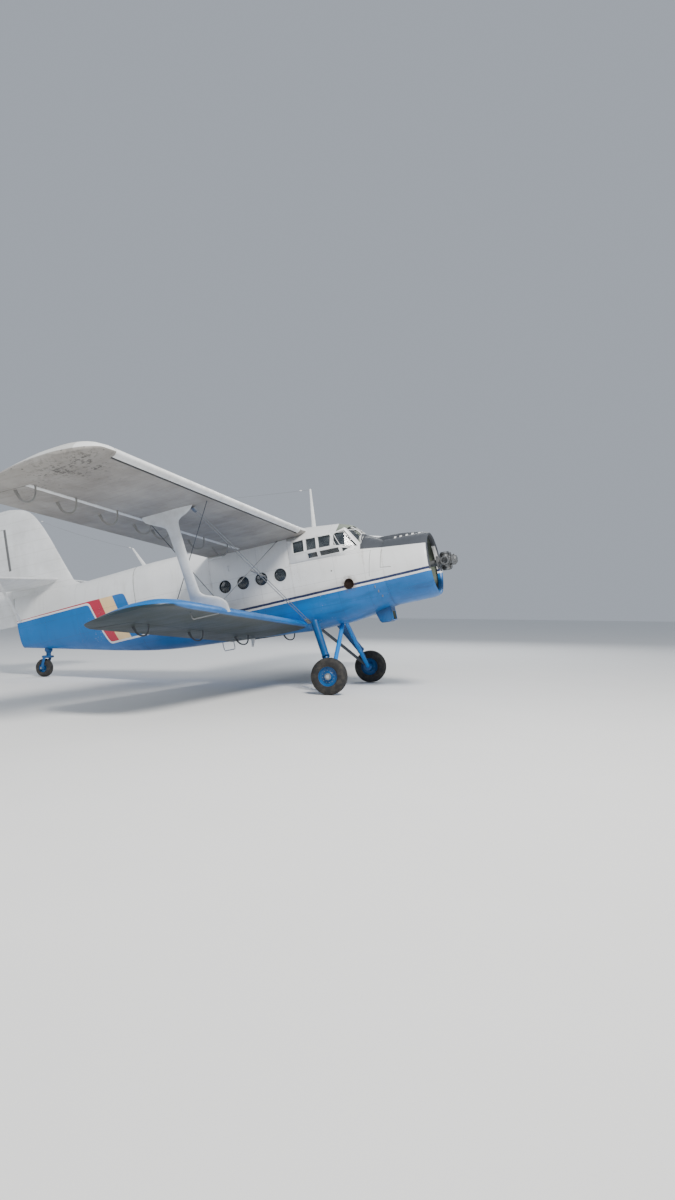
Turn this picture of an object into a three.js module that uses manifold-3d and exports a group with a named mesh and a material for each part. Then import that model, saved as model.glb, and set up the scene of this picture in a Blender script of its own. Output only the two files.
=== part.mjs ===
// Single-engine utility biplane on a tail-wheel undercarriage, in millimetres.
// Everything is drawn in the flight frame: X forward along the thrust line, Y to port, Z up,
// with the origin on the thrust line at the cowl lip. The last lines tip the aircraft nose up
// onto its three wheels and put the origin under the middle of its box.

import * as THREE from 'three';
import Module from 'manifold-3d';

const wasm = await Module();
wasm.setup();

// Parked attitude and undercarriage
const GROUND_ANGLE = THREE.MathUtils.degToRad(11.28);
const MAIN_WHEEL = { x: -2380, y: 1690, z: -2060, radius: 400, width: 260, sides: 24 };
const TAIL_WHEEL = { x: -10570, z: -595, radius: 235, width: 200, sides: 18 };
const AXLE = { radius: 42, bore: 42.9 };
const TAIL_AXLE = { radius: 21, bore: 21.7 };
const SWIVEL = { trail: 120, seat: 420 };
const CLEARANCE = 0.3;
const WALL = 45;
// Cavities run this far past the open ends of a shell
const PAST_END = 50;

// Fuselage stations: superellipse sections, square near the cabin and round at the cowl
const NOSE_STATIONS = [
  { x: -1010, top: 765, bottom: -772, half: 768, squareTop: 2.0, squareBottom: 2.0, mid: 0 },
  { x: -1450, top: 930, bottom: -850, half: 805, squareTop: 2.2, squareBottom: 2.3, mid: 20 },
  { x: -2100, top: 960, bottom: -945, half: 845, squareTop: 3.0, squareBottom: 3.0, mid: 80 },
  { x: -3110, top: 960, bottom: -985, half: 862, squareTop: 4.0, squareBottom: 4.2, mid: 150 },
];
const CABIN_STATIONS = [
  { x: -3111, top: 1388, bottom: -985, half: 862, squareTop: 4.6, squareBottom: 4.2, mid: 150 },
  { x: -5250, top: 1410, bottom: -855, half: 862, squareTop: 4.6, squareBottom: 4.0, mid: 200 },
  { x: -6650, top: 1405, bottom: -780, half: 840, squareTop: 4.2, squareBottom: 3.8, mid: 250 },
  { x: -7200, top: 1400, bottom: -720, half: 760, squareTop: 3.6, squareBottom: 3.4, mid: 290 },
];
const TAIL_STATIONS = [
  { x: -7201, top: 1400, bottom: -720, half: 760, squareTop: 3.6, squareBottom: 3.4, mid: 290 },
  { x: -8300, top: 1368, bottom: -535, half: 600, squareTop: 3.0, squareBottom: 3.0, mid: 400 },
  { x: -9050, top: 1350, bottom: -385, half: 480, squareTop: 2.7, squareBottom: 2.7, mid: 480 },
  { x: -10100, top: 1380, bottom: -175, half: 320, squareTop: 2.5, squareBottom: 2.5, mid: 600 },
  { x: -11060, top: 1420, bottom: 15, half: 170, squareTop: 2.4, squareBottom: 2.4, mid: 700 },
];
const RING_POINTS = 24;

// Cockpit canopy: half sections from the roof centre down to inside the fuselage side
const CANOPY_STATIONS = [
  [
    [-1440, 0, 975], [-1445, 300, 935], [-1460, 620, 650],
    [-1460, 655, 610], [-1460, 675, 560], [-1460, 675, 440],
  ],
  [
    [-1720, 0, 1250], [-1725, 300, 1240], [-1760, 600, 1160],
    [-1760, 742, 720], [-1760, 750, 580], [-1760, 735, 440],
  ],
  [
    [-1930, 0, 1318], [-1930, 380, 1300], [-1930, 790, 1075],
    [-1930, 890, 750], [-1930, 828, 585], [-1930, 760, 440],
  ],
  [
    [-2660, 0, 1380], [-2660, 450, 1368], [-2660, 860, 1070],
    [-2660, 935, 750], [-2660, 858, 585], [-2660, 770, 440],
  ],
  [
    [-2980, 0, 1388], [-2980, 470, 1372], [-2980, 866, 1070],
    [-2980, 935, 750], [-2980, 862, 585], [-2980, 780, 440],
  ],
  [
    [-3110, 0, 1388], [-3110, 500, 1374], [-3110, 820, 1100],
    [-3110, 858, 750], [-3110, 858, 585], [-3110, 780, 440],
  ],
];
const CANOPY_WALL = 28;
const GLASS = 6;
// Levels where the frame, its liner and the glass end, and the foot of the block that clears the canopy
const CANOPY_FOOT = { frame: 500, liner: 520, inside: 300, glass: 560, block: 440 };
const CANOPY_OPEN_END = 60;
const CANOPY_SLOPE_WALL = 1.25;
const SIDE_CUT = { inner: 560, outer: 1000 };
const SCREEN_CUT = { front: -1300, rear: -1900 };
const GLASS_REACH = { rear: -2985, front: -1300, half: 1100, top: 1500 };

// Side panes in the plane X, Z; windscreen panes in the plane Y, Z
const SIDE_PANES = [
  { name: 'front', outline: [[-1520, 685], [-1775, 1105], [-1990, 1035], [-2010, 780], [-1800, 735]] },
  { name: 'sliding', outline: [[-2060, 1040], [-2350, 1045], [-2350, 785], [-2090, 780]] },
  { name: 'middle', outline: [[-2395, 1045], [-2640, 1048], [-2640, 785], [-2395, 785]] },
  { name: 'rear', outline: [[-2700, 1048], [-2960, 1040], [-2960, 785], [-2700, 785]] },
  { name: 'lower front', outline: [[-1660, 690], [-1850, 715], [-1850, 605]] },
  { name: 'lower middle', outline: [[-1910, 718], [-2350, 720], [-2350, 608], [-1910, 608]] },
  { name: 'lower rear', outline: [[-2395, 720], [-2640, 720], [-2640, 608], [-2395, 608]] },
];
const SCREEN_PANES = [
  { name: 'starboard', outline: [[-250, 990], [-565, 725], [-560, 1135], [-250, 1205]] },
  { name: 'centre', outline: [[-200, 1000], [-200, 1212], [200, 1212], [200, 1000]] },
  { name: 'port', outline: [[250, 990], [250, 1205], [560, 1135], [565, 725]] },
];

// Cabin portholes, doors and the bare exhaust hole
const PORTHOLE = { z: 380, radius: 152, sides: 16, xs: [-3380, -3850, -4310, -4770] };
const PORTHOLE_GLASS = { inner: 8, outer: 22, play: 1, inset: 20, rail: 190, railInner: 40, railOuter: 2 };
const BORE_REACH = { inner: 500, outer: 1000 };
const CARGO_DOOR = { front: -5170, rear: -6630, bottom: -480, top: 1050, gap: 8 };
const CABIN_DOOR = { front: -5250, rear: -6060, bottom: -440, top: 980, gap: 11 };
const DOOR_REACH = { inner: 600, outer: 1000 };
const KNUCKLE = { half: 40, full: 80, radius: 12, pocket: 15, play: 1, sides: 8 };
const LEAF = { inside: 8, outside: 45, reach: 30 };
const CARGO_HINGE = { y: 824, z: 1046, slope: 0.021, at: [-5480, -6320] };
const CABIN_HINGE = { x: -5256, y: 776, at: [-300, 820] };
const EXHAUST_HOLE = { x: -1830, z: -130, radius: 105, sides: 20 };
const FLOOR = { top: -500, thick: 30 };
const BULKHEAD = { front: -3112, rear: -3150, doorway: 330, head: 1000, past: 50 };
const REAR_BULKHEAD = { front: -7160, rear: -7190 };
const CABIN_JOINT = -5100;
const CABIN_ENDS = { front: -3000, rear: -7300 };
const CABIN_OUTSIDE = { half: 1000, low: -1200, high: 1600 };
const CABIN_INSIDE = { half: 900, low: -1000, high: 1400 };
const COCKPIT_FLOOR = { top: -100, thick: 30, front: -1520, rear: -3108, half: 820 };
const FIREWALL = { front: -1400, rear: -1430 };

// Oil-cooler scoop under the nose: outline and duct in the plane X, Z
const SCOOP = {
  outline: [[-1130, -700], [-1130, -1060], [-1190, -1110], [-1420, -1100], [-1500, -880], [-1500, -700]],
  duct: [[-1100, -880], [-1100, -1075], [-1300, -1075], [-1300, -880]],
  half: 215,
  ductHalf: 175,
};

// Cockpit furniture
const SEAT = { y: 370, half: 215, front: -2300, rear: -2840, back: 90, low: 220, pan: 80, top: 860, lap: 10 };
const SEAT_POST = { front: -2420, rear: -2620, half: 60, foot: 160, footThick: 40, rim: 20 };
const PANEL = { front: -1700, rear: -1760, half: 560, low: 430, high: 800 };
const PEDESTAL = { front: -1690, rear: -1800, half: 150, high: 440 };
const YOKE = { root: [-1740, 520], end: [-1990, 540], radius: 22, sides: 8 };
const YOKE_BAR = { front: -1975, rear: -2010, half: 150, low: 520, high: 560 };

// Engine, cowl, intake duct and airscrew hub: profiles are [along the thrust line, radius]
const CRANKCASE = {
  profile: [
    [-960, 0], [-960, 300], [-800, 335], [-430, 335], [-370, 250], [-220, 215], [-120, 110], [-120, 0],
  ],
  sides: 18,
};
const CYLINDER = {
  count: 9,
  x: -600,
  profile: [[280, 0], [280, 98], [420, 100], [480, 122], [655, 122], [655, 0]],
  sides: 8,
};
const BEARER = { count: 4, front: [-900, 240], rear: [-1440, 530], radius: 26, sides: 8 };
const ENGINE_CUT = { rear: -1600, half: 900 };
const COWL = {
  rear: -1010,
  outer: [[-150, 750], [0, 718], [22, 690]],
  rearRadius: 766,
  inner: [[-40, 650], [-90, 655], [-60, 700], [-150, 728]],
  innerRearRadius: 745,
  lipRear: 12,
  skinShare: 0.985,
  sides: 28,
};
const INTAKE_STATIONS = [
  { x: -70, top: 742, bottom: 560, half: 130, squareTop: 2.6, squareBottom: 3, mid: 620 },
  { x: -420, top: 805, bottom: 560, half: 165, squareTop: 3, squareBottom: 3, mid: 640 },
  { x: -760, top: 838, bottom: 560, half: 170, squareTop: 3, squareBottom: 3, mid: 660 },
  { x: -1100, top: 842, bottom: 560, half: 160, squareTop: 3, squareBottom: 3, mid: 680 },
  { x: -1438, top: 962, bottom: 560, half: 150, squareTop: 3, squareBottom: 3, mid: 760 },
];
const INTAKE_CUT = { rear: -1439, half: 300, low: 500, high: 1000 };
const HUB = {
  rear: -120,
  rearRadius: 70,
  profile: [
    [60, 70], [60, 150], [110, 150], [130, 105], [400, 105], [420, 125], [470, 125], [520, 80], [530, 0],
  ],
  sides: 16,
};
const SOCKET = {
  count: 4,
  x: 265,
  profile: [[0, 0], [0, 84], [205, 94], [205, 66], [110, 66], [110, 0]],
  sides: 12,
};

// Wings: a section table in fractions of the chord, then one row for each wing
const SECTION = [
  { at: 0, upper: 0, lower: 0 },
  { at: 0.025, upper: 0.035, lower: -0.022 },
  { at: 0.1, upper: 0.072, lower: -0.034 },
  { at: 0.25, upper: 0.102, lower: -0.038 },
  { at: 0.4, upper: 0.105, lower: -0.036 },
  { at: 0.6, upper: 0.083, lower: -0.028 },
  { at: 0.8, upper: 0.046, lower: -0.016 },
  { at: 1, upper: 0.004, lower: -0.004 },
];
// Span at which a wing's leading edge has the level that its row gives
const RISE_FROM = 800;
const UPPER_WING = {
  lead: -2680, z: 1275, chord: 2435, drop: 120, rise: 0.063, root: 780,
  tips: [
    { y: 8560, from: 0, to: 1, thick: 1 },
    { y: 8830, from: 0.012, to: 0.93, thick: 0.82 },
    { y: 9000, from: 0.1, to: 0.8, thick: 0.5 },
    { y: 9088, from: 0.25, to: 0.62, thick: 0.2 },
  ],
};
const LOWER_WING = {
  lead: -3010, z: -830, chord: 1960, drop: 40, rise: 0.0755, root: 560,
  tips: [
    { y: 6350, from: 0, to: 1, thick: 1 },
    { y: 6800, from: 0.03, to: 0.9, thick: 0.8 },
    { y: 7020, from: 0.12, to: 0.75, thick: 0.5 },
    { y: 7118, from: 0.25, to: 0.6, thick: 0.2 },
  ],
};
const SLAT = { from: 960, to: 8500 };
// Cutters in fractions of the chord: what belongs to the slat, and the room left for it in the wing
const SLAT_OUTLINE = [
  [0.148, 0.2], [-0.1, 0.2], [-0.1, -0.1], [0.031, -0.1],
  [0.0345, -0.014], [0.029, 0.004], [0.043, 0.0275], [0.088, 0.0585], [0.148, 0.0805],
];
const SLAT_ROOM = [
  [0.154, 0.2], [-0.1, 0.2], [-0.1, -0.1], [0.041, -0.1],
  [0.0435, -0.0125], [0.0365, 0.003], [0.049, 0.0235], [0.091, 0.0535], [0.154, 0.077],
];
const UPPER_HINGE = { at: 0.745, below: 30, radius: 300, gap: 12 };
const LOWER_HINGE = { at: 0.73, below: 30, radius: 255, gap: 12 };
const UPPER_FLAP = { from: 1000, to: 4260, brackets: [1750, 2900] };
const AILERON = { from: 4280, to: 8500, brackets: [4400, 5070, 6200, 7400, 8430] };
const LOWER_FLAP = { from: 1050, to: 6350, brackets: [1500, 3700, 5800] };
const BRACKET = { inner: 20, outer: 50, eye: 25, thick: 10, pin: 11, bore: 13.2, boreReach: 20, sides: 6 };
const PIN_WEB = { offset: 18, play: 4, outline: [[-34, 44], [34, 44], [16, -14], [-16, -14]] };
const SLAT_ARM = {
  at: [1700, 4700, 7700],
  radius: 12,
  slope: THREE.MathUtils.degToRad(20),
  from: 0.02,
  up: 0.004,
  reach: 180,
  sides: 8,
};
const PANEL_BLOCK = { rear: -6000, front: 0, end: 9500, low: 0, high: 3000 };
const END_GAP = 10;
const HINGE_END_GAP = 20;

// Struts and wires
const STRUT_SECTIONS = [
  { z: -540, y: 4885, front: -2960, rear: -3740, thick: 50 },
  { z: -380, y: 4925, front: -2970, rear: -3730, thick: 50 },
  { z: -225, y: 4963, front: -3120, rear: -3690, thick: 60 },
  { z: -150, y: 4982, front: -3360, rear: -3675, thick: 75 },
  { z: -60, y: 5005, front: -3445, rear: -3670, thick: 85 },
  { z: 960, y: 5258, front: -3485, rear: -3720, thick: 85 },
  { z: 1140, y: 5303, front: -3485, rear: -3750, thick: 80 },
  { z: 1240, y: 5328, front: -3455, rear: -3960, thick: 70 },
  { z: 1350, y: 5355, front: -3220, rear: -4140, thick: 60 },
  { z: 1600, y: 5417, front: -3040, rear: -4170, thick: 55 },
];
const STRUT_SIDES = 10;
const STRUT_TRIM = {
  front: -2000, rear: -5000, inner: 4800, outer: 5300, top: [1480, 2200], foot: [-800, -420],
};
const WIRE_RADIUS = 8;
const WIRE_SIDES = 6;
const FITTING_SIDES = 8;
const FLYING_WIRE = { foot: [-2890, 905, -790], top: [-3150, 5340, 1400], apart: 60 };
const LANDING_WIRE = { top: [-3330, 790, 1160], foot: [-3160, 4905, -370] };
const FOOT_FITTING = { from: [0, -8, -5], to: [0, 130, 70], chord: 120, thick: 46 };
const TOP_FITTING = { from: [0, -110, -60], to: [0, 8, 4], chord: 110, thick: 36 };
const WIRE_CLAMP = { y: 2900, chord: 40, thick: 30, ahead: 45, behind: 10, bar: [-50, 60], barRadius: 15 };

// Tail
const FIN_SECTIONS = [
  { z: 560, front: -11000, rear: -11980, thick: 130 },
  { z: 760, front: -11000, rear: -12060, thick: 130 },
  { z: 1330, front: -9070, rear: -12090, thick: 250 },
  { z: 1450, front: -9260, rear: -12095, thick: 240 },
  { z: 1660, front: -9360, rear: -12100, thick: 215 },
  { z: 2200, front: -9590, rear: -12100, thick: 185 },
  { z: 2730, front: -9810, rear: -12090, thick: 160 },
  { z: 3180, front: -10040, rear: -12040, thick: 130 },
  { z: 3460, front: -10260, rear: -11880, thick: 95 },
  { z: 3600, front: -10520, rear: -11620, thick: 60 },
  { z: 3670, front: -10860, rear: -11250, thick: 24 },
];
const FIN_OUTLINE = [
  [0, 0], [0.02, 0.3], [0.12, 0.8], [0.35, 1], [0.63, 0.85], [0.82, 0.5], [1, 0.05],
  [1, -0.05], [0.82, -0.5], [0.63, -0.85], [0.35, -1], [0.12, -0.8], [0.02, -0.3],
];
const NOSE_SIDES = 24;
const TAIL_REACH = { rear: -12500, half: 300, low: 1200, high: 2000 };
const RUDDER = { hinge: -11190, bottom: 620, top: 3175, radius: 102, gap: 12 };
const RUDDER_PIN = { radius: 16, bore: 17, below: 70, above: 90, play: 10, sides: 12 };
const RUDDER_SLOT = { low: -200, high: 1600 };
const TAILPLANE = { lead: -9680, z: 1575, chord: 1900, root: 100, hinge: 0.7, radius: 88, gap: 12 };
const TAIL_HALF = [[0, 0], [0.03, 0.02], [0.15, 0.045], [0.4, 0.055], [0.7, 0.04], [1, 0.004]];
const TAIL_ROWS = [
  { y: 0, from: 0, to: 1, thick: 1 },
  { y: TAILPLANE.root, from: 0, to: 1, thick: 1 },
  { y: 2900, from: 0.14, to: 0.93, thick: 0.8 },
  { y: 3400, from: 0.22, to: 0.84, thick: 0.6 },
  { y: 3600, from: 0.4, to: 0.7, thick: 0.2 },
];
const ELEVATOR = { from: 330, to: 3480 };
const ELEVATOR_ROOM = [[-10700, 0], [-10900, ELEVATOR.from], [-11750, 460], [-12400, 0]];
const ELEVATOR_PIN = { radius: 8, bore: 9, inside: 60, outside: 25, play: 10, sides: 8 };
const TAIL_STRUT = { foot: [-10970, 120, 640], top: [-10060, 1970, 1545], chord: 95, thick: 42 };

// Undercarriage of one side: rods between the fuselage and the axle
const onAxle = (y) => [MAIN_WHEEL.x, y, MAIN_WHEEL.z];
const GEAR_RODS = [
  { from: [-2760, 880, -860], to: [-2470, 1400, -1620], radius: 85, sides: 16 },
  { from: [-2500, 1345, -1540], to: [-2395, 1500, -2010], radius: 62, sides: 16 },
  { from: [-2340, 160, -930], to: onAxle(1480), radius: 50, sides: 12 },
  { from: [-3020, 160, -930], to: onAxle(1480), radius: 38, sides: 12 },
  { from: onAxle(1440), to: onAxle(1815), radius: AXLE.radius, sides: 16 },
  { from: onAxle(1430), to: onAxle(1535), radius: 95, sides: 16 },
];
const RIM_SEAT = 209;
const RIM_PROFILE = [
  [-105, AXLE.bore], [-105, 90], [-60, 110], [-75, 188], [-110, RIM_SEAT],
  [110, RIM_SEAT], [75, 188], [60, 110], [105, 90], [105, AXLE.bore],
];
const TYRE = { bead: 110, beadRadius: RIM_SEAT + 0.5, sideRadius: 290, shoulder: 105, drop: 28, tread: 50 };
const TAIL_TYRE = { hub: 55, side: 70, sideRadius: 110, wallRadius: 160, tread: 40 };
const SWIVEL_BOSS = { radius: 95, height: 150 };
const FORK = {
  stem: { low: 300, radius: 60 },
  crown: { front: 65, rear: -110, half: 150, low: 262, high: 322 },
  arm: { top: [-40, 290], foot: [0, -30], y: 128, chord: 90, thick: 36, sides: 10 },
  axle: 140,
};
const STEM_SIDES = 14;
const TAIL_AXLE_SIDES = 12;

// Aerial masts
const FRONT_MAST = { base: [-2660, 0, 1350], top: [-2580, 0, 2320], wide: 110, narrow: 45, thick: 44 };
const REAR_MAST = { base: [-7180, 0, 1360], top: [-7470, 0, 1930], wide: 120, narrow: 45, thick: 40 };
const MAST_SIDES = 8;

// Helpers: solids, sections, lofts and booleans
function toSolid(positions, index) {
  const vertProperties = new Float32Array(positions);
  const mesh = new wasm.Mesh({ numProp: 3, vertProperties, triVerts: new Uint32Array(index) });
  return new wasm.Manifold(mesh);
}

function signedVolume(points, index) {
  let total = 0;
  for (let i = 0; i < index.length; i += 3) {
    const [a, b, c] = [points[index[i]], points[index[i + 1]], points[index[i + 2]]];
    const across = a[0] * (b[1] * c[2] - b[2] * c[1]) - a[1] * (b[0] * c[2] - b[2] * c[0]);
    total += across + a[2] * (b[0] * c[1] - b[1] * c[0]);
  }
  return total;
}

function capTriangles(ring) {
  const normal = [0, 0, 0];
  ring.forEach((p, i) => {
    const q = ring[(i + 1) % ring.length];
    normal[0] += (p[1] - q[1]) * (p[2] + q[2]);
    normal[1] += (p[2] - q[2]) * (p[0] + q[0]);
    normal[2] += (p[0] - q[0]) * (p[1] + q[1]);
  });
  const size = normal.map(Math.abs);
  const drop = size.indexOf(Math.max(...size));
  const axes = [[1, 2], [2, 0], [0, 1]][drop];
  const flat = ring.map((p) => new THREE.Vector2(p[axes[0]], p[axes[1]]));
  const facing = Math.sign(normal[drop]);
  return THREE.ShapeUtils.triangulateShape(flat, []).map(([a, b, c]) => {
    const [p, q] = [flat[b].clone().sub(flat[a]), flat[c].clone().sub(flat[a])];
    const turn = p.x * q.y - p.y * q.x;
    return Math.sign(turn) === facing ? [a, b, c] : [a, c, b];
  });
}

function loft(rings) {
  const count = rings[0].length;
  const points = rings.flat();
  const index = [];
  for (let s = 0; s + 1 < rings.length; s += 1) {
    for (let i = 0; i < count; i += 1) {
      const j = (i + 1) % count;
      const [a, b, c, d] = [s * count + i, s * count + j, (s + 1) * count + i, (s + 1) * count + j];
      const side = points[a][1] + points[b][1] + points[c][1] + points[d][1];
      index.push(...(side < 0 ? [a, b, c, b, d, c] : [a, b, d, a, d, c]));
    }
  }
  const last = (rings.length - 1) * count;
  capTriangles(rings[0]).forEach(([a, b, c]) => index.push(a, c, b));
  capTriangles(rings[rings.length - 1]).forEach(([a, b, c]) => index.push(last + a, last + b, last + c));
  if (signedVolume(points, index) < 0) {
    for (let i = 0; i < index.length; i += 3) [index[i], index[i + 1]] = [index[i + 1], index[i]];
  }
  return toSolid(points.flat(), index);
}

function union(...solids) {
  return solids.flat().reduce((sum, item) => sum.add(item));
}

function cut(base, ...tools) {
  return tools.flat().reduce((rest, tool) => rest.subtract(tool), base);
}

function moved(solid, x, y, z) {
  return solid.translate([x, y, z]);
}

function mirrored(solid) {
  return solid.mirror([0, 1, 0]);
}

function box(x0, x1, y0, y1, z0, z1) {
  const ring = (z) => [[x0, y0, z], [x1, y0, z], [x1, y1, z], [x0, y1, z]];
  return loft([ring(z0), ring(z1)]);
}

function boxAbout(y, half, rear, front, low, high) {
  return box(rear, front, y - half, y + half, low, high);
}

function superRing(station, inset) {
  const half = station.half - inset;
  const up = station.top - inset - station.mid;
  const down = station.mid - station.bottom - inset;
  const ring = [];
  for (let i = 0; i < RING_POINTS; i += 1) {
    const angle = ((i + 0.5) * 2 * Math.PI) / RING_POINTS;
    const [c, s] = [Math.cos(angle), Math.sin(angle)];
    const power = 2 / (s > 0 ? station.squareTop : station.squareBottom);
    const y = half * Math.sign(c) * Math.abs(c) ** power;
    const z = station.mid + (s > 0 ? up : down) * Math.sign(s) * Math.abs(s) ** power;
    ring.push([station.x, y, z]);
  }
  return ring;
}

function hull(stations, inset = 0, frontShift = 0, rearShift = 0) {
  const rings = stations.map((station, i) => {
    const shift = i === 0 ? frontShift : i === stations.length - 1 ? rearShift : 0;
    return superRing(station, inset).map(([x, y, z]) => [x + shift, y, z]);
  });
  return loft(rings);
}

function grownHull(stations) {
  return hull(stations, -CLEARANCE, CLEARANCE, -CLEARANCE);
}

function rodFrame(a, b) {
  const along = new THREE.Vector3().subVectors(new THREE.Vector3(...b), new THREE.Vector3(...a)).normalize();
  const forward = new THREE.Vector3(1, 0, 0);
  if (Math.abs(along.x) > 0.9) forward.set(0, 0, 1);
  const chord = forward.clone().addScaledVector(along, -forward.dot(along)).normalize();
  const across = new THREE.Vector3().crossVectors(along, chord);
  return { chord, across };
}

function ovalRod(a, b, chord, thick, sides = 10, turn = 0.5) {
  const frame = rodFrame(a, b);
  const ring = (p) => Array.from({ length: sides }, (_, i) => {
    const angle = ((i + turn) * 2 * Math.PI) / sides;
    const [c, s] = [(Math.cos(angle) * chord) / 2, (Math.sin(angle) * thick) / 2];
    return [0, 1, 2].map((k) => p[k] + frame.chord.getComponent(k) * c + frame.across.getComponent(k) * s);
  });
  return loft([ring(a), ring(b)]);
}

function rod(a, b, radius, sides = 12) {
  return ovalRod(a, b, radius * 2, radius * 2, sides);
}

function bore(a, b, radius, sides) {
  // Hole whose flats lie over the edges of a pin with the same number of sides
  return ovalRod(a, b, radius * 2, radius * 2, sides, 0);
}

function turned(profile, axis, sides, centre = [0, 0, 0], phase = 0) {
  // profile: [along, radius] pairs that start and end on the axis, or run round a closed ring
  const closed = profile[0][1] > 0 ? [...profile, profile[0]] : profile;
  const shape = closed.map(([along, radius]) => new THREE.Vector2(radius, along));
  const lathe = new THREE.LatheGeometry(shape, sides, phase);
  const array = lathe.getAttribute('position');
  const keys = new Map();
  const points = [];
  const remap = [];
  for (let i = 0; i < array.count; i += 1) {
    const local = [array.getX(i), array.getY(i), array.getZ(i)];
    const key = local.map((v) => Math.round(v * 1000)).join(' ');
    if (!keys.has(key)) {
      keys.set(key, points.length);
      const [p, q, r] = local;
      const placed = axis === 'x' ? [q, r, p] : axis === 'y' ? [p, q, r] : [r, p, q];
      points.push(placed.map((v, k) => v + centre[k]));
    }
    remap.push(keys.get(key));
  }
  const index = [];
  const source = lathe.getIndex().array;
  for (let i = 0; i < source.length; i += 3) {
    const [a, b, c] = [remap[source[i]], remap[source[i + 1]], remap[source[i + 2]]];
    if (a !== b && b !== c && c !== a) index.push(a, b, c);
  }
  if (signedVolume(points, index) < 0) {
    for (let i = 0; i < index.length; i += 3) [index[i], index[i + 1]] = [index[i + 1], index[i]];
  }
  return toSolid(points.flat(), index);
}

function prismY(outline, y0, y1) {
  return loft([outline.map(([x, z]) => [x, y0, z]), outline.map(([x, z]) => [x, y1, z])]);
}

function prismX(outline, x0, x1) {
  return loft([outline.map(([y, z]) => [x0, y, z]), outline.map(([y, z]) => [x1, y, z])]);
}

// Wing geometry: at(s, t, y) takes chord fraction, height fraction and span to a point
function wingPoint(wing, s, t, y) {
  const level = wing.z + wing.rise * (y - RISE_FROM);
  return [wing.lead - s * wing.chord, y, level + t * wing.chord - s * wing.drop];
}

function wingRing(wing, y, from = 0, to = 1, thick = 1) {
  const outline = [...SECTION.map((row) => [row.at, row.upper])];
  SECTION.slice(1).reverse().forEach((row) => outline.push([row.at, row.lower]));
  return outline.map(([s, t]) => wingPoint(wing, from + (to - from) * s, t * thick, y));
}

function wingBlank(wing, root) {
  const rings = [wingRing(wing, root)];
  wing.tips.forEach((tip) => rings.push(wingRing(wing, tip.y, tip.from, tip.to, tip.thick)));
  return loft(rings);
}

function spanPrism(wing, outline, from, to) {
  return loft([from, to].map((y) => outline.map(([s, t]) => wingPoint(wing, s, t, y))));
}

function hingePoint(wing, hinge) {
  // Pivot just below the lower skin, as chord and height fractions
  const row = SECTION.findIndex((item) => item.at > hinge.at);
  const [a, b] = [SECTION[row - 1], SECTION[row]];
  const skin = a.lower + ((b.lower - a.lower) * (hinge.at - a.at)) / (b.at - a.at);
  return [hinge.at, skin - hinge.below / wing.chord];
}

function pivotAt(wing, hinge, y) {
  const [s, t] = hingePoint(wing, hinge);
  return wingPoint(wing, s, t, y);
}

function aroundPivot(wing, hinge, outline, y, thick) {
  // Plate across the span whose outline is given in millimetres ahead of and above the pivot
  const [s, t] = hingePoint(wing, hinge);
  const placed = outline.map(([ahead, up]) => [s - ahead / wing.chord, t + up / wing.chord]);
  return spanPrism(wing, placed, y - thick / 2, y + thick / 2);
}

function hingeBracket(wing, hinge, y) {
  // Crescent arm from the wing ahead of the slot, down round the nose and up to the pivot
  const polar = (radius, degrees) => {
    const angle = THREE.MathUtils.degToRad(degrees);
    return [radius * Math.cos(angle), radius * Math.sin(angle)];
  };
  const inner = hinge.radius + BRACKET.inner;
  const outer = hinge.radius + BRACKET.outer;
  const eye = [70, 145, 220].map((angle) => polar(BRACKET.eye, angle));
  const outside = [-40, -16, 8].map((angle) => polar(outer, angle));
  const inside = [8, -12, -31].map((angle) => polar(inner, angle));
  const plate = aroundPivot(wing, hinge, [...eye, ...outside, ...inside], y, BRACKET.thick);
  const [near, far] = [y - BRACKET.boreReach, y + BRACKET.boreReach].map((at) => pivotAt(wing, hinge, at));
  return cut(plate, bore(near, far, BRACKET.bore, BRACKET.sides));
}

function hingePin(wing, hinge, y) {
  // Pin through the bracket's eye, carried by a web under the moving surface
  const { offset, play, outline } = PIN_WEB;
  const [near, far] = [y - offset + play, y + offset].map((at) => pivotAt(wing, hinge, at));
  return union(
    aroundPivot(wing, hinge, outline, y + offset, BRACKET.thick),
    rod(near, far, BRACKET.pin, BRACKET.sides),
  );
}

function hingeZone(wing, hinge, from, to, grow) {
  // Round nose about the pivot together with everything behind it
  const [s, t] = hingePoint(wing, hinge);
  const radius = (hinge.radius + grow) / wing.chord;
  const arc = [];
  const steps = 9;
  for (let i = 0; i <= steps; i += 1) {
    const angle = -0.16 * Math.PI + (i * 0.72 * Math.PI) / steps;
    arc.push([s - radius * Math.cos(angle), t + radius * Math.sin(angle)]);
  }
  const outline = [...arc, [1.1, 0.4], [1.1, -0.3], [s - radius * 0.4, -0.3]];
  return spanPrism(wing, outline, from, to);
}

// Fuselage shells
const noseOuter = hull(NOSE_STATIONS);
const cabinOuter = hull(CABIN_STATIONS);
const tailOuter = hull(TAIL_STATIONS);

function canopyHull(inset, foot) {
  const rings = CANOPY_STATIONS.map((station, row) => {
    const right = station.map(([x, y, z], i) => {
      const back = row < 2 ? inset * CANOPY_SLOPE_WALL : 0;
      const end = row === CANOPY_STATIONS.length - 1 && inset > 0 ? CANOPY_OPEN_END : 0;
      const lowered = i < 3 ? z - inset : z;
      return [x - back - end, Math.max(0, y - inset), i === station.length - 1 ? foot : lowered];
    });
    const left = right.slice(1).reverse().map(([x, y, z]) => [x, -y, z]);
    return [...right, ...left];
  });
  return loft(rings);
}
const canopyFrameShell = cut(canopyHull(0, CANOPY_FOOT.frame), canopyHull(CANOPY_WALL, CANOPY_FOOT.inside));
const paneCutters = SIDE_PANES.flatMap((pane) => [
  prismY(pane.outline, SIDE_CUT.inner, SIDE_CUT.outer),
  prismY(pane.outline, -SIDE_CUT.outer, -SIDE_CUT.inner),
]);
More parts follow.
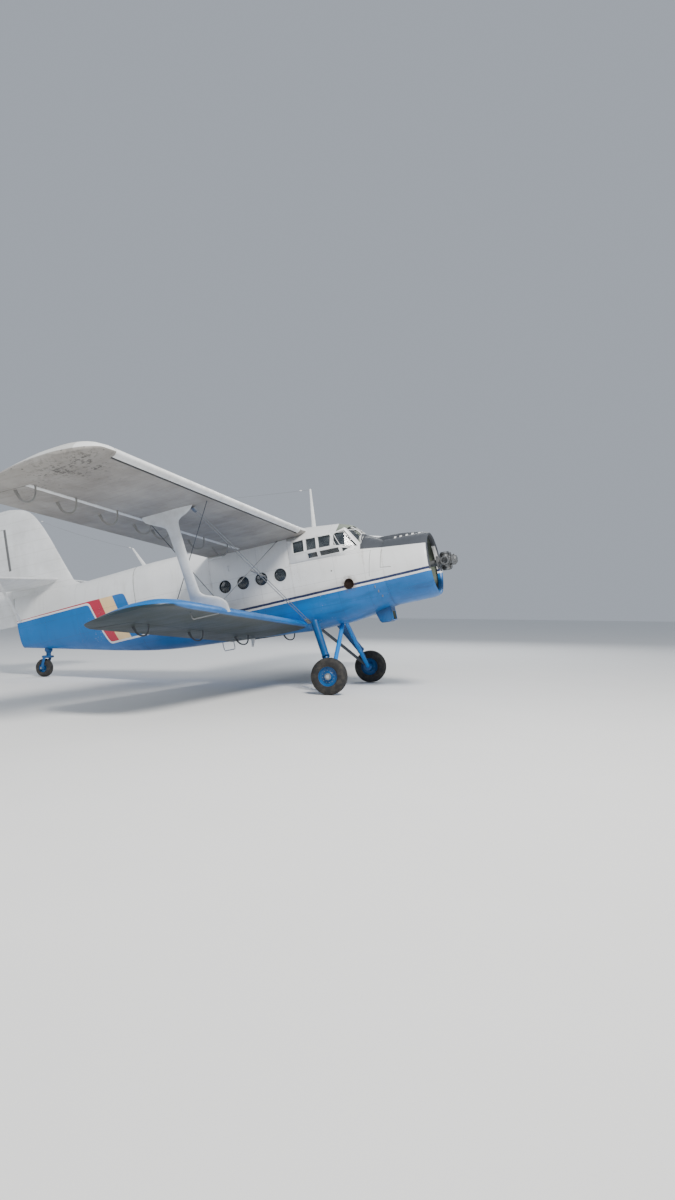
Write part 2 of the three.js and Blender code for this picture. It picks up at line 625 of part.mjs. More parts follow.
const screenCutters = SCREEN_PANES.map((pane) => prismX(pane.outline, SCREEN_CUT.front, SCREEN_CUT.rear));
const canopyFrame = cut(canopyFrameShell, paneCutters, screenCutters);
const liner = canopyHull(CANOPY_WALL + CLEARANCE, CANOPY_FOOT.liner);
const linerInside = canopyHull(CANOPY_WALL + CLEARANCE + GLASS, CANOPY_FOOT.inside);
const canopyGlass = cut(liner, linerInside).intersect(
  boxAbout(0, GLASS_REACH.half, GLASS_REACH.rear, GLASS_REACH.front, CANOPY_FOOT.glass, GLASS_REACH.top),
);

function sideBore(hole, x, side) {
  const { inner, outer } = BORE_REACH;
  return rod([x, side * inner, hole.z], [x, side * outer, hole.z], hole.radius, hole.sides);
}
const noseCavity = hull(NOSE_STATIONS, WALL, PAST_END, -PAST_END);
const scoopDuct = prismY(SCOOP.duct, -SCOOP.ductHalf, SCOOP.ductHalf);
const oilCooler = cut(prismY(SCOOP.outline, -SCOOP.half, SCOOP.half), scoopDuct, grownHull(NOSE_STATIONS));
const canopyRoom = canopyHull(-2 * CLEARANCE, CANOPY_FOOT.frame - 1);
const forwardFuselage = cut(noseOuter, noseCavity, canopyRoom, sideBore(EXHAUST_HOLE, EXHAUST_HOLE.x, -1));
const canopyBlock = canopyHull(-CLEARANCE, CANOPY_FOOT.block);

const portholeCutters = PORTHOLE.xs.flatMap((x) => [sideBore(PORTHOLE, x, 1), sideBore(PORTHOLE, x, -1)]);
const cabinShell = cut(cabinOuter, hull(CABIN_STATIONS, WALL, PAST_END, -PAST_END));
function doorBlock(door, grow) {
  const { inner, outer } = DOOR_REACH;
  return box(door.rear - grow, door.front + grow, inner, outer, door.bottom - grow, door.top + grow);
}
function knuckle(line, from, to, radius) {
  return rod(line(from), line(to), radius, KNUCKLE.sides);
}
function hingeSet(line, centre) {
  // Middle knuckle for the moving side, one knuckle on each side of it for the fixed side
  const { half: mid, full, radius, pocket, play } = KNUCKLE;
  return {
    moving: knuckle(line, centre - mid, centre + mid, radius),
    movingRoom: knuckle(line, centre - mid - play, centre + mid + play, pocket),
    fixed: union(
      knuckle(line, centre + mid + CLEARANCE, centre + full, radius),
      knuckle(line, centre - full, centre - mid - CLEARANCE, radius),
    ),
    fixedRoom: union(
      knuckle(line, centre + mid, centre + full + 2 * play, pocket),
      knuckle(line, centre - full - 2 * play, centre - mid, pocket),
    ),
  };
}
const cargoLine = (x) => [x, CARGO_HINGE.y + CARGO_HINGE.slope * (x - CABIN_DOOR.front), CARGO_HINGE.z];
const cabinLine = (z) => [CABIN_HINGE.x, CABIN_HINGE.y, z];
const cargoSets = CARGO_HINGE.at.map((x) => hingeSet(cargoLine, x));
const cabinSets = CABIN_HINGE.at.map((z) => hingeSet(cabinLine, z));
function leaf(z, from, to, x) {
  const { x: axis, y } = CABIN_HINGE;
  return box(Math.min(axis, x), Math.max(axis, x), y - LEAF.inside, y + LEAF.outside, z + from, z + to);
}
const doorHole = doorBlock(CARGO_DOOR, 0);
const cabinSkin = cut(cabinShell, portholeCutters, doorHole, cargoSets.map((set) => set.movingRoom));
function cabinPart(rear, front) {
  return cabinSkin.intersect(
    boxAbout(0, CABIN_OUTSIDE.half, rear, front, CABIN_OUTSIDE.low, CABIN_OUTSIDE.high),
  );
}
const cabinFront = cabinPart(CABIN_JOINT, CABIN_ENDS.front);
const cabinRear = union(
  cabinPart(CABIN_ENDS.rear, CABIN_JOINT - CLEARANCE),
  cargoSets.map((set) => set.fixed),
);
const doorWindow = sideBore(PORTHOLE, (CABIN_DOOR.front + CABIN_DOOR.rear) / 2, 1);
const frameLeaves = CABIN_HINGE.at.flatMap((z) => [
  leaf(z, KNUCKLE.half + CLEARANCE, KNUCKLE.full, CABIN_DOOR.front + LEAF.reach),
  leaf(z, -KNUCKLE.full, -KNUCKLE.half - CLEARANCE, CABIN_DOOR.front + LEAF.reach),
]);
const doorLeafEnd = CABIN_DOOR.front - CABIN_DOOR.gap - LEAF.reach;
const doorLeaves = CABIN_HINGE.at.map((z) => leaf(z, -KNUCKLE.half, KNUCKLE.half, doorLeafEnd));
const cargoPanel = cabinShell.intersect(doorBlock(CARGO_DOOR, -CARGO_DOOR.gap));
const cargoDoor = union(
  cut(cargoPanel, doorBlock(CABIN_DOOR, 0), cargoSets.map((set) => set.fixedRoom)),
  cargoSets.map((set) => set.moving),
  cabinSets.map((set) => set.fixed),
  frameLeaves,
);
const cabinPanel = cabinShell.intersect(doorBlock(CABIN_DOOR, -CABIN_DOOR.gap));
const cabinDoor = union(cut(cabinPanel, doorWindow), cabinSets.map((set) => set.moving), doorLeaves);

const tailCavity = hull(TAIL_STATIONS.slice(0, -1), WALL, PAST_END, 0);
function onSwivel(solid) {
  // From a frame with its origin in the tail axle and Z upright when parked
  return moved(solid.rotate([0, THREE.MathUtils.radToDeg(GROUND_ANGLE), 0]), TAIL_WHEEL.x, 0, TAIL_WHEEL.z);
}
const onStem = (z) => [SWIVEL.trail, 0, z];
const bossTop = SWIVEL.seat + SWIVEL_BOSS.height;
const tailBoss = onSwivel(rod(onStem(SWIVEL.seat), onStem(bossTop), SWIVEL_BOSS.radius, STEM_SIDES));

// Glass discs behind the cabin portholes, carried by a thin inner rail
const cabinLining = hull(CABIN_STATIONS, WALL + CLEARANCE, PAST_END, -PAST_END);
function paneStrip(side) {
  const level = side * (CABIN_STATIONS[0].half - WALL);
  const { z, radius, sides, xs } = PORTHOLE;
  const { inner, outer, play, inset, rail, railInner, railOuter } = PORTHOLE_GLASS;
  const [back, front] = [level - side * inner, level + side * outer];
  const discs = xs.map((x) => rod([x, back, z], [x, front, z], radius - play, sides));
  const ends = [Math.min(...xs) - rail, Math.max(...xs) + rail];
  const strip = box(...ends, level - side * railInner, level - side * railOuter, z - rail, z + rail);
  const lining = cut(cabinLining, hull(CABIN_STATIONS, WALL + CLEARANCE + GLASS, PAST_END, -PAST_END));
  return union(strip.intersect(lining), discs.map((disc) => disc.intersect(hull(CABIN_STATIONS, inset))));
}

// Floors and bulkheads fill the inner section of the shell
const noseLining = hull(NOSE_STATIONS, WALL + CLEARANCE, PAST_END, -PAST_END);
function acrossCabin(rear, front, low = CABIN_INSIDE.low, high = CABIN_INSIDE.high) {
  return cabinLining.intersect(boxAbout(0, CABIN_INSIDE.half, rear, front, low, high));
}
const floorEnds = [REAR_BULKHEAD.front + CLEARANCE, BULKHEAD.rear - CLEARANCE];
const cabinFloor = acrossCabin(...floorEnds, FLOOR.top - FLOOR.thick, FLOOR.top);
const doorwayEnds = [BULKHEAD.rear - BULKHEAD.past, BULKHEAD.front + BULKHEAD.past];
const doorway = boxAbout(0, BULKHEAD.doorway, ...doorwayEnds, FLOOR.top, BULKHEAD.head);
const crewBulkhead = cut(acrossCabin(BULKHEAD.rear, BULKHEAD.front), doorway);
const rearBulkhead = acrossCabin(REAR_BULKHEAD.rear, REAR_BULKHEAD.front);
const cockpitFloorLevels = [COCKPIT_FLOOR.top - COCKPIT_FLOOR.thick, COCKPIT_FLOOR.top];
const cockpitFloor = noseLining.intersect(
  boxAbout(0, COCKPIT_FLOOR.half, COCKPIT_FLOOR.rear, COCKPIT_FLOOR.front, ...cockpitFloorLevels),
);
const firewall = noseLining.intersect(
  boxAbout(0, CABIN_INSIDE.half, FIREWALL.rear, FIREWALL.front, CABIN_INSIDE.low, CABIN_INSIDE.high),
);

const onFloor = COCKPIT_FLOOR.top + CLEARANCE;
const postFoot = [SEAT_POST.rear - SEAT_POST.rim, SEAT_POST.front + SEAT_POST.rim];
const pilotSeat = union(
  boxAbout(SEAT.y, SEAT.half, SEAT.rear + SEAT.back - SEAT.lap, SEAT.front, SEAT.low, SEAT.low + SEAT.pan),
  boxAbout(SEAT.y, SEAT.half, SEAT.rear, SEAT.rear + SEAT.back, SEAT.low, SEAT.top),
  boxAbout(SEAT.y, SEAT_POST.half, SEAT_POST.rear, SEAT_POST.front, onFloor, SEAT.low + SEAT.lap),
  boxAbout(SEAT.y, SEAT_POST.foot, ...postFoot, onFloor, COCKPIT_FLOOR.top + SEAT_POST.footThick),
);
const panel = union(
  boxAbout(0, PANEL.half, PANEL.rear, PANEL.front, PANEL.low, PANEL.high),
  boxAbout(0, PEDESTAL.half, PEDESTAL.rear, PEDESTAL.front, onFloor, PEDESTAL.high),
  [SEAT.y, -SEAT.y].map((y) => union(
    rod([YOKE.root[0], y, YOKE.root[1]], [YOKE.end[0], y, YOKE.end[1]], YOKE.radius, YOKE.sides),
    boxAbout(y, YOKE_BAR.half, YOKE_BAR.rear, YOKE_BAR.front, YOKE_BAR.low, YOKE_BAR.high),
  )),
);

// Radial engine, cowl and airscrew hub
function aroundThrust(count, make) {
  return Array.from({ length: count }, (_, i) => make(i).rotate([(360 * i) / count, 0, 0]));
}
const crankcase = turned(CRANKCASE.profile, 'x', CRANKCASE.sides);
const barrel = turned(CYLINDER.profile, 'z', CYLINDER.sides);
const cylinders = aroundThrust(CYLINDER.count, () => moved(barrel, CYLINDER.x, 0, 0));
const engineBearer = Array.from({ length: BEARER.count }, (_, i) => {
  const angle = Math.PI / 4 + (i * 2 * Math.PI) / BEARER.count;
  const at = (x, radius) => [x, radius * Math.cos(angle), radius * Math.sin(angle)];
  return rod(at(...BEARER.front), at(...BEARER.rear), BEARER.radius, BEARER.sides);
});
const { rear: cutRear, half: cutHalf } = ENGINE_CUT;
const behindEngine = boxAbout(0, cutHalf, cutRear, FIREWALL.front + CLEARANCE, -cutHalf, cutHalf);
const engine = cut(union(crankcase, cylinders, engineBearer), behindEngine);
const cowlRear = COWL.rear + CLEARANCE;
const ringProfile = [
  [cowlRear, COWL.innerRearRadius], [cowlRear, COWL.rearRadius], ...COWL.outer, ...COWL.inner,
];
const cowlRing = turned(ringProfile, 'x', COWL.sides);
const closedProfile = [[COWL.rear, 0], [COWL.rear, COWL.rearRadius], ...COWL.outer, [COWL.lipRear, 0]];
const cowlClosed = turned(closedProfile, 'x', COWL.sides);
function intakePart(rear, front) {
  return hull(INTAKE_STATIONS).intersect(
    boxAbout(0, INTAKE_CUT.half, rear, front, INTAKE_CUT.low, INTAKE_CUT.high),
  );
}
const insideSkin = cowlClosed.scale([1, COWL.skinShare, COWL.skinShare]);
const cowl = union(cowlRing, cut(intakePart(cowlRear, 0), insideSkin));
const intakeDuct = cut(intakePart(INTAKE_CUT.rear, COWL.rear), grownHull(NOSE_STATIONS), canopyBlock);

const hubRear = HUB.rear + CLEARANCE;
const hubCore = turned([[hubRear, 0], [hubRear, HUB.rearRadius], ...HUB.profile], 'x', HUB.sides);
const socket = turned(SOCKET.profile, 'z', SOCKET.sides);
const propellerHub = union(hubCore, aroundThrust(SOCKET.count, () => moved(socket, SOCKET.x, 0, 0)));

// Wings
const upperBlank = wingBlank(UPPER_WING, 0);
const lowerBlank = wingBlank(LOWER_WING, LOWER_WING.root);
function slatArm(y, grow) {
  const start = wingPoint(UPPER_WING, SLAT_ARM.from, SLAT_ARM.up, y);
  const length = SLAT_ARM.reach + grow * END_GAP;
  const end = [start[0] - length * Math.cos(SLAT_ARM.slope), y, start[2] + length * Math.sin(SLAT_ARM.slope)];
  return rod(start, end, SLAT_ARM.radius + grow, SLAT_ARM.sides);
}
const slat = union(
  upperBlank.intersect(spanPrism(UPPER_WING, SLAT_OUTLINE, SLAT.from, SLAT.to)),
  SLAT_ARM.at.map((y) => slatArm(y, 0)),
);
function hingedSurface(blank, wing, hinge, surface) {
  const panel = blank.intersect(hingeZone(wing, hinge, surface.from, surface.to, 0));
  return union(panel, surface.brackets.map((y) => hingePin(wing, hinge, y)));
}
const upperFlap = hingedSurface(upperBlank, UPPER_WING, UPPER_HINGE, UPPER_FLAP);
const aileron = hingedSurface(upperBlank, UPPER_WING, UPPER_HINGE, AILERON);
function brackets(wing, hinge, places) {
  return places.map((y) => hingeBracket(wing, hinge, y));
}
function hingeRoom(wing, hinge, from, to) {
  return hingeZone(wing, hinge, from - HINGE_END_GAP, to + HINGE_END_GAP, hinge.gap);
}
const panelEnds = [PANEL_BLOCK.rear, PANEL_BLOCK.front, UPPER_WING.root, PANEL_BLOCK.end];
const upperHalf = union(
  cut(
    upperBlank,
    spanPrism(UPPER_WING, SLAT_ROOM, SLAT.from - END_GAP, SLAT.to + END_GAP),
    hingeRoom(UPPER_WING, UPPER_HINGE, UPPER_FLAP.from, AILERON.to),
    SLAT_ARM.at.map((y) => slatArm(y, 2 * CLEARANCE)),
  ),
  brackets(UPPER_WING, UPPER_HINGE, [...UPPER_FLAP.brackets, ...AILERON.brackets]),
).intersect(box(...panelEnds, PANEL_BLOCK.low, PANEL_BLOCK.high));
// The centre section lies level on the cabin roof, and the outer panels butt against its ends
const roofBlock = union(grownHull(CABIN_STATIONS), canopyBlock);
const centreLevel = UPPER_WING.z + UPPER_WING.rise * (UPPER_WING.root - RISE_FROM);
const centreWing = { ...UPPER_WING, rise: 0, z: centreLevel };
const centreHalf = UPPER_WING.root - CLEARANCE;
const upperCentre = cut(loft([-centreHalf, centreHalf].map((y) => wingRing(centreWing, y))), roofBlock);
const upperPanel = cut(upperHalf, roofBlock);
const lowerFlap = hingedSurface(lowerBlank, LOWER_WING, LOWER_HINGE, LOWER_FLAP);
const bodyBlock = union(grownHull(NOSE_STATIONS), grownHull(CABIN_STATIONS));
const lowerWing = cut(
  union(
    cut(lowerBlank, hingeRoom(LOWER_WING, LOWER_HINGE, LOWER_FLAP.from, LOWER_FLAP.to)),
    brackets(LOWER_WING, LOWER_HINGE, LOWER_FLAP.brackets),
  ),
  bodyBlock,
);

// Interplane strut
function strutRing(row) {
  const middle = (row.front + row.rear) / 2;
  const half = (row.front - row.rear) / 2;
  return Array.from({ length: STRUT_SIDES }, (_, i) => {
    const angle = (i * 2 * Math.PI) / STRUT_SIDES;
    return [middle + half * Math.cos(angle), row.y + (row.thick / 2) * Math.sin(angle), row.z];
  });
}
function strutTrim([low, high]) {
  return box(STRUT_TRIM.rear, STRUT_TRIM.front, STRUT_TRIM.inner, STRUT_TRIM.outer, low, high);
}
const strut = cut(
  loft(STRUT_SECTIONS.map(strutRing)),
  moved(upperHalf, 0, 0, -CLEARANCE),
  strutTrim(STRUT_TRIM.top),
  moved(lowerBlank, 0, 0, CLEARANCE),
  strutTrim(STRUT_TRIM.foot),
);

// Bracing wires of one side, joined where they cross
function shifted(point, by) {
  return point.map((v, k) => v + by[k]);
}
function pointAtSpan(from, to, y) {
  const share = (y - from[1]) / (to[1] - from[1]);
  return [from[0] + (to[0] - from[0]) * share, y, from[2] + (to[2] - from[2]) * share];
}
function fitting(at, { from, to, chord, thick }) {
  return ovalRod(shifted(at, from), shifted(at, to), chord, thick, FITTING_SIDES);
}
function bracing() {
  const { foot, top, apart } = FLYING_WIRE;
  const pair = [-apart / 2, apart / 2].map((x) => rod(
    shifted(foot, [x, 0, 0]), shifted(top, [x, 0, 0]), WIRE_RADIUS, WIRE_SIDES,
  ));
  const landing = rod(LANDING_WIRE.top, LANDING_WIRE.foot, WIRE_RADIUS, WIRE_SIDES);
  const { y, chord, thick, ahead, behind, bar, barRadius } = WIRE_CLAMP;
  const fly = pointAtSpan(foot, top, y);
  const land = pointAtSpan(LANDING_WIRE.top, LANDING_WIRE.foot, y);
  const [clampFront, clampRear] = [shifted(fly, [ahead, 0, 0]), shifted(land, [-behind, 0, 0])];
  const clamp = ovalRod(clampFront, clampRear, chord, thick, FITTING_SIDES);
  const [barRear, barFront] = bar.map((x) => shifted(fly, [x, 0, 0]));
  const clampBar = rod(barRear, barFront, barRadius, FITTING_SIDES);
  return cut(
    union(pair, fitting(foot, FOOT_FITTING), fitting(top, TOP_FITTING), landing, clamp, clampBar),
    bodyBlock,
    moved(upperHalf, 0, 0, -CLEARANCE),
    moved(strut, 0, -CLEARANCE, 0),
    moved(lowerBlank, 0, 0, CLEARANCE),
  );
}
const wires = bracing();

// Fin and rudder, tailplane and elevator
function finRing(row) {
  const chord = row.front - row.rear;
  return FIN_OUTLINE.map(([s, t]) => [row.front - s * chord, (t * row.thick) / 2, row.z]);
}
const finBlank = loft(FIN_SECTIONS.map(finRing));
function rudderZone(grow, z0, z1) {
  const nose = rod([RUDDER.hinge, 0, z0], [RUDDER.hinge, 0, z1], RUDDER.radius + grow, NOSE_SIDES);
  return union(nose, box(TAIL_REACH.rear, RUDDER.hinge + grow, -TAIL_REACH.half, TAIL_REACH.half, z0, z1));
}
function rudderRod(below, above, radius) {
  const at = (z) => [RUDDER.hinge, 0, z];
  return rod(at(RUDDER.top - below), at(RUDDER.top + above), radius, RUDDER_PIN.sides);
}
const rudderPin = rudderRod(RUDDER_PIN.below, RUDDER_PIN.above, RUDDER_PIN.radius);
const rudderBore = rudderRod(RUDDER_PIN.below + RUDDER_PIN.play, 1, RUDDER_PIN.bore);
const rudderBlade = cut(finBlank.intersect(rudderZone(0, RUDDER.bottom, RUDDER.top)), rudderBore);
const tailplaneRow = { lead: TAILPLANE.lead, z: TAILPLANE.z, chord: TAILPLANE.chord, drop: 0, rise: 0 };
function tailRing({ y, from, to, thick }) {
  const outline = [...TAIL_HALF, ...TAIL_HALF.slice(1).reverse().map(([s, t]) => [s, -t])];
  return outline.map(([s, t]) => wingPoint(tailplaneRow, from + (to - from) * s, t * thick, y));
}
const tailBlank = loft(TAIL_ROWS.map(tailRing));
const elevatorHinge = TAILPLANE.lead - TAILPLANE.hinge * TAILPLANE.chord;
function elevatorRod(from, to, radius, sides) {
  return rod([elevatorHinge, from, TAILPLANE.z], [elevatorHinge, to, TAILPLANE.z], radius, sides);
}
function elevatorZone(grow, from, to) {
  const nose = elevatorRod(from, to, TAILPLANE.radius + grow, NOSE_SIDES);
  return union(nose, box(TAIL_REACH.rear, elevatorHinge + grow, from, to, TAIL_REACH.low, TAIL_REACH.high));
}
// The inboard corner is cut back to leave the rudder its swing
const roomRing = (z) => ELEVATOR_ROOM.map(([x, y]) => [x, y, z]);
const elevatorCut = loft([roomRing(TAIL_REACH.low), roomRing(TAIL_REACH.high)]);
const pinRoot = ELEVATOR.to - ELEVATOR_PIN.inside;
const { sides: pinSides, radius: pinRadius, bore: pinBore } = ELEVATOR_PIN;
const elevatorPin = elevatorRod(pinRoot, ELEVATOR.to + ELEVATOR_PIN.outside, pinRadius, pinSides);
const elevatorBore = elevatorRod(pinRoot - ELEVATOR_PIN.play, ELEVATOR.to + 1, pinBore, pinSides);
const elevatorPanel = tailBlank.intersect(elevatorZone(0, ELEVATOR.from, ELEVATOR.to));
const elevator = cut(elevatorPanel, elevatorCut, elevatorBore);
const tailHalf = union(cut(tailBlank, elevatorZone(TAILPLANE.gap, 0, ELEVATOR.to + END_GAP)), elevatorPin);
const tailBlock = grownHull(TAIL_STATIONS);
const fin = union(cut(finBlank, rudderZone(RUDDER.gap, 0, RUDDER.top + END_GAP), tailBlock), rudderPin);
const tailplaneHalf = cut(tailHalf, moved(finBlank, 0, CLEARANCE, 0), finBlank, tailBlock);
const rudderSlot = rudderZone(RUDDER.gap, RUDDER_SLOT.low, RUDDER_SLOT.high);
const tailConeShell = cut(union(tailOuter, tailBoss), tailCavity, rudderSlot);
const tailStrut = cut(
  ovalRod(TAIL_STRUT.foot, TAIL_STRUT.top, TAIL_STRUT.chord, TAIL_STRUT.thick, STRUT_SIDES),
  tailBlock,
  moved(tailHalf, 0, 0, -CLEARANCE),
  tailHalf,
);

// Main undercarriage of one side
const mainGear = cut(
  union(GEAR_RODS.map((row) => rod(row.from, row.to, row.radius, row.sides))),
  bodyBlock,
  moved(lowerBlank, 0, 0, -CLEARANCE),
);
function wheel(profile, row, y) {
  // Turned about its axle with a flat of the tread on the ground when parked
  return turned(profile, 'y', row.sides, [row.x, y, row.z], GROUND_ANGLE - Math.PI / row.sides);
}
function treadRadius(row) {
  return row.radius / Math.cos(Math.PI / row.sides);
}
const rim = wheel(RIM_PROFILE, MAIN_WHEEL, MAIN_WHEEL.y);
const mainHalf = MAIN_WHEEL.width / 2;
const mainTread = treadRadius(MAIN_WHEEL);
const tyreSide = [
  [TYRE.bead, TYRE.beadRadius], [mainHalf, TYRE.sideRadius],
  [TYRE.shoulder, mainTread - TYRE.drop], [TYRE.tread, mainTread],
];
const tailTread = treadRadius(TAIL_WHEEL);
const tailSide = [
  [TAIL_TYRE.hub, TAIL_AXLE.bore], [TAIL_TYRE.side, TAIL_TYRE.sideRadius],
  [TAIL_WHEEL.width / 2, TAIL_TYRE.wallRadius], [TAIL_TYRE.tread, tailTread],
];
function bothSides(side) {
  return [...side.map(([along, radius]) => [-along, radius]), ...side.slice().reverse()];
}
const tyre = wheel(bothSides(tyreSide), MAIN_WHEEL, MAIN_WHEEL.y);
const tailTyre = wheel(bothSides(tailSide), TAIL_WHEEL, 0);
const { stem, crown, arm } = FORK;
function forkArm(y) {
  const top = [SWIVEL.trail + arm.top[0], y, arm.top[1]];
  return ovalRod(top, [arm.foot[0], y, arm.foot[1]], arm.chord, arm.thick, arm.sides);
}
const fork = onSwivel(union(
  rod(onStem(stem.low), onStem(SWIVEL.seat - CLEARANCE), stem.radius, STEM_SIDES),
  boxAbout(0, crown.half, SWIVEL.trail + crown.rear, SWIVEL.trail + crown.front, crown.low, crown.high),
  [-arm.y, arm.y].map(forkArm),
  rod([0, -FORK.axle, 0], [0, FORK.axle, 0], TAIL_AXLE.radius, TAIL_AXLE_SIDES),
));

function mast({ base, top, wide, narrow, thick }) {
  const ring = (p, chord, t) => Array.from({ length: MAST_SIDES }, (_, i) => {
    const angle = (i * 2 * Math.PI) / MAST_SIDES;
    return [p[0] + (chord / 2) * Math.cos(angle), p[1] + (t / 2) * Math.sin(angle), p[2]];
  });
  return loft([ring(base, wide, thick), ring(top, narrow, thick / 2)]);
}
const frontMast = cut(mast(FRONT_MAST), canopyBlock);
const rearMast = cut(mast(REAR_MAST), grownHull(CABIN_STATIONS), tailBlock);

// Nodes: name, solid, colour, roughness, metalness
const WHITE = 0xe9edef;
const BLUE = 0x1c7fc4;
const GREY = 0x6c7378;
const NODES = [
  { name: 'engine_cowl', solid: cowl, colour: BLUE, rough: 0.5, metal: 0.1 },
  { name: 'radial_engine', solid: engine, colour: 0x55585a, rough: 0.6, metal: 0.6 },
  { name: 'intake_duct', solid: intakeDuct, colour: WHITE, rough: 0.5, metal: 0.1 },
  { name: 'forward_fuselage', solid: forwardFuselage, colour: WHITE, rough: 0.5, metal: 0.1 },
  { name: 'oil_cooler', solid: oilCooler, colour: BLUE, rough: 0.5, metal: 0.1 },
  { name: 'firewall', solid: firewall, colour: 0x8b9092, rough: 0.6, metal: 0.5 },
  { name: 'canopy_frame', solid: canopyFrame, colour: WHITE, rough: 0.5, metal: 0.1 },
  { name: 'canopy_glass', solid: canopyGlass, colour: 0x6f8790, rough: 0.1, metal: 0 },
  { name: 'cabin_shell_front', solid: cabinFront, colour: WHITE, rough: 0.5, metal: 0.1 },
  { name: 'cabin_shell_rear', solid: cabinRear, colour: WHITE, rough: 0.5, metal: 0.1 },
  { name: 'tail_cone', solid: tailConeShell, colour: WHITE, rough: 0.5, metal: 0.1 },
  { name: 'cabin_floor', solid: cabinFloor, colour: 0x8d9a86, rough: 0.7, metal: 0.1 },
  { name: 'crew_bulkhead', solid: crewBulkhead, colour: 0x8d9a86, rough: 0.7, metal: 0.1 },
  { name: 'rear_bulkhead', solid: rearBulkhead, colour: 0x8d9a86, rough: 0.7, metal: 0.1 },
  { name: 'cockpit_floor', solid: cockpitFloor, colour: 0x6d7566, rough: 0.7, metal: 0.1 },
  { name: 'instrument_panel', solid: panel, colour: 0x2e3436, rough: 0.7, metal: 0.1 },
  { name: 'pilot_seat_left', solid: pilotSeat, colour: 0x3d4a3c, rough: 0.8, metal: 0 },
  { name: 'pilot_seat_right', solid: mirrored(pilotSeat), colour: 0x3d4a3c, rough: 0.8, metal: 0 },
  { name: 'cabin_windows_left', solid: paneStrip(1), colour: 0x6f8790, rough: 0.1, metal: 0 },
  { name: 'cabin_windows_right', solid: paneStrip(-1), colour: 0x6f8790, rough: 0.1, metal: 0 },
  { name: 'upper_wing_centre', solid: upperCentre, colour: 0xd8d8d2, rough: 0.6, metal: 0 },
  { name: 'upper_wing_left', solid: upperPanel, colour: 0xd8d8d2, rough: 0.6, metal: 0 },
  { name: 'upper_wing_right', solid: mirrored(upperPanel), colour: 0xd8d8d2, rough: 0.6, metal: 0 },
  { name: 'slat_left', solid: slat, colour: WHITE, rough: 0.5, metal: 0.1 },
  { name: 'slat_right', solid: mirrored(slat), colour: WHITE, rough: 0.5, metal: 0.1 },
  { name: 'lower_wing_left', solid: lowerWing, colour: BLUE, rough: 0.4, metal: 0.1 },
  { name: 'lower_wing_right', solid: mirrored(lowerWing), colour: BLUE, rough: 0.4, metal: 0.1 },
  { name: 'interplane_strut_left', solid: strut, colour: 0xdde1e2, rough: 0.5, metal: 0.1 },
  { name: 'interplane_strut_right', solid: mirrored(strut), colour: 0xdde1e2, rough: 0.5, metal: 0.1 },
  { name: 'bracing_wires_left', solid: wires, colour: GREY, rough: 0.4, metal: 0.8 },
  { name: 'bracing_wires_right', solid: mirrored(wires), colour: GREY, rough: 0.4, metal: 0.8 },
  { name: 'fin', solid: fin, colour: WHITE, rough: 0.5, metal: 0.1 },
  { name: 'tailplane_left', solid: tailplaneHalf, colour: WHITE, rough: 0.5, metal: 0.1 },
  { name: 'tailplane_right', solid: mirrored(tailplaneHalf), colour: WHITE, rough: 0.5, metal: 0.1 },
  { name: 'tail_strut_left', solid: tailStrut, colour: WHITE, rough: 0.5, metal: 0.1 },
  { name: 'tail_strut_right', solid: mirrored(tailStrut), colour: WHITE, rough: 0.5, metal: 0.1 },
  { name: 'main_gear_left', solid: mainGear, colour: 0x14549b, rough: 0.5, metal: 0.2 },
  { name: 'main_gear_right', solid: mirrored(mainGear), colour: 0x14549b, rough: 0.5, metal: 0.2 },
  { name: 'aerial_mast_front', solid: frontMast, colour: WHITE, rough: 0.5, metal: 0.1 },
  { name: 'aerial_mast_rear', solid: rearMast, colour: WHITE, rough: 0.5, metal: 0.1 },
  { name: 'propeller_hub', solid: propellerHub, colour: 0x4a4d50, rough: 0.5, metal: 0.8 },
  { name: 'wheel_rim_left', solid: rim, colour: 0x2f5f8f, rough: 0.5, metal: 0.4 },
  { name: 'wheel_rim_right', solid: mirrored(rim), colour: 0x2f5f8f, rough: 0.5, metal: 0.4 },
  { name: 'tyre_left', solid: tyre, colour: 0x26282a, rough: 0.9, metal: 0 },
  { name: 'tyre_right', solid: mirrored(tyre), colour: 0x26282a, rough: 0.9, metal: 0 },
  { name: 'tail_fork', solid: fork, colour: 0x14549b, rough: 0.5, metal: 0.3 },
  { name: 'tail_wheel', solid: tailTyre, colour: 0x26282a, rough: 0.9, metal: 0 },
  { name: 'rudder', solid: rudderBlade, colour: WHITE, rough: 0.6, metal: 0 },
  { name: 'elevator_left', solid: elevator, colour: WHITE, rough: 0.6, metal: 0 },
  { name: 'elevator_right', solid: mirrored(elevator), colour: WHITE, rough: 0.6, metal: 0 },
  { name: 'aileron_left', solid: aileron, colour: 0xd8d8d2, rough: 0.6, metal: 0 },
  { name: 'aileron_right', solid: mirrored(aileron), colour: 0xd8d8d2, rough: 0.6, metal: 0 },
  { name: 'upper_flap_left', solid: upperFlap, colour: 0xd8d8d2, rough: 0.6, metal: 0 },
  { name: 'upper_flap_right', solid: mirrored(upperFlap), colour: 0xd8d8d2, rough: 0.6, metal: 0 },
  { name: 'lower_flap_left', solid: lowerFlap, colour: BLUE, rough: 0.4, metal: 0.1 },
  { name: 'lower_flap_right', solid: mirrored(lowerFlap), colour: BLUE, rough: 0.4, metal: 0.1 },
  { name: 'cargo_door', solid: cargoDoor, colour: WHITE, rough: 0.5, metal: 0.1 },
  { name: 'cabin_door', solid: cabinDoor, colour: WHITE, rough: 0.5, metal: 0.1 },
];

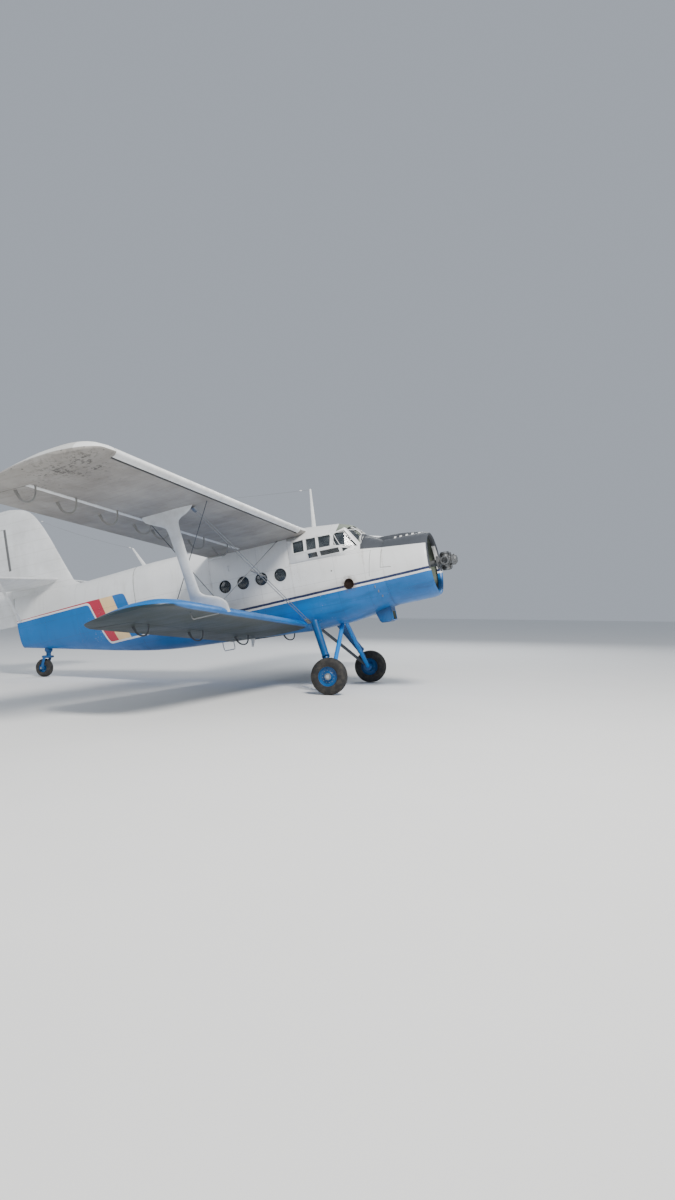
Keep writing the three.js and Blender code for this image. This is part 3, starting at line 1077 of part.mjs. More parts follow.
function geometryOf(solid) {
  const mesh = solid.getMesh();
  const geometry = new THREE.BufferGeometry();
  geometry.setAttribute('position', new THREE.BufferAttribute(new Float32Array(mesh.vertProperties), 3));
  geometry.setIndex(new THREE.BufferAttribute(new Uint32Array(mesh.triVerts), 1));
  geometry.computeVertexNormals();
  return geometry;
}

// Tip the aircraft onto its wheels and centre it
const flight = new THREE.Group();
flight.name = 'flight_frame';
NODES.forEach(({ name, solid, colour: color, rough: roughness, metal: metalness }) => {
  const material = new THREE.MeshStandardMaterial({ color, roughness, metalness });
  const mesh = new THREE.Mesh(geometryOf(solid), material);
  mesh.name = name;
  flight.add(mesh);
});
flight.rotation.y = -GROUND_ANGLE;
const wheelHeight = MAIN_WHEEL.x * Math.sin(GROUND_ANGLE) + MAIN_WHEEL.z * Math.cos(GROUND_ANGLE);
flight.position.z = MAIN_WHEEL.radius - wheelHeight;
const group = new THREE.Group();
group.name = 'biplane';
group.add(flight);
group.updateMatrixWorld(true);
const bounds = new THREE.Box3().setFromObject(flight, true);
flight.position.x = -(bounds.min.x + bounds.max.x) / 2;
group.updateMatrixWorld(true);

export default group;
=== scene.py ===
import math
from bisect import bisect_right

import bmesh
import bpy
from bpy.props import FloatProperty, FloatVectorProperty, IntProperty, PointerProperty
from mathutils import Matrix, Vector
from mathutils.bvhtree import BVHTree


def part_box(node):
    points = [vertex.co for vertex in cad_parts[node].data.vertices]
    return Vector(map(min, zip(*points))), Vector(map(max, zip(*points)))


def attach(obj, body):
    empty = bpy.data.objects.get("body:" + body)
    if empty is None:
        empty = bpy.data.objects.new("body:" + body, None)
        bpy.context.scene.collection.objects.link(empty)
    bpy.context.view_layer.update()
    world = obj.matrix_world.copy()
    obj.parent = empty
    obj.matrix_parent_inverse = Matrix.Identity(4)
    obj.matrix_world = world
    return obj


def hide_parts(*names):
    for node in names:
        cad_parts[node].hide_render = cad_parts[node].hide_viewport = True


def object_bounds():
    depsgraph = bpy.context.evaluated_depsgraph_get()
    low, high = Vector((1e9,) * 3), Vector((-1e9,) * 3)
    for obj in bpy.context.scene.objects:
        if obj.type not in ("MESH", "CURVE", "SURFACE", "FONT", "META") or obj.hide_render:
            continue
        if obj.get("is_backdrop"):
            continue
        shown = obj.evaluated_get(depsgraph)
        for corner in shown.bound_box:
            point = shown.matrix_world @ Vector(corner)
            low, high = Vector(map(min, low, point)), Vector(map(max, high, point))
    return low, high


bl_info = {
    "name": "Utility Biplane Finish",
    "version": (1, 0, 0),
    "blender": (4, 5, 0),
    "location": "View3D > Sidebar > Biplane",
    "description": "Smooth skins, paint, wing cloth, glass, engine and wheel detail for the packed biplane",
    "category": "Object",
}

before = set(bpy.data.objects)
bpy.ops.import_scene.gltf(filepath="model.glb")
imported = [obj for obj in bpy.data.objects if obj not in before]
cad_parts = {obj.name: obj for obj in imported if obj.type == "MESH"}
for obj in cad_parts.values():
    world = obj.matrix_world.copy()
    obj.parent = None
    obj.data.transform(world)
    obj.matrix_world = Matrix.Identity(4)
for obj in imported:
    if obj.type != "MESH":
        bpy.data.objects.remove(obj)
CAD_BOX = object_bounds()

# Flight frame: X forward along the thrust line, Y to port, Z up, in metres, tipped nose up to park
GROUND_ANGLE = math.radians(11.28)
TILT = Matrix.Rotation(-GROUND_ANGLE, 4, "Y")
MAIN_WHEEL = Vector((-2.38, 1.69, -2.06))
TAIL_WHEEL = Vector((-10.57, 0.0, -0.595))
WHEEL_LOW, WHEEL_HIGH = (Vector(corner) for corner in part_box("tyre_left"))
PARKED_ORIGIN = (WHEEL_LOW + WHEEL_HIGH) / 2 - TILT @ MAIN_WHEEL
FLIGHT = Matrix.Translation(PARKED_ORIGIN) @ TILT

# Fuselage stations: x, top, bottom, half width, squareness above and below, level of the widest line
NOSE_STATIONS = (
    (-1.01, 0.765, -0.772, 0.768, 2.0, 2.0, 0.0),
    (-1.45, 0.93, -0.85, 0.805, 2.2, 2.3, 0.02),
    (-2.1, 0.96, -0.945, 0.845, 3.0, 3.0, 0.08),
    (-3.11, 0.96, -0.985, 0.862, 4.0, 4.2, 0.15),
)
BODY_STATIONS = (
    (-3.111, 1.388, -0.985, 0.862, 4.6, 4.2, 0.15),
    (-5.25, 1.41, -0.855, 0.862, 4.6, 4.0, 0.2),
    (-6.65, 1.405, -0.78, 0.84, 4.2, 3.8, 0.25),
    (-7.2, 1.4, -0.72, 0.76, 3.6, 3.4, 0.29),
    (-8.3, 1.368, -0.535, 0.6, 3.0, 3.0, 0.4),
    (-9.05, 1.35, -0.385, 0.48, 2.7, 2.7, 0.48),
    (-10.1, 1.38, -0.175, 0.32, 2.5, 2.5, 0.6),
    (-11.06, 1.42, 0.015, 0.17, 2.4, 2.4, 0.7),
)
INTAKE_STATIONS = (
    (-0.07, 0.742, 0.56, 0.13, 2.6, 3.0, 0.62),
    (-0.42, 0.805, 0.56, 0.165, 3.0, 3.0, 0.64),
    (-0.76, 0.838, 0.56, 0.17, 3.0, 3.0, 0.66),
    (-1.1, 0.842, 0.56, 0.16, 3.0, 3.0, 0.68),
    (-1.438, 0.962, 0.56, 0.15, 3.0, 3.0, 0.76),
)
SKIN_WALL = 0.045
NOSE_START, CABIN_START, CONE_START, CONE_END = -1.0105, -3.1105, -7.2005, -11.06
PORTHOLE_XS = (-3.38, -3.85, -4.31, -4.77)
PORTHOLE_Z = 0.38
PORTHOLE_RADIUS = 0.152
CARGO_DOOR = {"front": -5.17, "rear": -6.63, "bottom": -0.48, "top": 1.05, "gap": 0.008}
CABIN_DOOR = {"front": -5.25, "rear": -6.06, "bottom": -0.44, "top": 0.98, "gap": 0.011}
DOOR_WINDOW_X = (CABIN_DOOR["front"] + CABIN_DOOR["rear"]) / 2
EXHAUST_HOLE = (-1.83, -0.13, 0.105)

# Wing section: chord fraction, upper and lower height as fractions of the chord
SECTION = (
    (0.0, 0.0, 0.0),
    (0.025, 0.035, -0.022),
    (0.1, 0.072, -0.034),
    (0.25, 0.102, -0.038),
    (0.4, 0.105, -0.036),
    (0.6, 0.083, -0.028),
    (0.8, 0.046, -0.016),
    (1.0, 0.004, -0.004),
)
UPPER_WING = {
    "lead": -2.68, "z": 1.275, "chord": 2.435, "drop": 0.12, "rise": 0.063, "root": 0.78,
    "tips": (
        (8.56, 0.0, 1.0, 1.0), (8.83, 0.012, 0.93, 0.82), (9.0, 0.1, 0.8, 0.5), (9.088, 0.25, 0.62, 0.2)),
}
LOWER_WING = {
    "lead": -3.01, "z": -0.83, "chord": 1.96, "drop": 0.04, "rise": 0.0755, "root": 0.56,
    "tips": (
        (6.35, 0.0, 1.0, 1.0), (6.8, 0.03, 0.9, 0.8), (7.02, 0.12, 0.75, 0.5), (7.118, 0.25, 0.6, 0.2)),
}
UPPER_HINGE = {"at": 0.745, "below": 0.03, "radius": 0.3, "gap": 0.012}
LOWER_HINGE = {"at": 0.73, "below": 0.03, "radius": 0.255, "gap": 0.012}
SLAT_SPAN = (0.96, 8.5)
UPPER_FLAP_SPAN = (1.0, 4.26)
AILERON_SPAN = (4.28, 8.5)
LOWER_FLAP_SPAN = (1.05, 6.35)
COVE_MARGIN = 0.02
SLAT_BACK = ((0.148, 0.0805), (0.088, 0.0585), (0.043, 0.0275), (0.029, 0.004), (0.0345, -0.014))
NOSE_FRONT = ((0.154, 0.077), (0.091, 0.0535), (0.049, 0.0235), (0.0365, 0.003), (0.0435, -0.0125))
UPPER_BRACKETS = (1.75, 2.9, 4.4, 5.07, 6.2, 7.4, 8.43)
LOWER_BRACKETS = (1.5, 3.7, 5.8)

# Fin sections: z, front, rear, thickness; tailplane and struts
FIN_SECTIONS = (
    (0.56, -11.0, -11.98, 0.13),
    (0.76, -11.0, -12.06, 0.13),
    (1.33, -9.07, -12.09, 0.25),
    (1.45, -9.26, -12.095, 0.24),
    (1.66, -9.36, -12.1, 0.215),
    (2.2, -9.59, -12.1, 0.185),
    (2.73, -9.81, -12.09, 0.16),
    (3.18, -10.04, -12.04, 0.13),
    (3.46, -10.26, -11.88, 0.095),
    (3.6, -10.52, -11.62, 0.06),
    (3.67, -10.86, -11.25, 0.024),
)
FIN_SHAPE = ((0.0, 0.0), (0.02, 0.3), (0.12, 0.8), (0.35, 1.0), (0.63, 0.85), (0.82, 0.5), (1.0, 0.05))
RUDDER = {"hinge": -11.19, "bottom": 0.62, "top": 3.175, "radius": 0.102, "gap": 0.012}
TAIL_SHAPE = ((0.0, 0.0), (0.03, 0.02), (0.15, 0.045), (0.4, 0.055), (0.7, 0.04), (1.0, 0.004))
TAIL_ROWS = ((0.0, 0.0, 1.0, 1.0), (2.9, 0.14, 0.93, 0.8), (3.4, 0.22, 0.84, 0.6), (3.6, 0.4, 0.7, 0.2))
TAILPLANE = {"lead": -9.68, "z": 1.575, "chord": 1.9, "hinge": 0.7, "radius": 0.088, "gap": 0.012}
ELEVATOR_SPAN = (0.33, 3.48)
TAIL_RIB_PITCH = 0.3
STRUT_ROWS = (
    (-0.54, 4.885, -2.96, -3.74, 0.05),
    (-0.38, 4.925, -2.97, -3.73, 0.05),
    (-0.225, 4.963, -3.12, -3.69, 0.06),
    (-0.15, 4.982, -3.36, -3.675, 0.075),
    (-0.06, 5.005, -3.445, -3.67, 0.085),
    (0.96, 5.258, -3.485, -3.72, 0.085),
    (1.14, 5.303, -3.485, -3.75, 0.08),
    (1.24, 5.328, -3.455, -3.96, 0.07),
    (1.35, 5.355, -3.22, -4.14, 0.06),
    (1.48, 5.387, -3.08, -4.165, 0.055),
)


# Plain maths: smooth curves through tables, and frames for rods
def smooth_through(xs, ys):
    """Return a smooth function through the points that never overshoots them."""
    steps = [b - a for a, b in zip(xs, xs[1:])]
    slopes = [(b - a) / h for a, b, h in zip(ys, ys[1:], steps)]
    grads = [slopes[0]]
    for k in range(1, len(slopes)):
        before, after = slopes[k - 1], slopes[k]
        if before * after <= 0:
            grads.append(0.0)
            continue
        w1 = 2 * steps[k] + steps[k - 1]
        w2 = steps[k] + 2 * steps[k - 1]
        grads.append((w1 + w2) / (w1 / before + w2 / after))
    grads.append(slopes[-1])

    def at(x):
        x = min(max(x, xs[0]), xs[-1])
        k = min(bisect_right(xs, x) - 1, len(steps) - 1)
        t = (x - xs[k]) / steps[k]
        a, b = ys[k], ys[k + 1]
        ga, gb = grads[k] * steps[k], grads[k + 1] * steps[k]
        return a + t * (ga + t * (3 * (b - a) - 2 * ga - gb + t * (2 * (a - b) + ga + gb)))

    return at


def between(a, b, count):
    return [a + (b - a) * i / (count - 1) for i in range(count)]


def mixed(a, b, share):
    return [p + (q - p) * share for p, q in zip(a, b)]


class Body:
    """A fuselage body whose measures run smoothly from station to station."""

    def __init__(self, stations):
        rows = sorted(stations)
        xs = [row[0] for row in rows]
        self.measures = [smooth_through(xs, [row[k] for row in rows]) for k in range(1, 7)]

    def at(self, x):
        return [measure(x) for measure in self.measures]

    def ring(self, x, count, inset=0.0):
        top, bottom, half, square_top, square_bottom, mid = self.at(x)
        ring = []
        for i in range(count):
            angle = (i + 0.5) * 2 * math.pi / count
            c, s = math.cos(angle), math.sin(angle)
            power = 2 / (square_top if s > 0 else square_bottom)
            y = (half - inset) * math.copysign(abs(c) ** power, c)
            reach = top - inset - mid if s > 0 else mid - bottom - inset
            ring.append((x, y, mid + reach * math.copysign(abs(s) ** power, s)))
        return ring

    def side(self, x, z):
        """Half width of the skin at this level."""
        top, bottom, half, square_top, square_bottom, mid = self.at(x)
        power = square_top if z > mid else square_bottom
        reach = top - mid if z > mid else mid - bottom
        level = min(abs(z - mid) / reach, 1.0)
        return half * (1 - level ** power) ** (1 / power)


NOSE = Body(NOSE_STATIONS)
HULL = Body(BODY_STATIONS)
INTAKE = Body(INTAKE_STATIONS)


def several(value):
    """A lone value as a tuple of one."""
    return value if isinstance(value, (tuple, list)) else (value,)


def square_to(axis, guide=None):
    """A direction at right angles to an axis, as near to the guide as it can be."""
    guide = guide or (Vector((1, 0, 0)) if abs(axis.x) < 0.9 else Vector((0, 0, 1)))
    return (guide - axis * guide.dot(axis)).normalized()


def circle(centre, side, other, radius, sides, start=0, flat=1):
    """Points round a centre in the plane of two directions."""
    turns = [(i + start) * 2 * math.pi / sides for i in range(sides)]
    return [centre + radius * (side * math.cos(t) + other * math.sin(t) * flat) for t in turns]


class Shape:
    """Collects points, faces and marks in the flight frame before they become one object."""

    def __init__(self, points=(), faces=(), marks=()):
        self.points, self.faces, self.marks = list(points), list(faces), list(marks)

    def add(self, points, faces, mark=0):
        start = len(self.points)
        self.points.extend(tuple(p) for p in points)
        self.faces.extend(tuple(start + i for i in face) for face in faces)
        self.marks.extend(mark if isinstance(mark, list) else [mark] * len(faces))
        return self

    def loft(self, rings, mark=0, close=False):
        """Skin over rings of points, closed at its ends or run back to its start."""
        count, total = len(rings[0]), len(rings)
        faces = []
        for r in range(total if close else total - 1):
            a, b = r * count, ((r + 1) % total) * count
            for i in range(count):
                j = (i + 1) % count
                faces.append((a + i, a + j, b + j, b + i))
        if not close:
            faces.append(tuple(reversed(range(count))))
            faces.append(tuple(range((total - 1) * count, total * count)))
        return self.add([p for ring in rings for p in ring], faces, mark)

    def tube(self, path, radius, sides=16, flat=1):
        """Round or oval rod along a path, with one radius or one for each point."""
        path = [Vector(p) for p in path]
        radii = radius if isinstance(radius, (list, tuple)) else [radius] * len(path)
        rings, side = [], None
        for k, point in enumerate(path):
            along = (path[min(k + 1, len(path) - 1)] - path[max(k - 1, 0)]).normalized()
            side = square_to(along, side)
            rings.append(circle(point, side, along.cross(side), radii[k], sides, 0.5, flat))
        return self.loft(rings)

    def lathe(self, centre, axis, profile, sides=32, mark=0, close=False):
        """Turn (along, radius) pairs about an axis; a radius of zero closes the end."""
        centre, axis = Vector(centre), Vector(axis).normalized()
        side = square_to(axis)
        other = axis.cross(side)
        rings = [circle(centre + axis * along, side, other, radius, sides) for along, radius in profile]
        return self.loft(rings, mark, close)

    def slab(self, centre, size, edge=0.004, turn=Matrix.Identity(3)):
        """Block with chamfered edges."""
        hx, hy, hz = (s / 2 for s in size)
        e = min(edge, hx * 0.6, hy * 0.6, hz * 0.6)
        rings = []
        for z, inset in ((-hz, e), (e - hz, 0), (hz - e, 0), (hz, e)):
            x, y = hx - inset, hy - inset
            half = [(x, y - e), (x - e, y), (e - x, y), (-x, y - e)]
            corners = half + [(-px, -py) for px, py in half]
            rings.append([Vector(centre) + turn @ Vector((px, py, z)) for px, py in corners])
        return self.loft(rings)

    def prism(self, outline, thick, centre):
        """Flat plate in the X, Z plane with its middle at the centre's Y."""
        x0, y0, z0 = centre
        return self.loft([[(x0 + x, y0 + y, z0 + z) for x, z in outline] for y in (-thick / 2, thick / 2)])

    def mirrored(self):
        """Return the same shape on the other side of the middle."""
        faces = [tuple(reversed(face)) for face in self.faces]
        return Shape([(x, -y, z) for x, y, z in self.points], faces, self.marks)

    def turned(self, turn):
        """Return the same shape turned about the origin."""
        return Shape([tuple(turn @ Vector(p)) for p in self.points], self.faces, self.marks)

    def absorb(self, other):
        return self.add(other.points, other.faces, other.marks)


# Blender objects: making, carving, finishing
def linked(name, mesh):
    obj = bpy.data.objects.new(name, mesh)
    bpy.context.scene.collection.objects.link(obj)
    return obj


def raw_object(name, shape, coats=()):
    """Object with a shape's mesh and the finishes of these names."""
    mesh = bpy.data.meshes.new(name)
    mesh.from_pydata([tuple(p) for p in shape.points], [], shape.faces)
    for coat in several(coats):
        mesh.materials.append(finish(coat))
    mesh.polygons.foreach_set("material_index", shape.marks)
    mesh.update()
    tidy_mesh(mesh)
    return linked(name, mesh)


def tidy_mesh(mesh, reach=1e-6, outwards=True):
    """Merge doubles and turn the faces outwards."""
    work = bmesh.new()
    work.from_mesh(mesh)
    bmesh.ops.remove_doubles(work, verts=work.verts, dist=reach)
    if outwards:
        bmesh.ops.dissolve_degenerate(work, edges=work.edges, dist=reach)
        bmesh.ops.recalc_face_normals(work, faces=work.faces)
    work.to_mesh(mesh)
    work.free()


def carve(obj, cutters, operation="DIFFERENCE"):
    """Cut shapes away one by one, or keep what lies in them, and leave a plain mesh."""
    for cutter in cutters:
        tool = raw_object("cutter", cutter, obj.data.materials[:])
        change = obj.modifiers.new("carve", "BOOLEAN")
        change.operation = operation
        change.solver = "EXACT"
        change.object = tool
        settle(obj)
        bpy.data.objects.remove(tool)


def settle(obj):
    """Turn an object's modifiers into its plain mesh."""
    bpy.context.view_layer.update()
    graph = bpy.context.evaluated_depsgraph_get()
    ready = obj.evaluated_get(graph)
    mesh = bpy.data.meshes.new_from_object(ready, preserve_all_data_layers=True, depsgraph=graph)
    obj.modifiers.clear()
    old = obj.data
    obj.data = mesh
    bpy.data.meshes.remove(old)


def finish_piece(obj, replaces=(), body="airframe", sharp=32, place=FLIGHT):
    """Put a piece in its parked place, smooth it and let it ride on its body."""
    mesh = obj.data
    if place is not None:
        mesh.transform(place)
    mesh.polygons.foreach_set("use_smooth", [True] * len(mesh.polygons))
    mesh.set_sharp_from_angle(angle=math.radians(sharp))
    mesh.update()
    if replaces:
        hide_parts(*several(replaces))
    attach(obj, body)
    return obj


def piece(name, shape, coat, replaces=(), body="airframe", cuts=(), keep=(), slot=None, sharp=32):
    """Finished piece from a shape, less the cuts and kept within the shapes to keep."""
    obj = raw_object(name, shape, coat)
    carve(obj, keep, "INTERSECT")
    carve(obj, cuts)
    return finish_piece(obj, replaces, body, sharp)


def both_sides(name, shape, coat, replaced=(), body="airframe", cuts=(), keep=(), **rest):
    """Port piece and its mirror image; a body's name that ends with _ is given its side."""
    for label, seen in (("left", lambda whole: whole), ("right", Shape.mirrored)):
        nodes = [f"{node}_{label}" for node in several(replaced)]
        own = body + label if body.endswith("_") else body
        away, within = ([*map(seen, shapes)] for shapes in (cuts, keep))
        piece(f"{name}_{label}", seen(shape), coat, nodes, own, away, within, **rest)


def smooth_copy(node, name, coats, sharp):
    """Copy of a CAD node with merged points and smooth shading, in the node's own place."""
    mesh = bpy.data.objects[node].data.copy()
    mesh.name = name
    tidy_mesh(mesh, 2e-5, outwards=False)
    mesh.materials.clear()
    for coat in coats:
        mesh.materials.append(finish(coat))
    return finish_piece(linked(name, mesh), replaces=node, sharp=sharp, place=None)


def dress(node, coat):
    """Give a CAD node that keeps its shape a better material."""
    obj = bpy.data.objects[node]
    if not obj.material_slots:
        obj.data.materials.append(finish(coat))
    obj.material_slots[0].link = "OBJECT"
    obj.material_slots[0].material = finish(coat)


# Node wiring shared by materials and geometry trees
class Flow:
    """A number that runs through a node tree and adds Math nodes when it is used in an expression."""

    def __init__(self, wiring, socket):
        self.wiring = wiring
        self.socket = socket

    def math(self, operation, *others):
        return self.wiring.math(operation, self, *others)

    def __add__(self, other):
        return self.math("ADD", other)

    __radd__ = __add__

    def __mul__(self, other):
        return self.math("MULTIPLY", other)

    __rmul__ = __mul__

    def __sub__(self, other):
        return self.math("SUBTRACT", other)

    def __rsub__(self, other):
        return self.wiring.math("SUBTRACT", other, self)

    def __truediv__(self, other):
        return self.math("DIVIDE", other)

    def __rtruediv__(self, other):
        return self.wiring.math("DIVIDE", other, self)

    def __neg__(self):
        return self.math("MULTIPLY", -1.0)

    def __abs__(self):
        return self.math("ABSOLUTE")

    def __pow__(self, other):
        return self.math("POWER", other)

    def clamped(self):
        return self.wiring.clamp(self)

    def above(self, level, soft=0.004):
        """1 where the number is above the level, 0 below, with a soft edge."""
        return ((self - level) / soft + 0.5).clamped()

    def below(self, level, soft=0.004):
        return ((level - self) / soft + 0.5).clamped()

    def inside(self, low, high, soft=0.004):
        return self.above(low, soft) * self.below(high, soft)

    def fract(self):
        return self.math("FRACT")


class Wiring:
    """Adds nodes to a tree and joins their sockets."""

    def __init__(self, tree):
        self.tree = tree

    def node(self, kind, settings=None, sockets=None):
        made = self.tree.nodes.new(kind)
        for key, value in (settings or {}).items():
            if key == "stops":
                self.set_stops(made.color_ramp, value)
            else:
                setattr(made, key, value)
        for key, value in (sockets or {}).items():
            self.feed(made.inputs[key], value)
        return made

    @staticmethod
    def set_stops(ramp, stops):
        while len(ramp.elements) < len(stops):
            ramp.elements.new(0.5)
        for element, (place, colour) in zip(ramp.elements, stops):
            element.position = place
            element.color = colour

    def feed(self, socket, value):
        if isinstance(value, Flow):
            value = value.socket
        if isinstance(value, bpy.types.NodeSocket):
            self.tree.links.new(value, socket)
        elif value is not None:
            socket.default_value = value

    def math(self, operation, *values):
        made = self.node("ShaderNodeMath", {"operation": operation}, dict(enumerate(values)))
        return Flow(self, made.outputs[0])

    def clamp(self, value):
        made = self.node("ShaderNodeClamp", {}, {0: value})
        return Flow(self, made.outputs[0])

    def least(self, a, b, soft=0.0):
        return self.math("SMOOTH_MIN", a, b, soft) if soft else self.math("MINIMUM", a, b)

    def most(self, a, b, soft=0.0):
        return self.math("SMOOTH_MAX", a, b, soft) if soft else self.math("MAXIMUM", a, b)


class Finish(Wiring):
    """A material whose surface is worked out from the place in the flight frame."""

    def __init__(self, name, **shader):
        self.material = bpy.data.materials.new(name)
        self.material.use_nodes = True
        super().__init__(self.material.node_tree)
        self.surface = self.tree.nodes["Principled BSDF"]
        for key, value in shader.items():
            self.surface.inputs[key.replace("_", " ")].default_value = value
        coords = self.node("ShaderNodeTexCoord")
        self.parked = coords.outputs["Object"]
        turned = self.node("ShaderNodeMapping", {"vector_type": "TEXTURE"}, {
            "Vector": self.parked, "Location": tuple(PARKED_ORIGIN), "Rotation": (0.0, -GROUND_ANGLE, 0.0)})
        self.flight = turned.outputs[0]
        split = self.node("ShaderNodeSeparateXYZ", {}, {0: self.flight})
        self.x, self.y, self.z = (Flow(self, split.outputs[k]) for k in range(3))
        self.heights = []

    def noise(self, scale, detail=4.0, rough=0.55, stretch=None, twist=0.0, low=None, high=None, turn=None):
        """Cloud noise in the flight frame; stretch squeezes it along each axis."""
        vector = self.flight
        if stretch or turn:
            vector = self.node("ShaderNodeMapping", {}, {
                "Vector": vector, "Scale": stretch or (1, 1, 1), "Rotation": turn or (0, 0, 0)}).outputs[0]
        made = self.node("ShaderNodeTexNoise", {}, {
            "Vector": vector, "Scale": scale, "Detail": detail, "Roughness": rough, "Distortion": twist})
        value = Flow(self, made.outputs[0])
        if low is not None:
            value = ((value - low) / (high - low)).clamped()
        return value

    def cells(self, scale, feature="F1", output="Distance", stretch=None):
        vector = self.flight
        if stretch:
            vector = self.node("ShaderNodeMapping", {}, {"Vector": vector, "Scale": stretch}).outputs[0]
        made = self.node("ShaderNodeTexVoronoi", {"feature": feature}, {"Vector": vector, "Scale": scale})
        return Flow(self, made.outputs[output])

    def blend(self, share, a, b):
        """Mix two colours; b shows where the share is 1."""
        made = self.node("ShaderNodeMix", {"data_type": "RGBA"}, {0: share, 6: full(a), 7: full(b)})
        return made.outputs[2]

    def darken(self, colour, share, tone):
        made = self.node("ShaderNodeMix", {"data_type": "RGBA", "blend_type": "MULTIPLY"}, {
            0: share, 6: full(colour), 7: full(tone)})
        return made.outputs[2]

    def raise_by(self, height, distance):
        """Add a height, worth this many metres where it is 1."""
        self.heights.append(height * (distance * 1000.0))

    def done(self, colour, rough=None, metal=None, alpha=None, strength=1.0):
        self.feed(self.surface.inputs["Base Color"], full(colour))
        if rough is not None:
            self.feed(self.surface.inputs["Roughness"], rough)
        if metal is not None:
            self.feed(self.surface.inputs["Metallic"], metal)
        if alpha is not None:
            self.feed(self.surface.inputs["Alpha"], alpha)
        if self.heights:
            height = self.heights[0]
            for more in self.heights[1:]:
                height = height + more
            bump = self.node("ShaderNodeBump", {}, {
                "Strength": strength, "Distance": 0.001, "Height": height})
            self.feed(self.surface.inputs["Normal"], bump.outputs[0])
        return self.material


def full(colour):
    if isinstance(colour, (Flow, bpy.types.NodeSocket)):
        return colour
    return (*colour[:3], 1.0)


class Growth(Wiring):
    """A geometry tree with named inputs, ending in Realize Instances and Set Material."""

    KINDS = {"int": "NodeSocketInt", "float": "NodeSocketFloat", "material": "NodeSocketMaterial"}

    def __init__(self, name, inputs):
        group = bpy.data.node_groups.new(name, "GeometryNodeTree")
        super().__init__(group)
        group.interface.new_socket("Geometry", in_out="INPUT", socket_type="NodeSocketGeometry")
        self.identifiers = {}
        for label, kind in {**inputs, "Material": "material"}.items():
            made = group.interface.new_socket(label, in_out="INPUT", socket_type=self.KINDS[kind])
            self.identifiers[label] = made.identifier
        group.interface.new_socket("Geometry", in_out="OUTPUT", socket_type="NodeSocketGeometry")
        self.inlet = self.node("NodeGroupInput")
        self.outlet = self.node("NodeGroupOutput")

    def given(self, label):
        return Flow(self, self.inlet.outputs[label])

    def spread(self, shape, points, turn=None):
        made = self.node("GeometryNodeInstanceOnPoints", {}, {
            "Points": points, "Instance": shape, "Rotation": turn})
        return made.outputs[0]

    def vector(self, x=0.0, y=0.0, z=0.0):
        return self.node("ShaderNodeCombineXYZ", {}, {0: x, 1: y, 2: z}).outputs[0]

    def end(self, geometry):
        real = self.node("GeometryNodeRealizeInstances", {}, {0: geometry})
        coated = self.node("GeometryNodeSetMaterial", {}, {
            "Geometry": real.outputs[0], "Material": self.given("Material")})
        self.feed(self.outlet.inputs[0], coated.outputs[0])
        return self


TREES = {}


def ring_tree():
    """Equal pegs on a circle about Z."""
    grow = Growth("pegs_on_circle", {
        "Count": "int", "Circle": "float", "Radius": "float", "Height": "float", "Sides": "int"})
    index = Flow(grow, grow.node("GeometryNodeInputIndex").outputs[0])
    angle = index * (2 * math.pi) / grow.given("Count")
    circle = grow.given("Circle")
    place = grow.vector(angle.math("COSINE") * circle, angle.math("SINE") * circle)
    points = grow.node("GeometryNodePoints", {}, {"Count": grow.given("Count"), "Position": place}).outputs[0]
    peg = grow.node("GeometryNodeMeshCylinder", {}, {
        "Vertices": grow.given("Sides"), "Radius": grow.given("Radius"), "Depth": grow.given("Height")})
    return grow.end(grow.spread(peg.outputs[0], points, grow.vector(z=angle)))


def rivet_tree():
    """Domed heads at an even pitch along every edge path of the mesh."""
    grow = Growth("heads_along_path", {"Pitch": "float", "Radius": "float"})
    path = grow.node("GeometryNodeMeshToCurve", {}, {"Mesh": grow.inlet.outputs["Geometry"]}).outputs[0]
    even = grow.node("GeometryNodeResampleCurve", {"mode": "LENGTH"}, {
        "Curve": path, "Length": grow.given("Pitch")})
    head = grow.node("GeometryNodeMeshIcoSphere", {}, {"Radius": grow.given("Radius"), "Subdivisions": 1})
    return grow.end(grow.spread(head.outputs[0], even.outputs[0]))


def cylinder_tree():
    """Finned engine cylinders standing round the X axis."""
    grow = Growth("finned_cylinders", {
        "Cylinders": "int", "Fins": "int", "Pitch": "float", "Fin Radius": "float", "Fin Thickness": "float",
        "Foot": "float"})
    rank = Flow(grow, grow.node("GeometryNodeInputIndex").outputs[0])
    steps = grow.node("GeometryNodePoints", {}, {
        "Count": grow.given("Fins"),
        "Position": grow.vector(z=rank * grow.given("Pitch") + grow.given("Foot"))})
    fin = grow.node("GeometryNodeMeshCylinder", {}, {
        "Vertices": 28, "Radius": grow.given("Fin Radius"), "Depth": grow.given("Fin Thickness")}).outputs[0]
    stack = grow.node("GeometryNodeRealizeInstances", {}, {0: grow.spread(fin, steps.outputs[0])}).outputs[0]
    seats = grow.node("GeometryNodePoints", {}, {"Count": grow.given("Cylinders"), "Position": grow.vector()})
    turn = rank * (2 * math.pi) / grow.given("Cylinders")
    return grow.end(grow.spread(stack, seats.outputs[0], grow.vector(x=turn)))


TREE_MAKERS = {"ring": ring_tree, "rivets": rivet_tree, "cylinders": cylinder_tree}


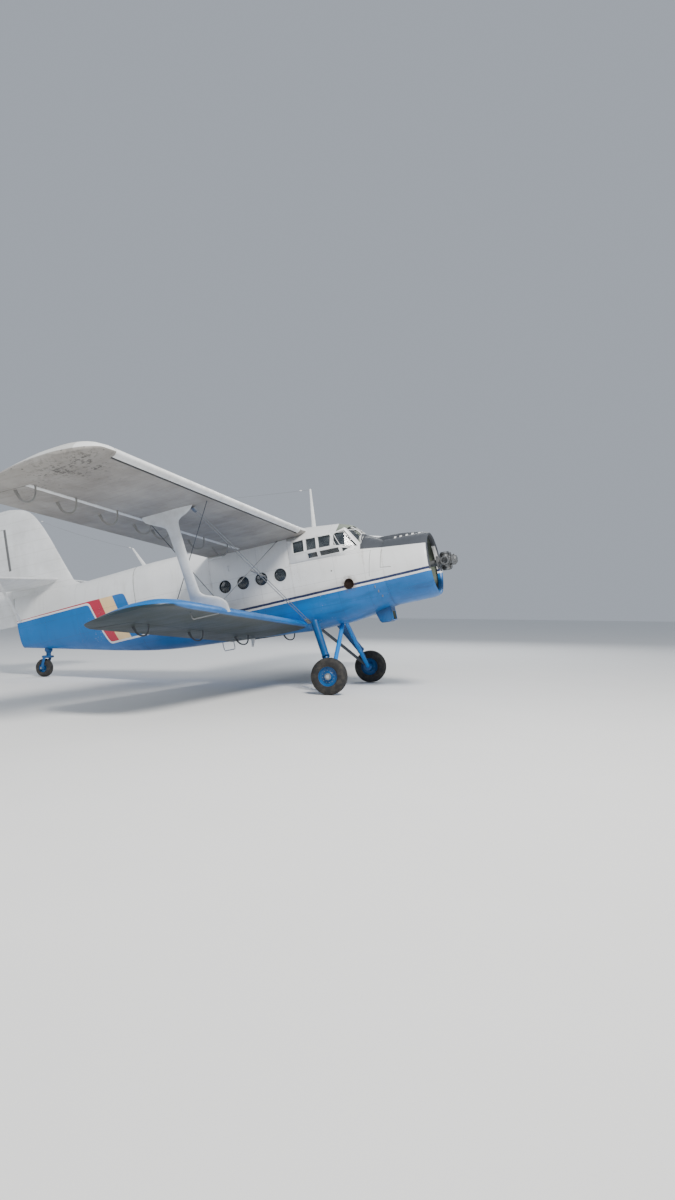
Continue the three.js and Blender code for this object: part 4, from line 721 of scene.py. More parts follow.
def grown(name, kind, values, coat, paths=(), place=None):
    """Run a geometry tree and return its result as a plain mesh object."""
    if kind not in TREES:
        TREES[kind] = TREE_MAKERS[kind]()
    tree = TREES[kind]
    points, edges = [], []
    for path in paths:
        start = len(points)
        points.extend(tuple(p) for p in path)
        edges.extend((start + i, start + i + 1) for i in range(len(path) - 1))
    mesh = bpy.data.meshes.new(name)
    mesh.from_pydata(points or [(0, 0, 0)], edges, [])
    obj = linked(name, mesh)
    change = obj.modifiers.new("growth", "NODES")
    change.node_group = tree.tree
    for label, value in {**values, "Material": finish(coat)}.items():
        change[tree.identifiers[label]] = value
    settle(obj)
    if place is not None:
        obj.data.transform(place)
    return obj


def merged(name, objects):
    """Join objects into the first one's mesh under one name."""
    first = objects[0]
    if len(objects) > 1:
        with bpy.context.temp_override(active_object=first, selected_editable_objects=objects):
            bpy.ops.object.join()
    first.name = name
    first.data.name = name
    return first


# Sizes and colours that a user may change
def colour_of(name, description, default):
    """Colour that a user may change."""
    return FloatVectorProperty(
        name=name, description=description, subtype="COLOR", size=3, default=default, min=0, max=1)


def length_of(name, description, default, least, most):
    """Length that a user may change."""
    return FloatProperty(
        name=name, description=description, default=default, min=least, max=most, unit="LENGTH")


class BiplaneLook(bpy.types.PropertyGroup):
    """Sizes and colours of the biplane's finish"""

    white: colour_of("White", "Main paint of the fuselage and the tail", (0.8, 0.81, 0.81))
    blue: colour_of("Blue", "Paint of the lower fuselage and the lower wing", (0.003, 0.132, 0.42))
    navy: colour_of("Navy", "Thin dark line above the white line", (0.009, 0.02, 0.085))
    red: colour_of("Red", "Rear band", (0.5, 0.022, 0.06))
    cream: colour_of("Cream", "Middle band", (0.86, 0.62, 0.33))
    glare: colour_of("Glare grey", "Matt paint ahead of the windscreen", (0.055, 0.062, 0.075))
    cloth: colour_of("Wing cloth", "Doped cloth of the upper wing", (0.5, 0.51, 0.5))
    rib_pitch: length_of("Rib pitch", "Distance between wing ribs", 0.33, 0.2, 0.6)
    cloth_sag: length_of("Cloth sag", "Hollow of the wing cloth between two ribs", 0.004, 0, 0.01)
    rivet_pitch: length_of("Rivet pitch", "Distance between rivet heads", 0.06, 0.02, 0.2)
    rivet_radius: length_of("Rivet head", "Radius of a rivet head", 0.0045, 0.001, 0.01)
    engine_fins: IntProperty(
        name="Cylinder fins", description="Cooling fins on each engine cylinder", default=17, min=4, max=30)


def shade(rgb, factor):
    return tuple(channel * factor for channel in rgb)


def lines_at(f, along, places, width=0.0022):
    """Thin lines where a coordinate passes each place."""
    total = None
    for place in places:
        line = abs(along - place).below(width, 0.002)
        total = line if total is None else f.most(total, line)
    return total


# Materials
# Places of the painted highlights on the sunlit louvre fins of the hump
HUMP_GLINT_XS = (-0.63, -0.5, -0.36, -0.23, -0.07)
JOINT_XS = (-1.012, -1.43, -2.1, -3.112, -3.9, -5.1, -7.2, -8.3, -9.05, -10.1)
DIRTY_JOINT_XS = (-1.012, -1.43, -3.112, -5.1, -7.2)
LAP_LEVELS = (0.52, 0.03, -0.52)
# Painted shade: tone of the dark lines drawn in the gaps behind the slat and ahead of the rudder
SLOT_SHADE_TONE = (0.04, 0.04, 0.042)


def fuselage_paint(look):
    f = Finish("fuselage_paint", Coat_Weight=0.08, Coat_Roughness=0.2)
    x, y = f.x, f.y
    z = f.z + (f.noise(2.5, 2.0) - 0.5) * 0.012
    low = x * (x * 0.001 + 0.03) - 0.19
    aft = f.least(-8.36 - 0.4 * z - x, 0.7 + (x + 8.73) * 0.0158 - z, 0.15)
    edge = f.most(low - z, aft, 0.12)
    blue, line = edge.above(0), edge.inside(-0.045, 0)
    blue_edge, cream_edge, red_edge = (start - 0.33 * z for start in (-7.26, -7.62, -8.02))
    navy = edge.inside(-0.1, -0.045) * x.above(blue_edge)
    band_top = f.least(0.715 + (x + 11.25) * 0.025, 0.78)
    bands = f.least(band_top - z, blue_edge - x, 0.15).above(0) * edge.below(-0.045)
    fade = f.noise(1.1, 3.0)
    blue_tone = f.blend(fade, shade(look.blue, 0.86), shade(look.blue, 1.25))
    colour = f.blend(fade, shade(look.white, 0.95), look.white)
    colour = f.blend(navy, colour, look.navy)
    colour = f.blend(bands, colour, blue_tone)
    colour = f.blend(bands * x.below(cream_edge), colour, look.cream)
    colour = f.blend(bands * x.below(red_edge), colour, look.red)
    colour = f.blend(line, colour, look.white)
    colour = f.blend(blue, colour, blue_tone)
    glare = f.z.above(0.434 - 0.107 * x) * x.above(-1.475)
    glare = f.most(glare, x.above(-0.012, 0.004) * f.z.above(-0.16))
    colour = f.blend(glare, colour, look.glare)
    # Painted highlight: five short white marks along the hump stand for its sunlit louvre fins
    marks = lines_at(f, x + f.z * 0.15, HUMP_GLINT_XS, 0.026)
    marks = marks * f.z.inside(0.715, 0.765) * abs(y).above(0.08)
    colour = f.blend(marks, colour, shade(look.white, 0.9))
    # Panel joints, painted shade in a hole, the rear mast's painted shadow, grime, streaks, exhaust soot and oil
    joints = lines_at(f, x, JOINT_XS)
    laps = lines_at(f, f.z, LAP_LEVELS) * x.below(-1.02)
    hatch = lines_at(f, x - f.z * 0.146, (-1.083,), 0.005) * f.z.inside(0.085, 0.5)
    hatch = f.most(hatch, lines_at(f, f.z + (x + 1.07) * 0.125, (0.09,), 0.006) * x.inside(-1.075, -0.83))
    slanted = lines_at(f, x - f.z * 0.164, (-1.335,), 0.004) * f.z.inside(-0.06, 0.52)
    # Painted shade: a small near-black dot at x -2.17 stands for the shade inside a hole
    hole = (((x + 2.17) ** 2 + (f.z - 0.23) ** 2) ** 0.5).below(0.018)
    # Partly joint, partly painted shadow: a wide near-black line on the x -7.2 joint, running down from the rear
    # mast's foot, stands for the mast's shadow
    joint_and_mast_shadow = lines_at(f, x, (-7.2,), 0.006) * f.z.above(-0.2, 0.1)
    marked = f.most(f.most(hatch, slanted), f.most(hole, joint_and_mast_shadow))
    seams = f.most(joints, laps)
    grime = f.noise(1.7, 6.0, 0.62, low=0.42, high=0.78)
    streaks = f.noise(7.0, 4.0, 0.6, stretch=(1.0, 1.0, 0.09), low=0.52, high=0.8)
    low_dirt = (0.15 - f.z).clamped() * 0.7 + 0.3
    colour = f.darken(colour, grime * low_dirt * 0.42, (0.52, 0.48, 0.42))
    colour = f.darken(colour, streaks * 0.22, (0.45, 0.41, 0.36))
    colour = f.darken(colour, seams * 0.6, (0.25, 0.24, 0.24))
    colour = f.darken(colour, marked * 0.9, (0.1, 0.09, 0.09))
    near_seam = lines_at(f, x, DIRTY_JOINT_XS, 0.03)
    near_seam = near_seam * f.noise(9.0, 4.0, low=0.45, high=0.75)
    colour = f.darken(colour, near_seam * 0.35, (0.5, 0.45, 0.38))
    starboard = y.below(0, 0.1)
    travel = -1.7 - x
    reach = abs(f.z + 0.15 + travel * 0.03) / (0.13 + 0.1 * travel)
    plume = travel.inside(0.0, 3.4, 0.9) * (1 - reach).clamped()
    soot = plume * starboard * f.noise(5.0, 5.0, 0.6, stretch=(0.25, 1, 1), low=0.3, high=0.7)
    colour = f.darken(colour, soot * 0.55, (0.3, 0.26, 0.22))
    ring = ((x - EXHAUST_HOLE[0]) ** 2 + (f.z - EXHAUST_HOLE[1]) ** 2) ** 0.5
    burnt = (1 - (ring - 0.1) / 0.13).clamped() * starboard * f.noise(12.0, 4.0, low=0.3, high=0.6)
    colour = f.blend(burnt * 0.8, colour, (0.1, 0.065, 0.045))
    oil = f.z.below(-0.35, 0.3) * f.noise(4.0, 5.0, 0.6, stretch=(0.12, 1, 1), low=0.5, high=0.72)
    oil = oil * x.above(-4.5, 1.5)
    colour = f.darken(colour, oil * 0.5, (0.2, 0.15, 0.1))
    chips = f.cells(21.0).below(0.16, 0.03) * f.noise(1.4, 3.0, low=0.58, high=0.66)
    colour = f.blend(chips * 0.7, colour, (0.32, 0.33, 0.34))
    rough = 0.34 + grime * 0.22 + f.noise(30.0, 2.0) * 0.08 + soot * 0.3 + glare * 0.3
    f.raise_by(seams, -0.0016)
    f.raise_by(f.noise(2.2, 2.0), 0.006)
    f.raise_by(f.noise(60.0, 2.0), 0.00025)
    f.raise_by(chips, -0.0003)
    return f.done(colour, rough)


def interior_paint(look):
    f = Finish("interior_paint")
    worn = f.noise(3.0, 5.0, low=0.4, high=0.7)
    colour = f.blend(worn, (0.16, 0.19, 0.15), (0.24, 0.27, 0.22))
    scuffs = f.noise(40.0, 3.0, low=0.6, high=0.7)
    colour = f.darken(colour, scuffs * 0.4, (0.4, 0.38, 0.34))
    f.raise_by(f.noise(70.0, 3.0), 0.0003)
    return f.done(colour, 0.62 + worn * 0.2)


def cloth_relief(f, look, span):
    """Rib tapes with stitches and the fine weave of doped cloth; returns the tape mask."""
    pitch = look.rib_pitch
    from_rib = abs((span / pitch + 0.5).fract() - 0.5) * pitch
    tape = from_rib.below(0.018, 0.003)
    stitch = from_rib.below(0.004, 0.003) * (f.x / 0.05).fract().inside(0.25, 0.75, 0.2)
    f.raise_by(tape, 0.0006)
    f.raise_by(stitch, 0.0008)
    f.raise_by(f.noise(260.0, 1.0), 0.0001)
    return tape


def below_middle(f, wing, span):
    """1 on the lower side of a wing, parted from the upper side along the middle of its section."""
    back = (wing["lead"] - f.x) / wing["chord"]
    level = f.most(span, wing["root"]) * wing["rise"] + (wing["z"] - 0.8 * wing["rise"])
    return (level - back * wing["drop"] + back * (1 - back) * (0.124 * wing["chord"])).above(f.z, 0.006)


def upper_cloth(look):
    f = Finish("upper_wing_cloth", Sheen_Weight=0.05)
    x, y = f.x, f.y
    span = abs(y)
    under = below_middle(f, UPPER_WING, span)
    grime = f.noise(0.9, 6.0, 0.65, low=0.35, high=0.75)
    fine = f.noise(6.0, 6.0, 0.7, stretch=(0.35, 1, 1), low=0.4, high=0.8)
    above = f.blend(grime, shade(look.cloth, 1.18), shade(look.cloth, 0.95))
    # Partly painted shade, partly grime: the underside is a darker, browner grey than the top
    below = f.blend(grime, (0.37, 0.355, 0.335), (0.215, 0.2, 0.185))
    colour = f.blend(under, above, below)
    colour = f.darken(colour, fine * 0.35, (0.62, 0.58, 0.52))
    tape = cloth_relief(f, look, span)
    colour = f.darken(colour, tape * 0.16, (0.6, 0.58, 0.54))
    # Mould specks towards the tips, worst below and to starboard
    reach = ((span - 7.2) / 1.6).clamped() * (0.35 + under * 0.65) * (0.5 + y.below(0) * 0.5)
    specks = f.cells(13.0).below(0.2, 0.1) * f.noise(4.0, 4.0, low=0.45, high=0.6) * reach
    colour = f.blend(specks * 0.85, colour, (0.05, 0.05, 0.048))
    mould = x.inside(-3.85, -2.85, 0.3) * span.inside(8.15, 9.02, 0.3) * y.below(0) * under
    mould = mould * f.noise(15.0, 5.0, 0.7, low=0.5, high=0.57) * f.noise(3.0, 2.0, low=0.4, high=0.55)
    colour = f.blend(mould * 0.8, colour, (0.045, 0.04, 0.035))
    front = x.above(-3.05, 0.02)
    colour = f.blend(front * (1 - under) * 0.85, colour, look.white)
    # Diagonal wrinkles in the cloth below: raised in the bump, and darkened in the colour as painted shade in
    # their creases
    wrinkles_and_crease_shade = f.noise(2.6, 3.0, 0.5, stretch=(1.0, 0.22, 1.0), turn=(0, 0, 0.75), low=0.25, high=0.75)
    colour = f.darken(colour, wrinkles_and_crease_shade * under * 0.45, (0.55, 0.53, 0.5))
    # Painted shade: a dark line in the slot behind the slat. Painted highlight: pale noses of the surfaces
    # behind the slot, where light falls on them
    slot_shade = x.inside(-2.8, -2.772) * under * span.inside(0.95, 8.51)
    colour = f.blend(slot_shade * 0.85, colour, SLOT_SHADE_TONE)
    # Painted highlight: a pale strip on the lit noses of the flaps and ailerons along the slot
    nose_highlights = x.inside(-4.27, -4.18) * under * span.inside(0.98, 8.52)
    colour = f.blend(nose_highlights * 0.85, colour, look.white)
    f.raise_by(wrinkles_and_crease_shade * under, 0.02)
    f.raise_by(f.noise(1.5, 2.0), 0.004)
    return f.done(colour, 0.55 + grime * 0.2 - fine * 0.08)


def lower_cloth(look):
    f = Finish("lower_wing_cloth", Coat_Weight=0.08, Coat_Roughness=0.15)
    x = f.x
    span = abs(f.y)
    under = below_middle(f, LOWER_WING, span) * x.below(-3.06, 0.03)
    grime = f.noise(1.1, 6.0, 0.65, low=0.35, high=0.75)
    streaks = f.noise(7.0, 5.0, 0.6, stretch=(0.2, 1, 1), low=0.45, high=0.8)
    top = f.blend(grime, shade(look.blue, 1.25), shade(look.blue, 0.8))
    # Painted shade and reflection: the underside is a near-black blue that turns green where the grass's
    # reflection is painted
    bottom = f.blend(grime, (0.007, 0.026, 0.045), (0.016, 0.024, 0.016))
    colour = f.blend(under, top, bottom)
    colour = f.darken(colour, streaks * 0.3, (0.55, 0.52, 0.46))
    tape = cloth_relief(f, look, span)
    colour = f.darken(colour, tape * 0.18, (0.6, 0.6, 0.6))
    walk = span.below(1.45, 0.01) * x.below(-3.45, 0.01) * (1 - under)
    colour = f.blend(walk, colour, (0.035, 0.038, 0.042))
    f.raise_by(walk * f.noise(420.0, 2.0), 0.0006)
    f.raise_by(f.noise(1.5, 2.0), 0.004)
    return f.done(colour, 0.4 + grime * 0.15 + walk * 0.4)


def tail_cloth(look):
    f = Finish("tail_cloth")
    x, y, z = f.x, f.y, f.z
    grime = f.noise(1.3, 6.0, 0.62, low=0.38, high=0.78)
    streaks = f.noise(8.0, 5.0, 0.6, stretch=(0.5, 1, 0.12), low=0.5, high=0.8)
    colour = f.blend(grime, look.white, shade(look.white, 0.78))
    colour = f.darken(colour, streaks * 0.25, (0.5, 0.47, 0.42))
    flat = abs(z - 1.575).below(0.14, 0.02) * abs(y).above(0.15, 0.02)
    pitch = TAIL_RIB_PITCH
    rows, spans = (abs((along / pitch + 0.5).fract() - 0.5) * pitch for along in (z, y))
    tape = rows.below(0.016, 0.003) * (1 - flat) + spans.below(0.016, 0.003) * flat
    f.raise_by(tape, 0.0006)
    f.raise_by(f.noise(260.0, 1.0), 0.0001)
    f.raise_by(f.noise(1.8, 2.0), 0.004)
    colour = f.darken(colour, tape * 0.16, (0.6, 0.58, 0.55))
    # Painted shade: a dark line in the gap ahead of the rudder; and the dark edges of its trim tab
    slot_shade = x.inside(-11.125, -11.045) * z.inside(2.06, 3.18) * abs(y).below(0.2)
    colour = f.blend(slot_shade * 0.85, colour, SLOT_SHADE_TONE)
    tab = lines_at(f, x, (-11.86,), 0.003) * z.inside(1.05, 2.02)
    tab = tab + lines_at(f, z, (1.05, 2.02), 0.003) * x.below(-11.86)
    colour = f.darken(colour, tab.clamped() * 0.8, (0.15, 0.15, 0.15))
    f.raise_by(tab, -0.002)
    return f.done(colour, 0.45 + grime * 0.2)


def worn_paint(name, colour, dark=0.6, rough=0.38, metal_chips=0.6, scale=1.0):
    """Paint with patchy fading, grime and bare chips."""
    f = Finish(name)
    fade = f.noise(2.0 * scale, 4.0)
    grime = f.noise(4.5 * scale, 6.0, 0.65, low=0.42, high=0.78)
    tone = f.blend(fade, shade(colour, 0.82), shade(colour, 1.15))
    tone = f.darken(tone, grime * dark, (0.42, 0.37, 0.31))
    chips = f.cells(26.0 * scale).below(0.15, 0.03) * f.noise(3.0 * scale, 3.0, low=0.58, high=0.64)
    tone = f.blend(chips * metal_chips, tone, (0.28, 0.28, 0.28))
    f.raise_by(f.noise(45.0 * scale, 3.0), 0.0003)
    f.raise_by(chips, -0.0003)
    return f.done(tone, rough + grime * 0.25 + chips * 0.2)


def metal(name, colour, rough=0.35, oily=0.5, scale=1.0):
    """Bare metal with stains and fine scratches."""
    f = Finish(name)
    stain = f.noise(7.0 * scale, 6.0, 0.65, low=0.4, high=0.72)
    tone = f.blend(f.noise(18.0 * scale, 3.0), shade(colour, 0.8), shade(colour, 1.2))
    tone = f.blend(stain * oily, tone, (0.035, 0.028, 0.022))
    scratch = f.noise(90.0 * scale, 2.0, 0.5, stretch=(1, 0.08, 1))
    f.raise_by(scratch, 0.0002)
    return f.done(tone, rough + stain * 0.25 + scratch * 0.08, 0.9 - stain * oily)


def rubber(look):
    f = Finish("tyre_rubber")
    dust = f.noise(9.0, 5.0, 0.65, low=0.45, high=0.75)
    colour = f.blend(dust, (0.018, 0.018, 0.019), (0.075, 0.068, 0.058))
    f.raise_by(f.noise(120.0, 3.0), 0.0004)
    cracks = f.cells(55.0, "DISTANCE_TO_EDGE").below(0.03, 0.02)
    f.raise_by(cracks, -0.0003)
    return f.done(colour, 0.78 + dust * 0.15)


def window_glass(look):
    f = Finish("window_glass", Coat_Weight=0.6, Coat_Roughness=0.03, IOR=1.5)
    film = f.noise(5.0, 6.0, 0.6, low=0.4, high=0.8)
    runs = f.noise(14.0, 4.0, 0.6, stretch=(1, 1, 0.12), low=0.55, high=0.85)
    # Painted shade: the glass is tinted dark grey to stand for the dark cabin behind it, and the film noise
    # lightens it with a haze of dirt
    colour = f.blend(film, (0.03, 0.04, 0.05), (0.11, 0.125, 0.135))
    return f.done(colour, 0.05 + film * 0.1 + runs * 0.1, None, 0.55 + film * 0.2 + runs * 0.1)


def seat_cloth(look):
    f = Finish("seat_cloth", Sheen_Weight=0.3)
    warp = (f.x * 420.0).math("SINE") * (f.y * 420.0).math("SINE") * 0.5 + 0.5
    wear = f.noise(5.0, 5.0, low=0.4, high=0.7)
    colour = f.blend(warp, (0.02, 0.028, 0.02), (0.04, 0.052, 0.038))
    colour = f.blend(wear * 0.5, colour, (0.085, 0.085, 0.065))
    f.raise_by(warp, 0.0004)
    return f.done(colour, 0.9)


def panel_black(look):
    f = Finish("panel_black")
    wear = f.noise(8.0, 5.0, low=0.45, high=0.75)
    colour = f.blend(wear, (0.02, 0.021, 0.023), (0.05, 0.052, 0.055))
    f.raise_by(f.noise(190.0, 3.0), 0.0003)
    return f.done(colour, 0.55 + wear * 0.2)


def lamp(name, colour):
    f = Finish(name, Coat_Weight=1.0, Coat_Roughness=0.04)
    tone = f.blend(f.noise(60.0, 2.0), shade(colour, 0.7), colour)
    f.raise_by((f.y * 700.0).math("SINE"), 0.0003)
    return f.done(tone, 0.12 + f.noise(30.0, 2.0) * 0.05)


def floor_paint(look):
    f = Finish("studio_floor")
    return f.done(f.blend(f.noise(0.7, 3.0), (0.78, 0.78, 0.77), (0.82, 0.82, 0.81)), 0.75)


# Finishes by name, each with a slot name and its maker
FINISHES = {
    "fuselage": ("white_paint", fuselage_paint),
    "interior": ("interior_paint", interior_paint),
    "upper_cloth": ("wing_fabric", upper_cloth),
    "lower_cloth": ("blue_fabric", lower_cloth),
    "tail_cloth": ("wing_fabric", tail_cloth),
    "trim": ("white_paint", lambda look: worn_paint("white_trim", look.white, 0.35)),
    "gear": ("gear_paint", lambda look: worn_paint("gear_paint", shade(look.blue, 0.62), 0.55)),
    # Painted light: a sunlit copy of the gear paint in a lighter blue, and a shaded copy near black, for parts
    # that stand in sun or shade
    "light_gear": ("gear_paint", lambda look: worn_paint("light_gear_paint", shade(look.blue, 1.5), 0.4)),
    "dark_gear": ("gear_paint", lambda look: worn_paint("dark_gear_paint", (0.05, 0.06, 0.075), 0.5)),
    "strut": ("grey_paint", lambda look: worn_paint("strut_paint", (0.66, 0.68, 0.69), 0.35)),
    "bracket": ("wing_fabric", lambda look: worn_paint("bracket_paint", (0.27, 0.27, 0.26), 0.4, 0.5)),
    "hub": ("hub_steel", lambda look: metal("hub_steel", (0.2, 0.21, 0.22), 0.42, 0.65, 2.0)),
    "engine": ("engine_metal", lambda look: metal("engine_metal", (0.17, 0.17, 0.17), 0.5, 0.7, 1.5)),
    "crankcase": (
        "engine_metal", lambda look: worn_paint("crankcase_paint", (0.16, 0.17, 0.18), 0.6, 0.45, 0.3, 2.0)),
    "wire": ("wire_steel", lambda look: metal("wire_steel", (0.3, 0.31, 0.32), 0.38, 0.3)),
    "chrome": ("wire_steel", lambda look: metal("oleo_chrome", (0.62, 0.63, 0.64), 0.12, 0.15)),
    "soot": ("engine_metal", lambda look: metal("sooty_steel", (0.045, 0.028, 0.022), 0.75, 0.6, 2.0)),
    "rubber": ("tyre_rubber", rubber),
    "seal": (
        "tyre_rubber",
        lambda look: worn_paint("black_rubber_seal", (0.02, 0.021, 0.022), 0.3, 0.7, 0.0, 2.0)),
    "glass": ("window", window_glass),
    "seat": ("seat_cover", seat_cloth),
    "panel": ("panel_black", panel_black),
    "dial": ("panel_black", lambda look: worn_paint("dial_marks", (0.55, 0.56, 0.52), 0.2, 0.4, 0.0, 3.0)),
    "red_lamp": ("window", lambda look: lamp("red_lamp", (0.55, 0.01, 0.01))),
    "green_lamp": ("window", lambda look: lamp("green_lamp", (0.01, 0.35, 0.08))),
    "clear_lamp": ("window", lambda look: lamp("clear_lamp", (0.75, 0.77, 0.78))),
    "floor": ("floor_paint", floor_paint),
}
MADE = {}


def finish(name):
    """The finished material of that name, made once; a material passes through."""
    if not isinstance(name, str):
        return name
    if name not in MADE:
        MADE[name] = FINISHES[name][1](bpy.context.scene.biplane_look)
    return MADE[name]


# Shapes that several pieces share
CANOPY_ROWS = (
    ((-1.44, 0.0, 0.975), (-1.445, 0.3, 0.905), (-1.46, 0.62, 0.65), (-1.46, 0.655, 0.61),
     (-1.46, 0.675, 0.56), (-1.46, 0.675, 0.44)),
    ((-1.56, 0.0, 1.105), (-1.62, 0.3, 1.13), (-1.755, 0.6, 1.133), (-1.76, 0.742, 0.72),
     (-1.76, 0.75, 0.58), (-1.76, 0.735, 0.44)),
    ((-1.93, 0.0, 1.293), (-1.93, 0.38, 1.252), (-1.93, 0.79, 1.085), (-1.93, 0.89, 0.75),
     (-1.93, 0.828, 0.585), (-1.93, 0.76, 0.44)),
    ((-2.66, 0.0, 1.38), (-2.66, 0.45, 1.34), (-2.66, 0.86, 1.085), (-2.66, 0.935, 0.75),
     (-2.66, 0.858, 0.585), (-2.66, 0.77, 0.44)),
    ((-2.98, 0.0, 1.388), (-2.98, 0.47, 1.372), (-2.98, 0.866, 1.07), (-2.98, 0.935, 0.75),
     (-2.98, 0.862, 0.585), (-2.98, 0.78, 0.44)),
    ((-3.11, 0.0, 1.388), (-3.11, 0.5, 1.374), (-3.11, 0.82, 1.1), (-3.11, 0.858, 0.75),
     (-3.11, 0.858, 0.585), (-3.11, 0.78, 0.44)),
)
CANOPY_DEPTH = 0.021
SIDE_PANES = (
    ((-1.51, 0.672), (-1.8, 1.096), (-1.99, 1.06), (-1.875, 0.772)),
    ((-2.075, 1.054), (-2.362, 1.06), (-2.362, 0.78), (-1.955, 0.777)),
    ((-2.404, 1.06), (-2.636, 1.06), (-2.636, 0.78), (-2.404, 0.78)),
    ((-2.692, 1.06), (-2.962, 1.05), (-2.962, 0.768), (-2.692, 0.77)),
    ((-1.565, 0.636), (-1.868, 0.712), (-1.868, 0.602), (-1.61, 0.602)),
    ((-1.905, 0.722), (-2.368, 0.724), (-2.368, 0.602), (-1.905, 0.602)),
    ((-2.404, 0.724), (-2.636, 0.724), (-2.636, 0.602), (-2.404, 0.602)),
)
SCREEN_PANES = (
    ((-0.245, 0.945), (-0.555, 0.725), (-0.555, 1.098), (-0.245, 1.096)),
    ((-0.205, 0.992), (-0.205, 1.088), (0.205, 1.088), (0.205, 0.992)),
    ((0.245, 0.945), (0.555, 0.725), (0.555, 1.098), (0.245, 1.096)),
)
COWL_OUTER = ((-1.0098, 0.766), (-0.75, 0.7635), (-0.45, 0.758), (-0.15, 0.75), (-0.07, 0.741), (0.0, 0.718))
COWL_LIP = ((0.014, 0.706), (0.02, 0.697), (0.022, 0.69), (0.018, 0.677), (0.004, 0.662), (-0.04, 0.65))
COWL_INNER = ((-0.09, 0.655), (-0.075, 0.678), (-0.06, 0.7), (-0.15, 0.728), (-1.0098, 0.745))


SKIN = ("fuselage", "interior")


def skin_shell(body, front, rear, steps=48, closed_from=None, count=96):
    """Hollow skin of a body; the inner side is marked for the second material."""
    xs = between(front, rear, steps)
    outer = [body.ring(x, count) for x in xs]
    inner = [body.ring(x, count, SKIN_WALL) for x in xs if closed_from is None or x > closed_from]
    if closed_from is None:
        shape = Shape().loft(outer + inner[::-1], close=True)
        first, last = steps * count, (2 * steps - 1) * count
    else:
        shape = Shape().loft(inner[::-1] + outer)
        first, last = 0, (len(inner) - 1) * count
    shape.marks = [1 if first <= k < last else 0 for k in range(len(shape.faces))]
    return shape


def solid_body(body, front, rear, steps=40, inset=0, count=96):
    return Shape().loft([body.ring(x, count, inset) for x in between(front, rear, steps)])


def canopy_block(bottom, inset=0):
    rings = []
    for row in CANOPY_ROWS:
        right = [(x, max(0, y - inset), bottom if i == 5 else z - inset) for i, (x, y, z) in enumerate(row)]
        rings.append(right + [(x, -y, z) for x, y, z in reversed(right[1:])])
    return Shape().loft(rings)


def block(x0, x1, y0, y1, z0, z1, mark=0):
    """Plain box for cutting."""
    return Shape().loft([[(x, y0, z0), (x, y1, z0), (x, y1, z1), (x, y0, z1)] for x in (x0, x1)], mark)


def ray_tree(shape):
    return BVHTree.FromPolygons([Vector(p) for p in shape.points], shape.faces)


def side_hits(tree, side, z, xs):
    """Where level rays from the side meet a surface."""
    hits = [tree.ray_cast(Vector((x, side * 2, z)), Vector((0, -side, 0)))[0] for x in xs]
    return [p for p in hits if p is not None]


def outline_on(tree, outline, origin_of, direction, pitch=0.03):
    """Follow an outline on a surface by casting rays."""
    path = []
    for a, b in zip(outline, outline[1:] + outline[:1]):
        count = max(2, int(math.dist(a, b) / pitch))
        for k in range(count):
            u, v = mixed(a, b, k / count)
            hit = tree.ray_cast(Vector(origin_of(u, v)), Vector(direction))[0]
            if hit is not None:
                path.append(hit)
    return path + path[:1]


def wing_point(wing, s, t, y):
    return (wing["lead"] - s * wing["chord"], y,
            wing["z"] + t * wing["chord"] - s * wing["drop"] + wing["rise"] * (abs(y) - 0.8))


ROOTS = [math.sqrt(row[0]) for row in SECTION]
UPPER_CURVE = smooth_through(ROOTS, [row[1] for row in SECTION])
LOWER_CURVE = smooth_through(ROOTS, [row[2] for row in SECTION])


def ease(t):
    t = min(max(t, 0.0), 1.0)
    return t * t * (3 - 2 * t)


def wing_ring(wing, y, look, count=27):
    """Section of a wing with the cloth hollow between its ribs."""
    tips = wing["tips"]
    if abs(y) <= tips[0][0]:
        start, end, thick = 0.0, 1.0, 1.0
    else:
        ys = [row[0] for row in tips]
        start, end, thick = (smooth_through(ys, [row[k] for row in tips])(abs(y)) for k in (1, 2, 3))
    bay = math.sin(math.pi * abs(y) / look.rib_pitch) ** 2 * look.cloth_sag
    upper, lower = [], []
    for i in range(count):
        u = (1 - math.cos(math.pi * i / (count - 1))) / 2
        hollow = bay * ease((u - 0.1) / 0.2) * ease((0.98 - u) / 0.1) * thick
        s = start + (end - start) * u
        x, _, z = wing_point(wing, s, thick * UPPER_CURVE(math.sqrt(u)), y)
        upper.append((x, y, z - hollow))
        x, _, z = wing_point(wing, s, thick * LOWER_CURVE(math.sqrt(u)), y)
        lower.append((x, y, z + hollow))
    return upper + lower[:0:-1]


def wing_stations(start, end, look, tips=()):
    """Stations at the ribs, between them and closely along the rounded tip."""
    pitch = look.rib_pitch / 4
    flat_end = tips[0][0] if tips else end
    ys = [start]
    k = int(start / pitch) + 1
    while k * pitch < flat_end - 0.01:
        if k * pitch > start + 0.01:
            ys.append(k * pitch)
        k += 1
    ys.append(flat_end)
    if tips:
        a, b = flat_end, tips[-1][0]
        ys.extend(a + (b - a) * math.sin(math.pi / 2 * i / 14) for i in range(1, 15))
    return ys


def wing_blank(wing, start, look, end=None):
    tips = wing["tips"] if end is None else ()
    ys = wing_stations(start, end or wing["tips"][0][0], look, tips)
    return Shape().loft([wing_ring(wing, y, look) for y in ys])


def span_prism(wing, outline, y0, y1):
    return Shape().loft([[wing_point(wing, s, t, y) for s, t in outline] for y in (y0, y1)])


def pivot_at(wing, hinge, y):
    """Hinge pivot of a wing surface, set below the lower skin."""
    x, _, z = wing_point(wing, hinge["at"], LOWER_CURVE(math.sqrt(hinge["at"])), y)
    return Vector((x, y, z - hinge["below"]))


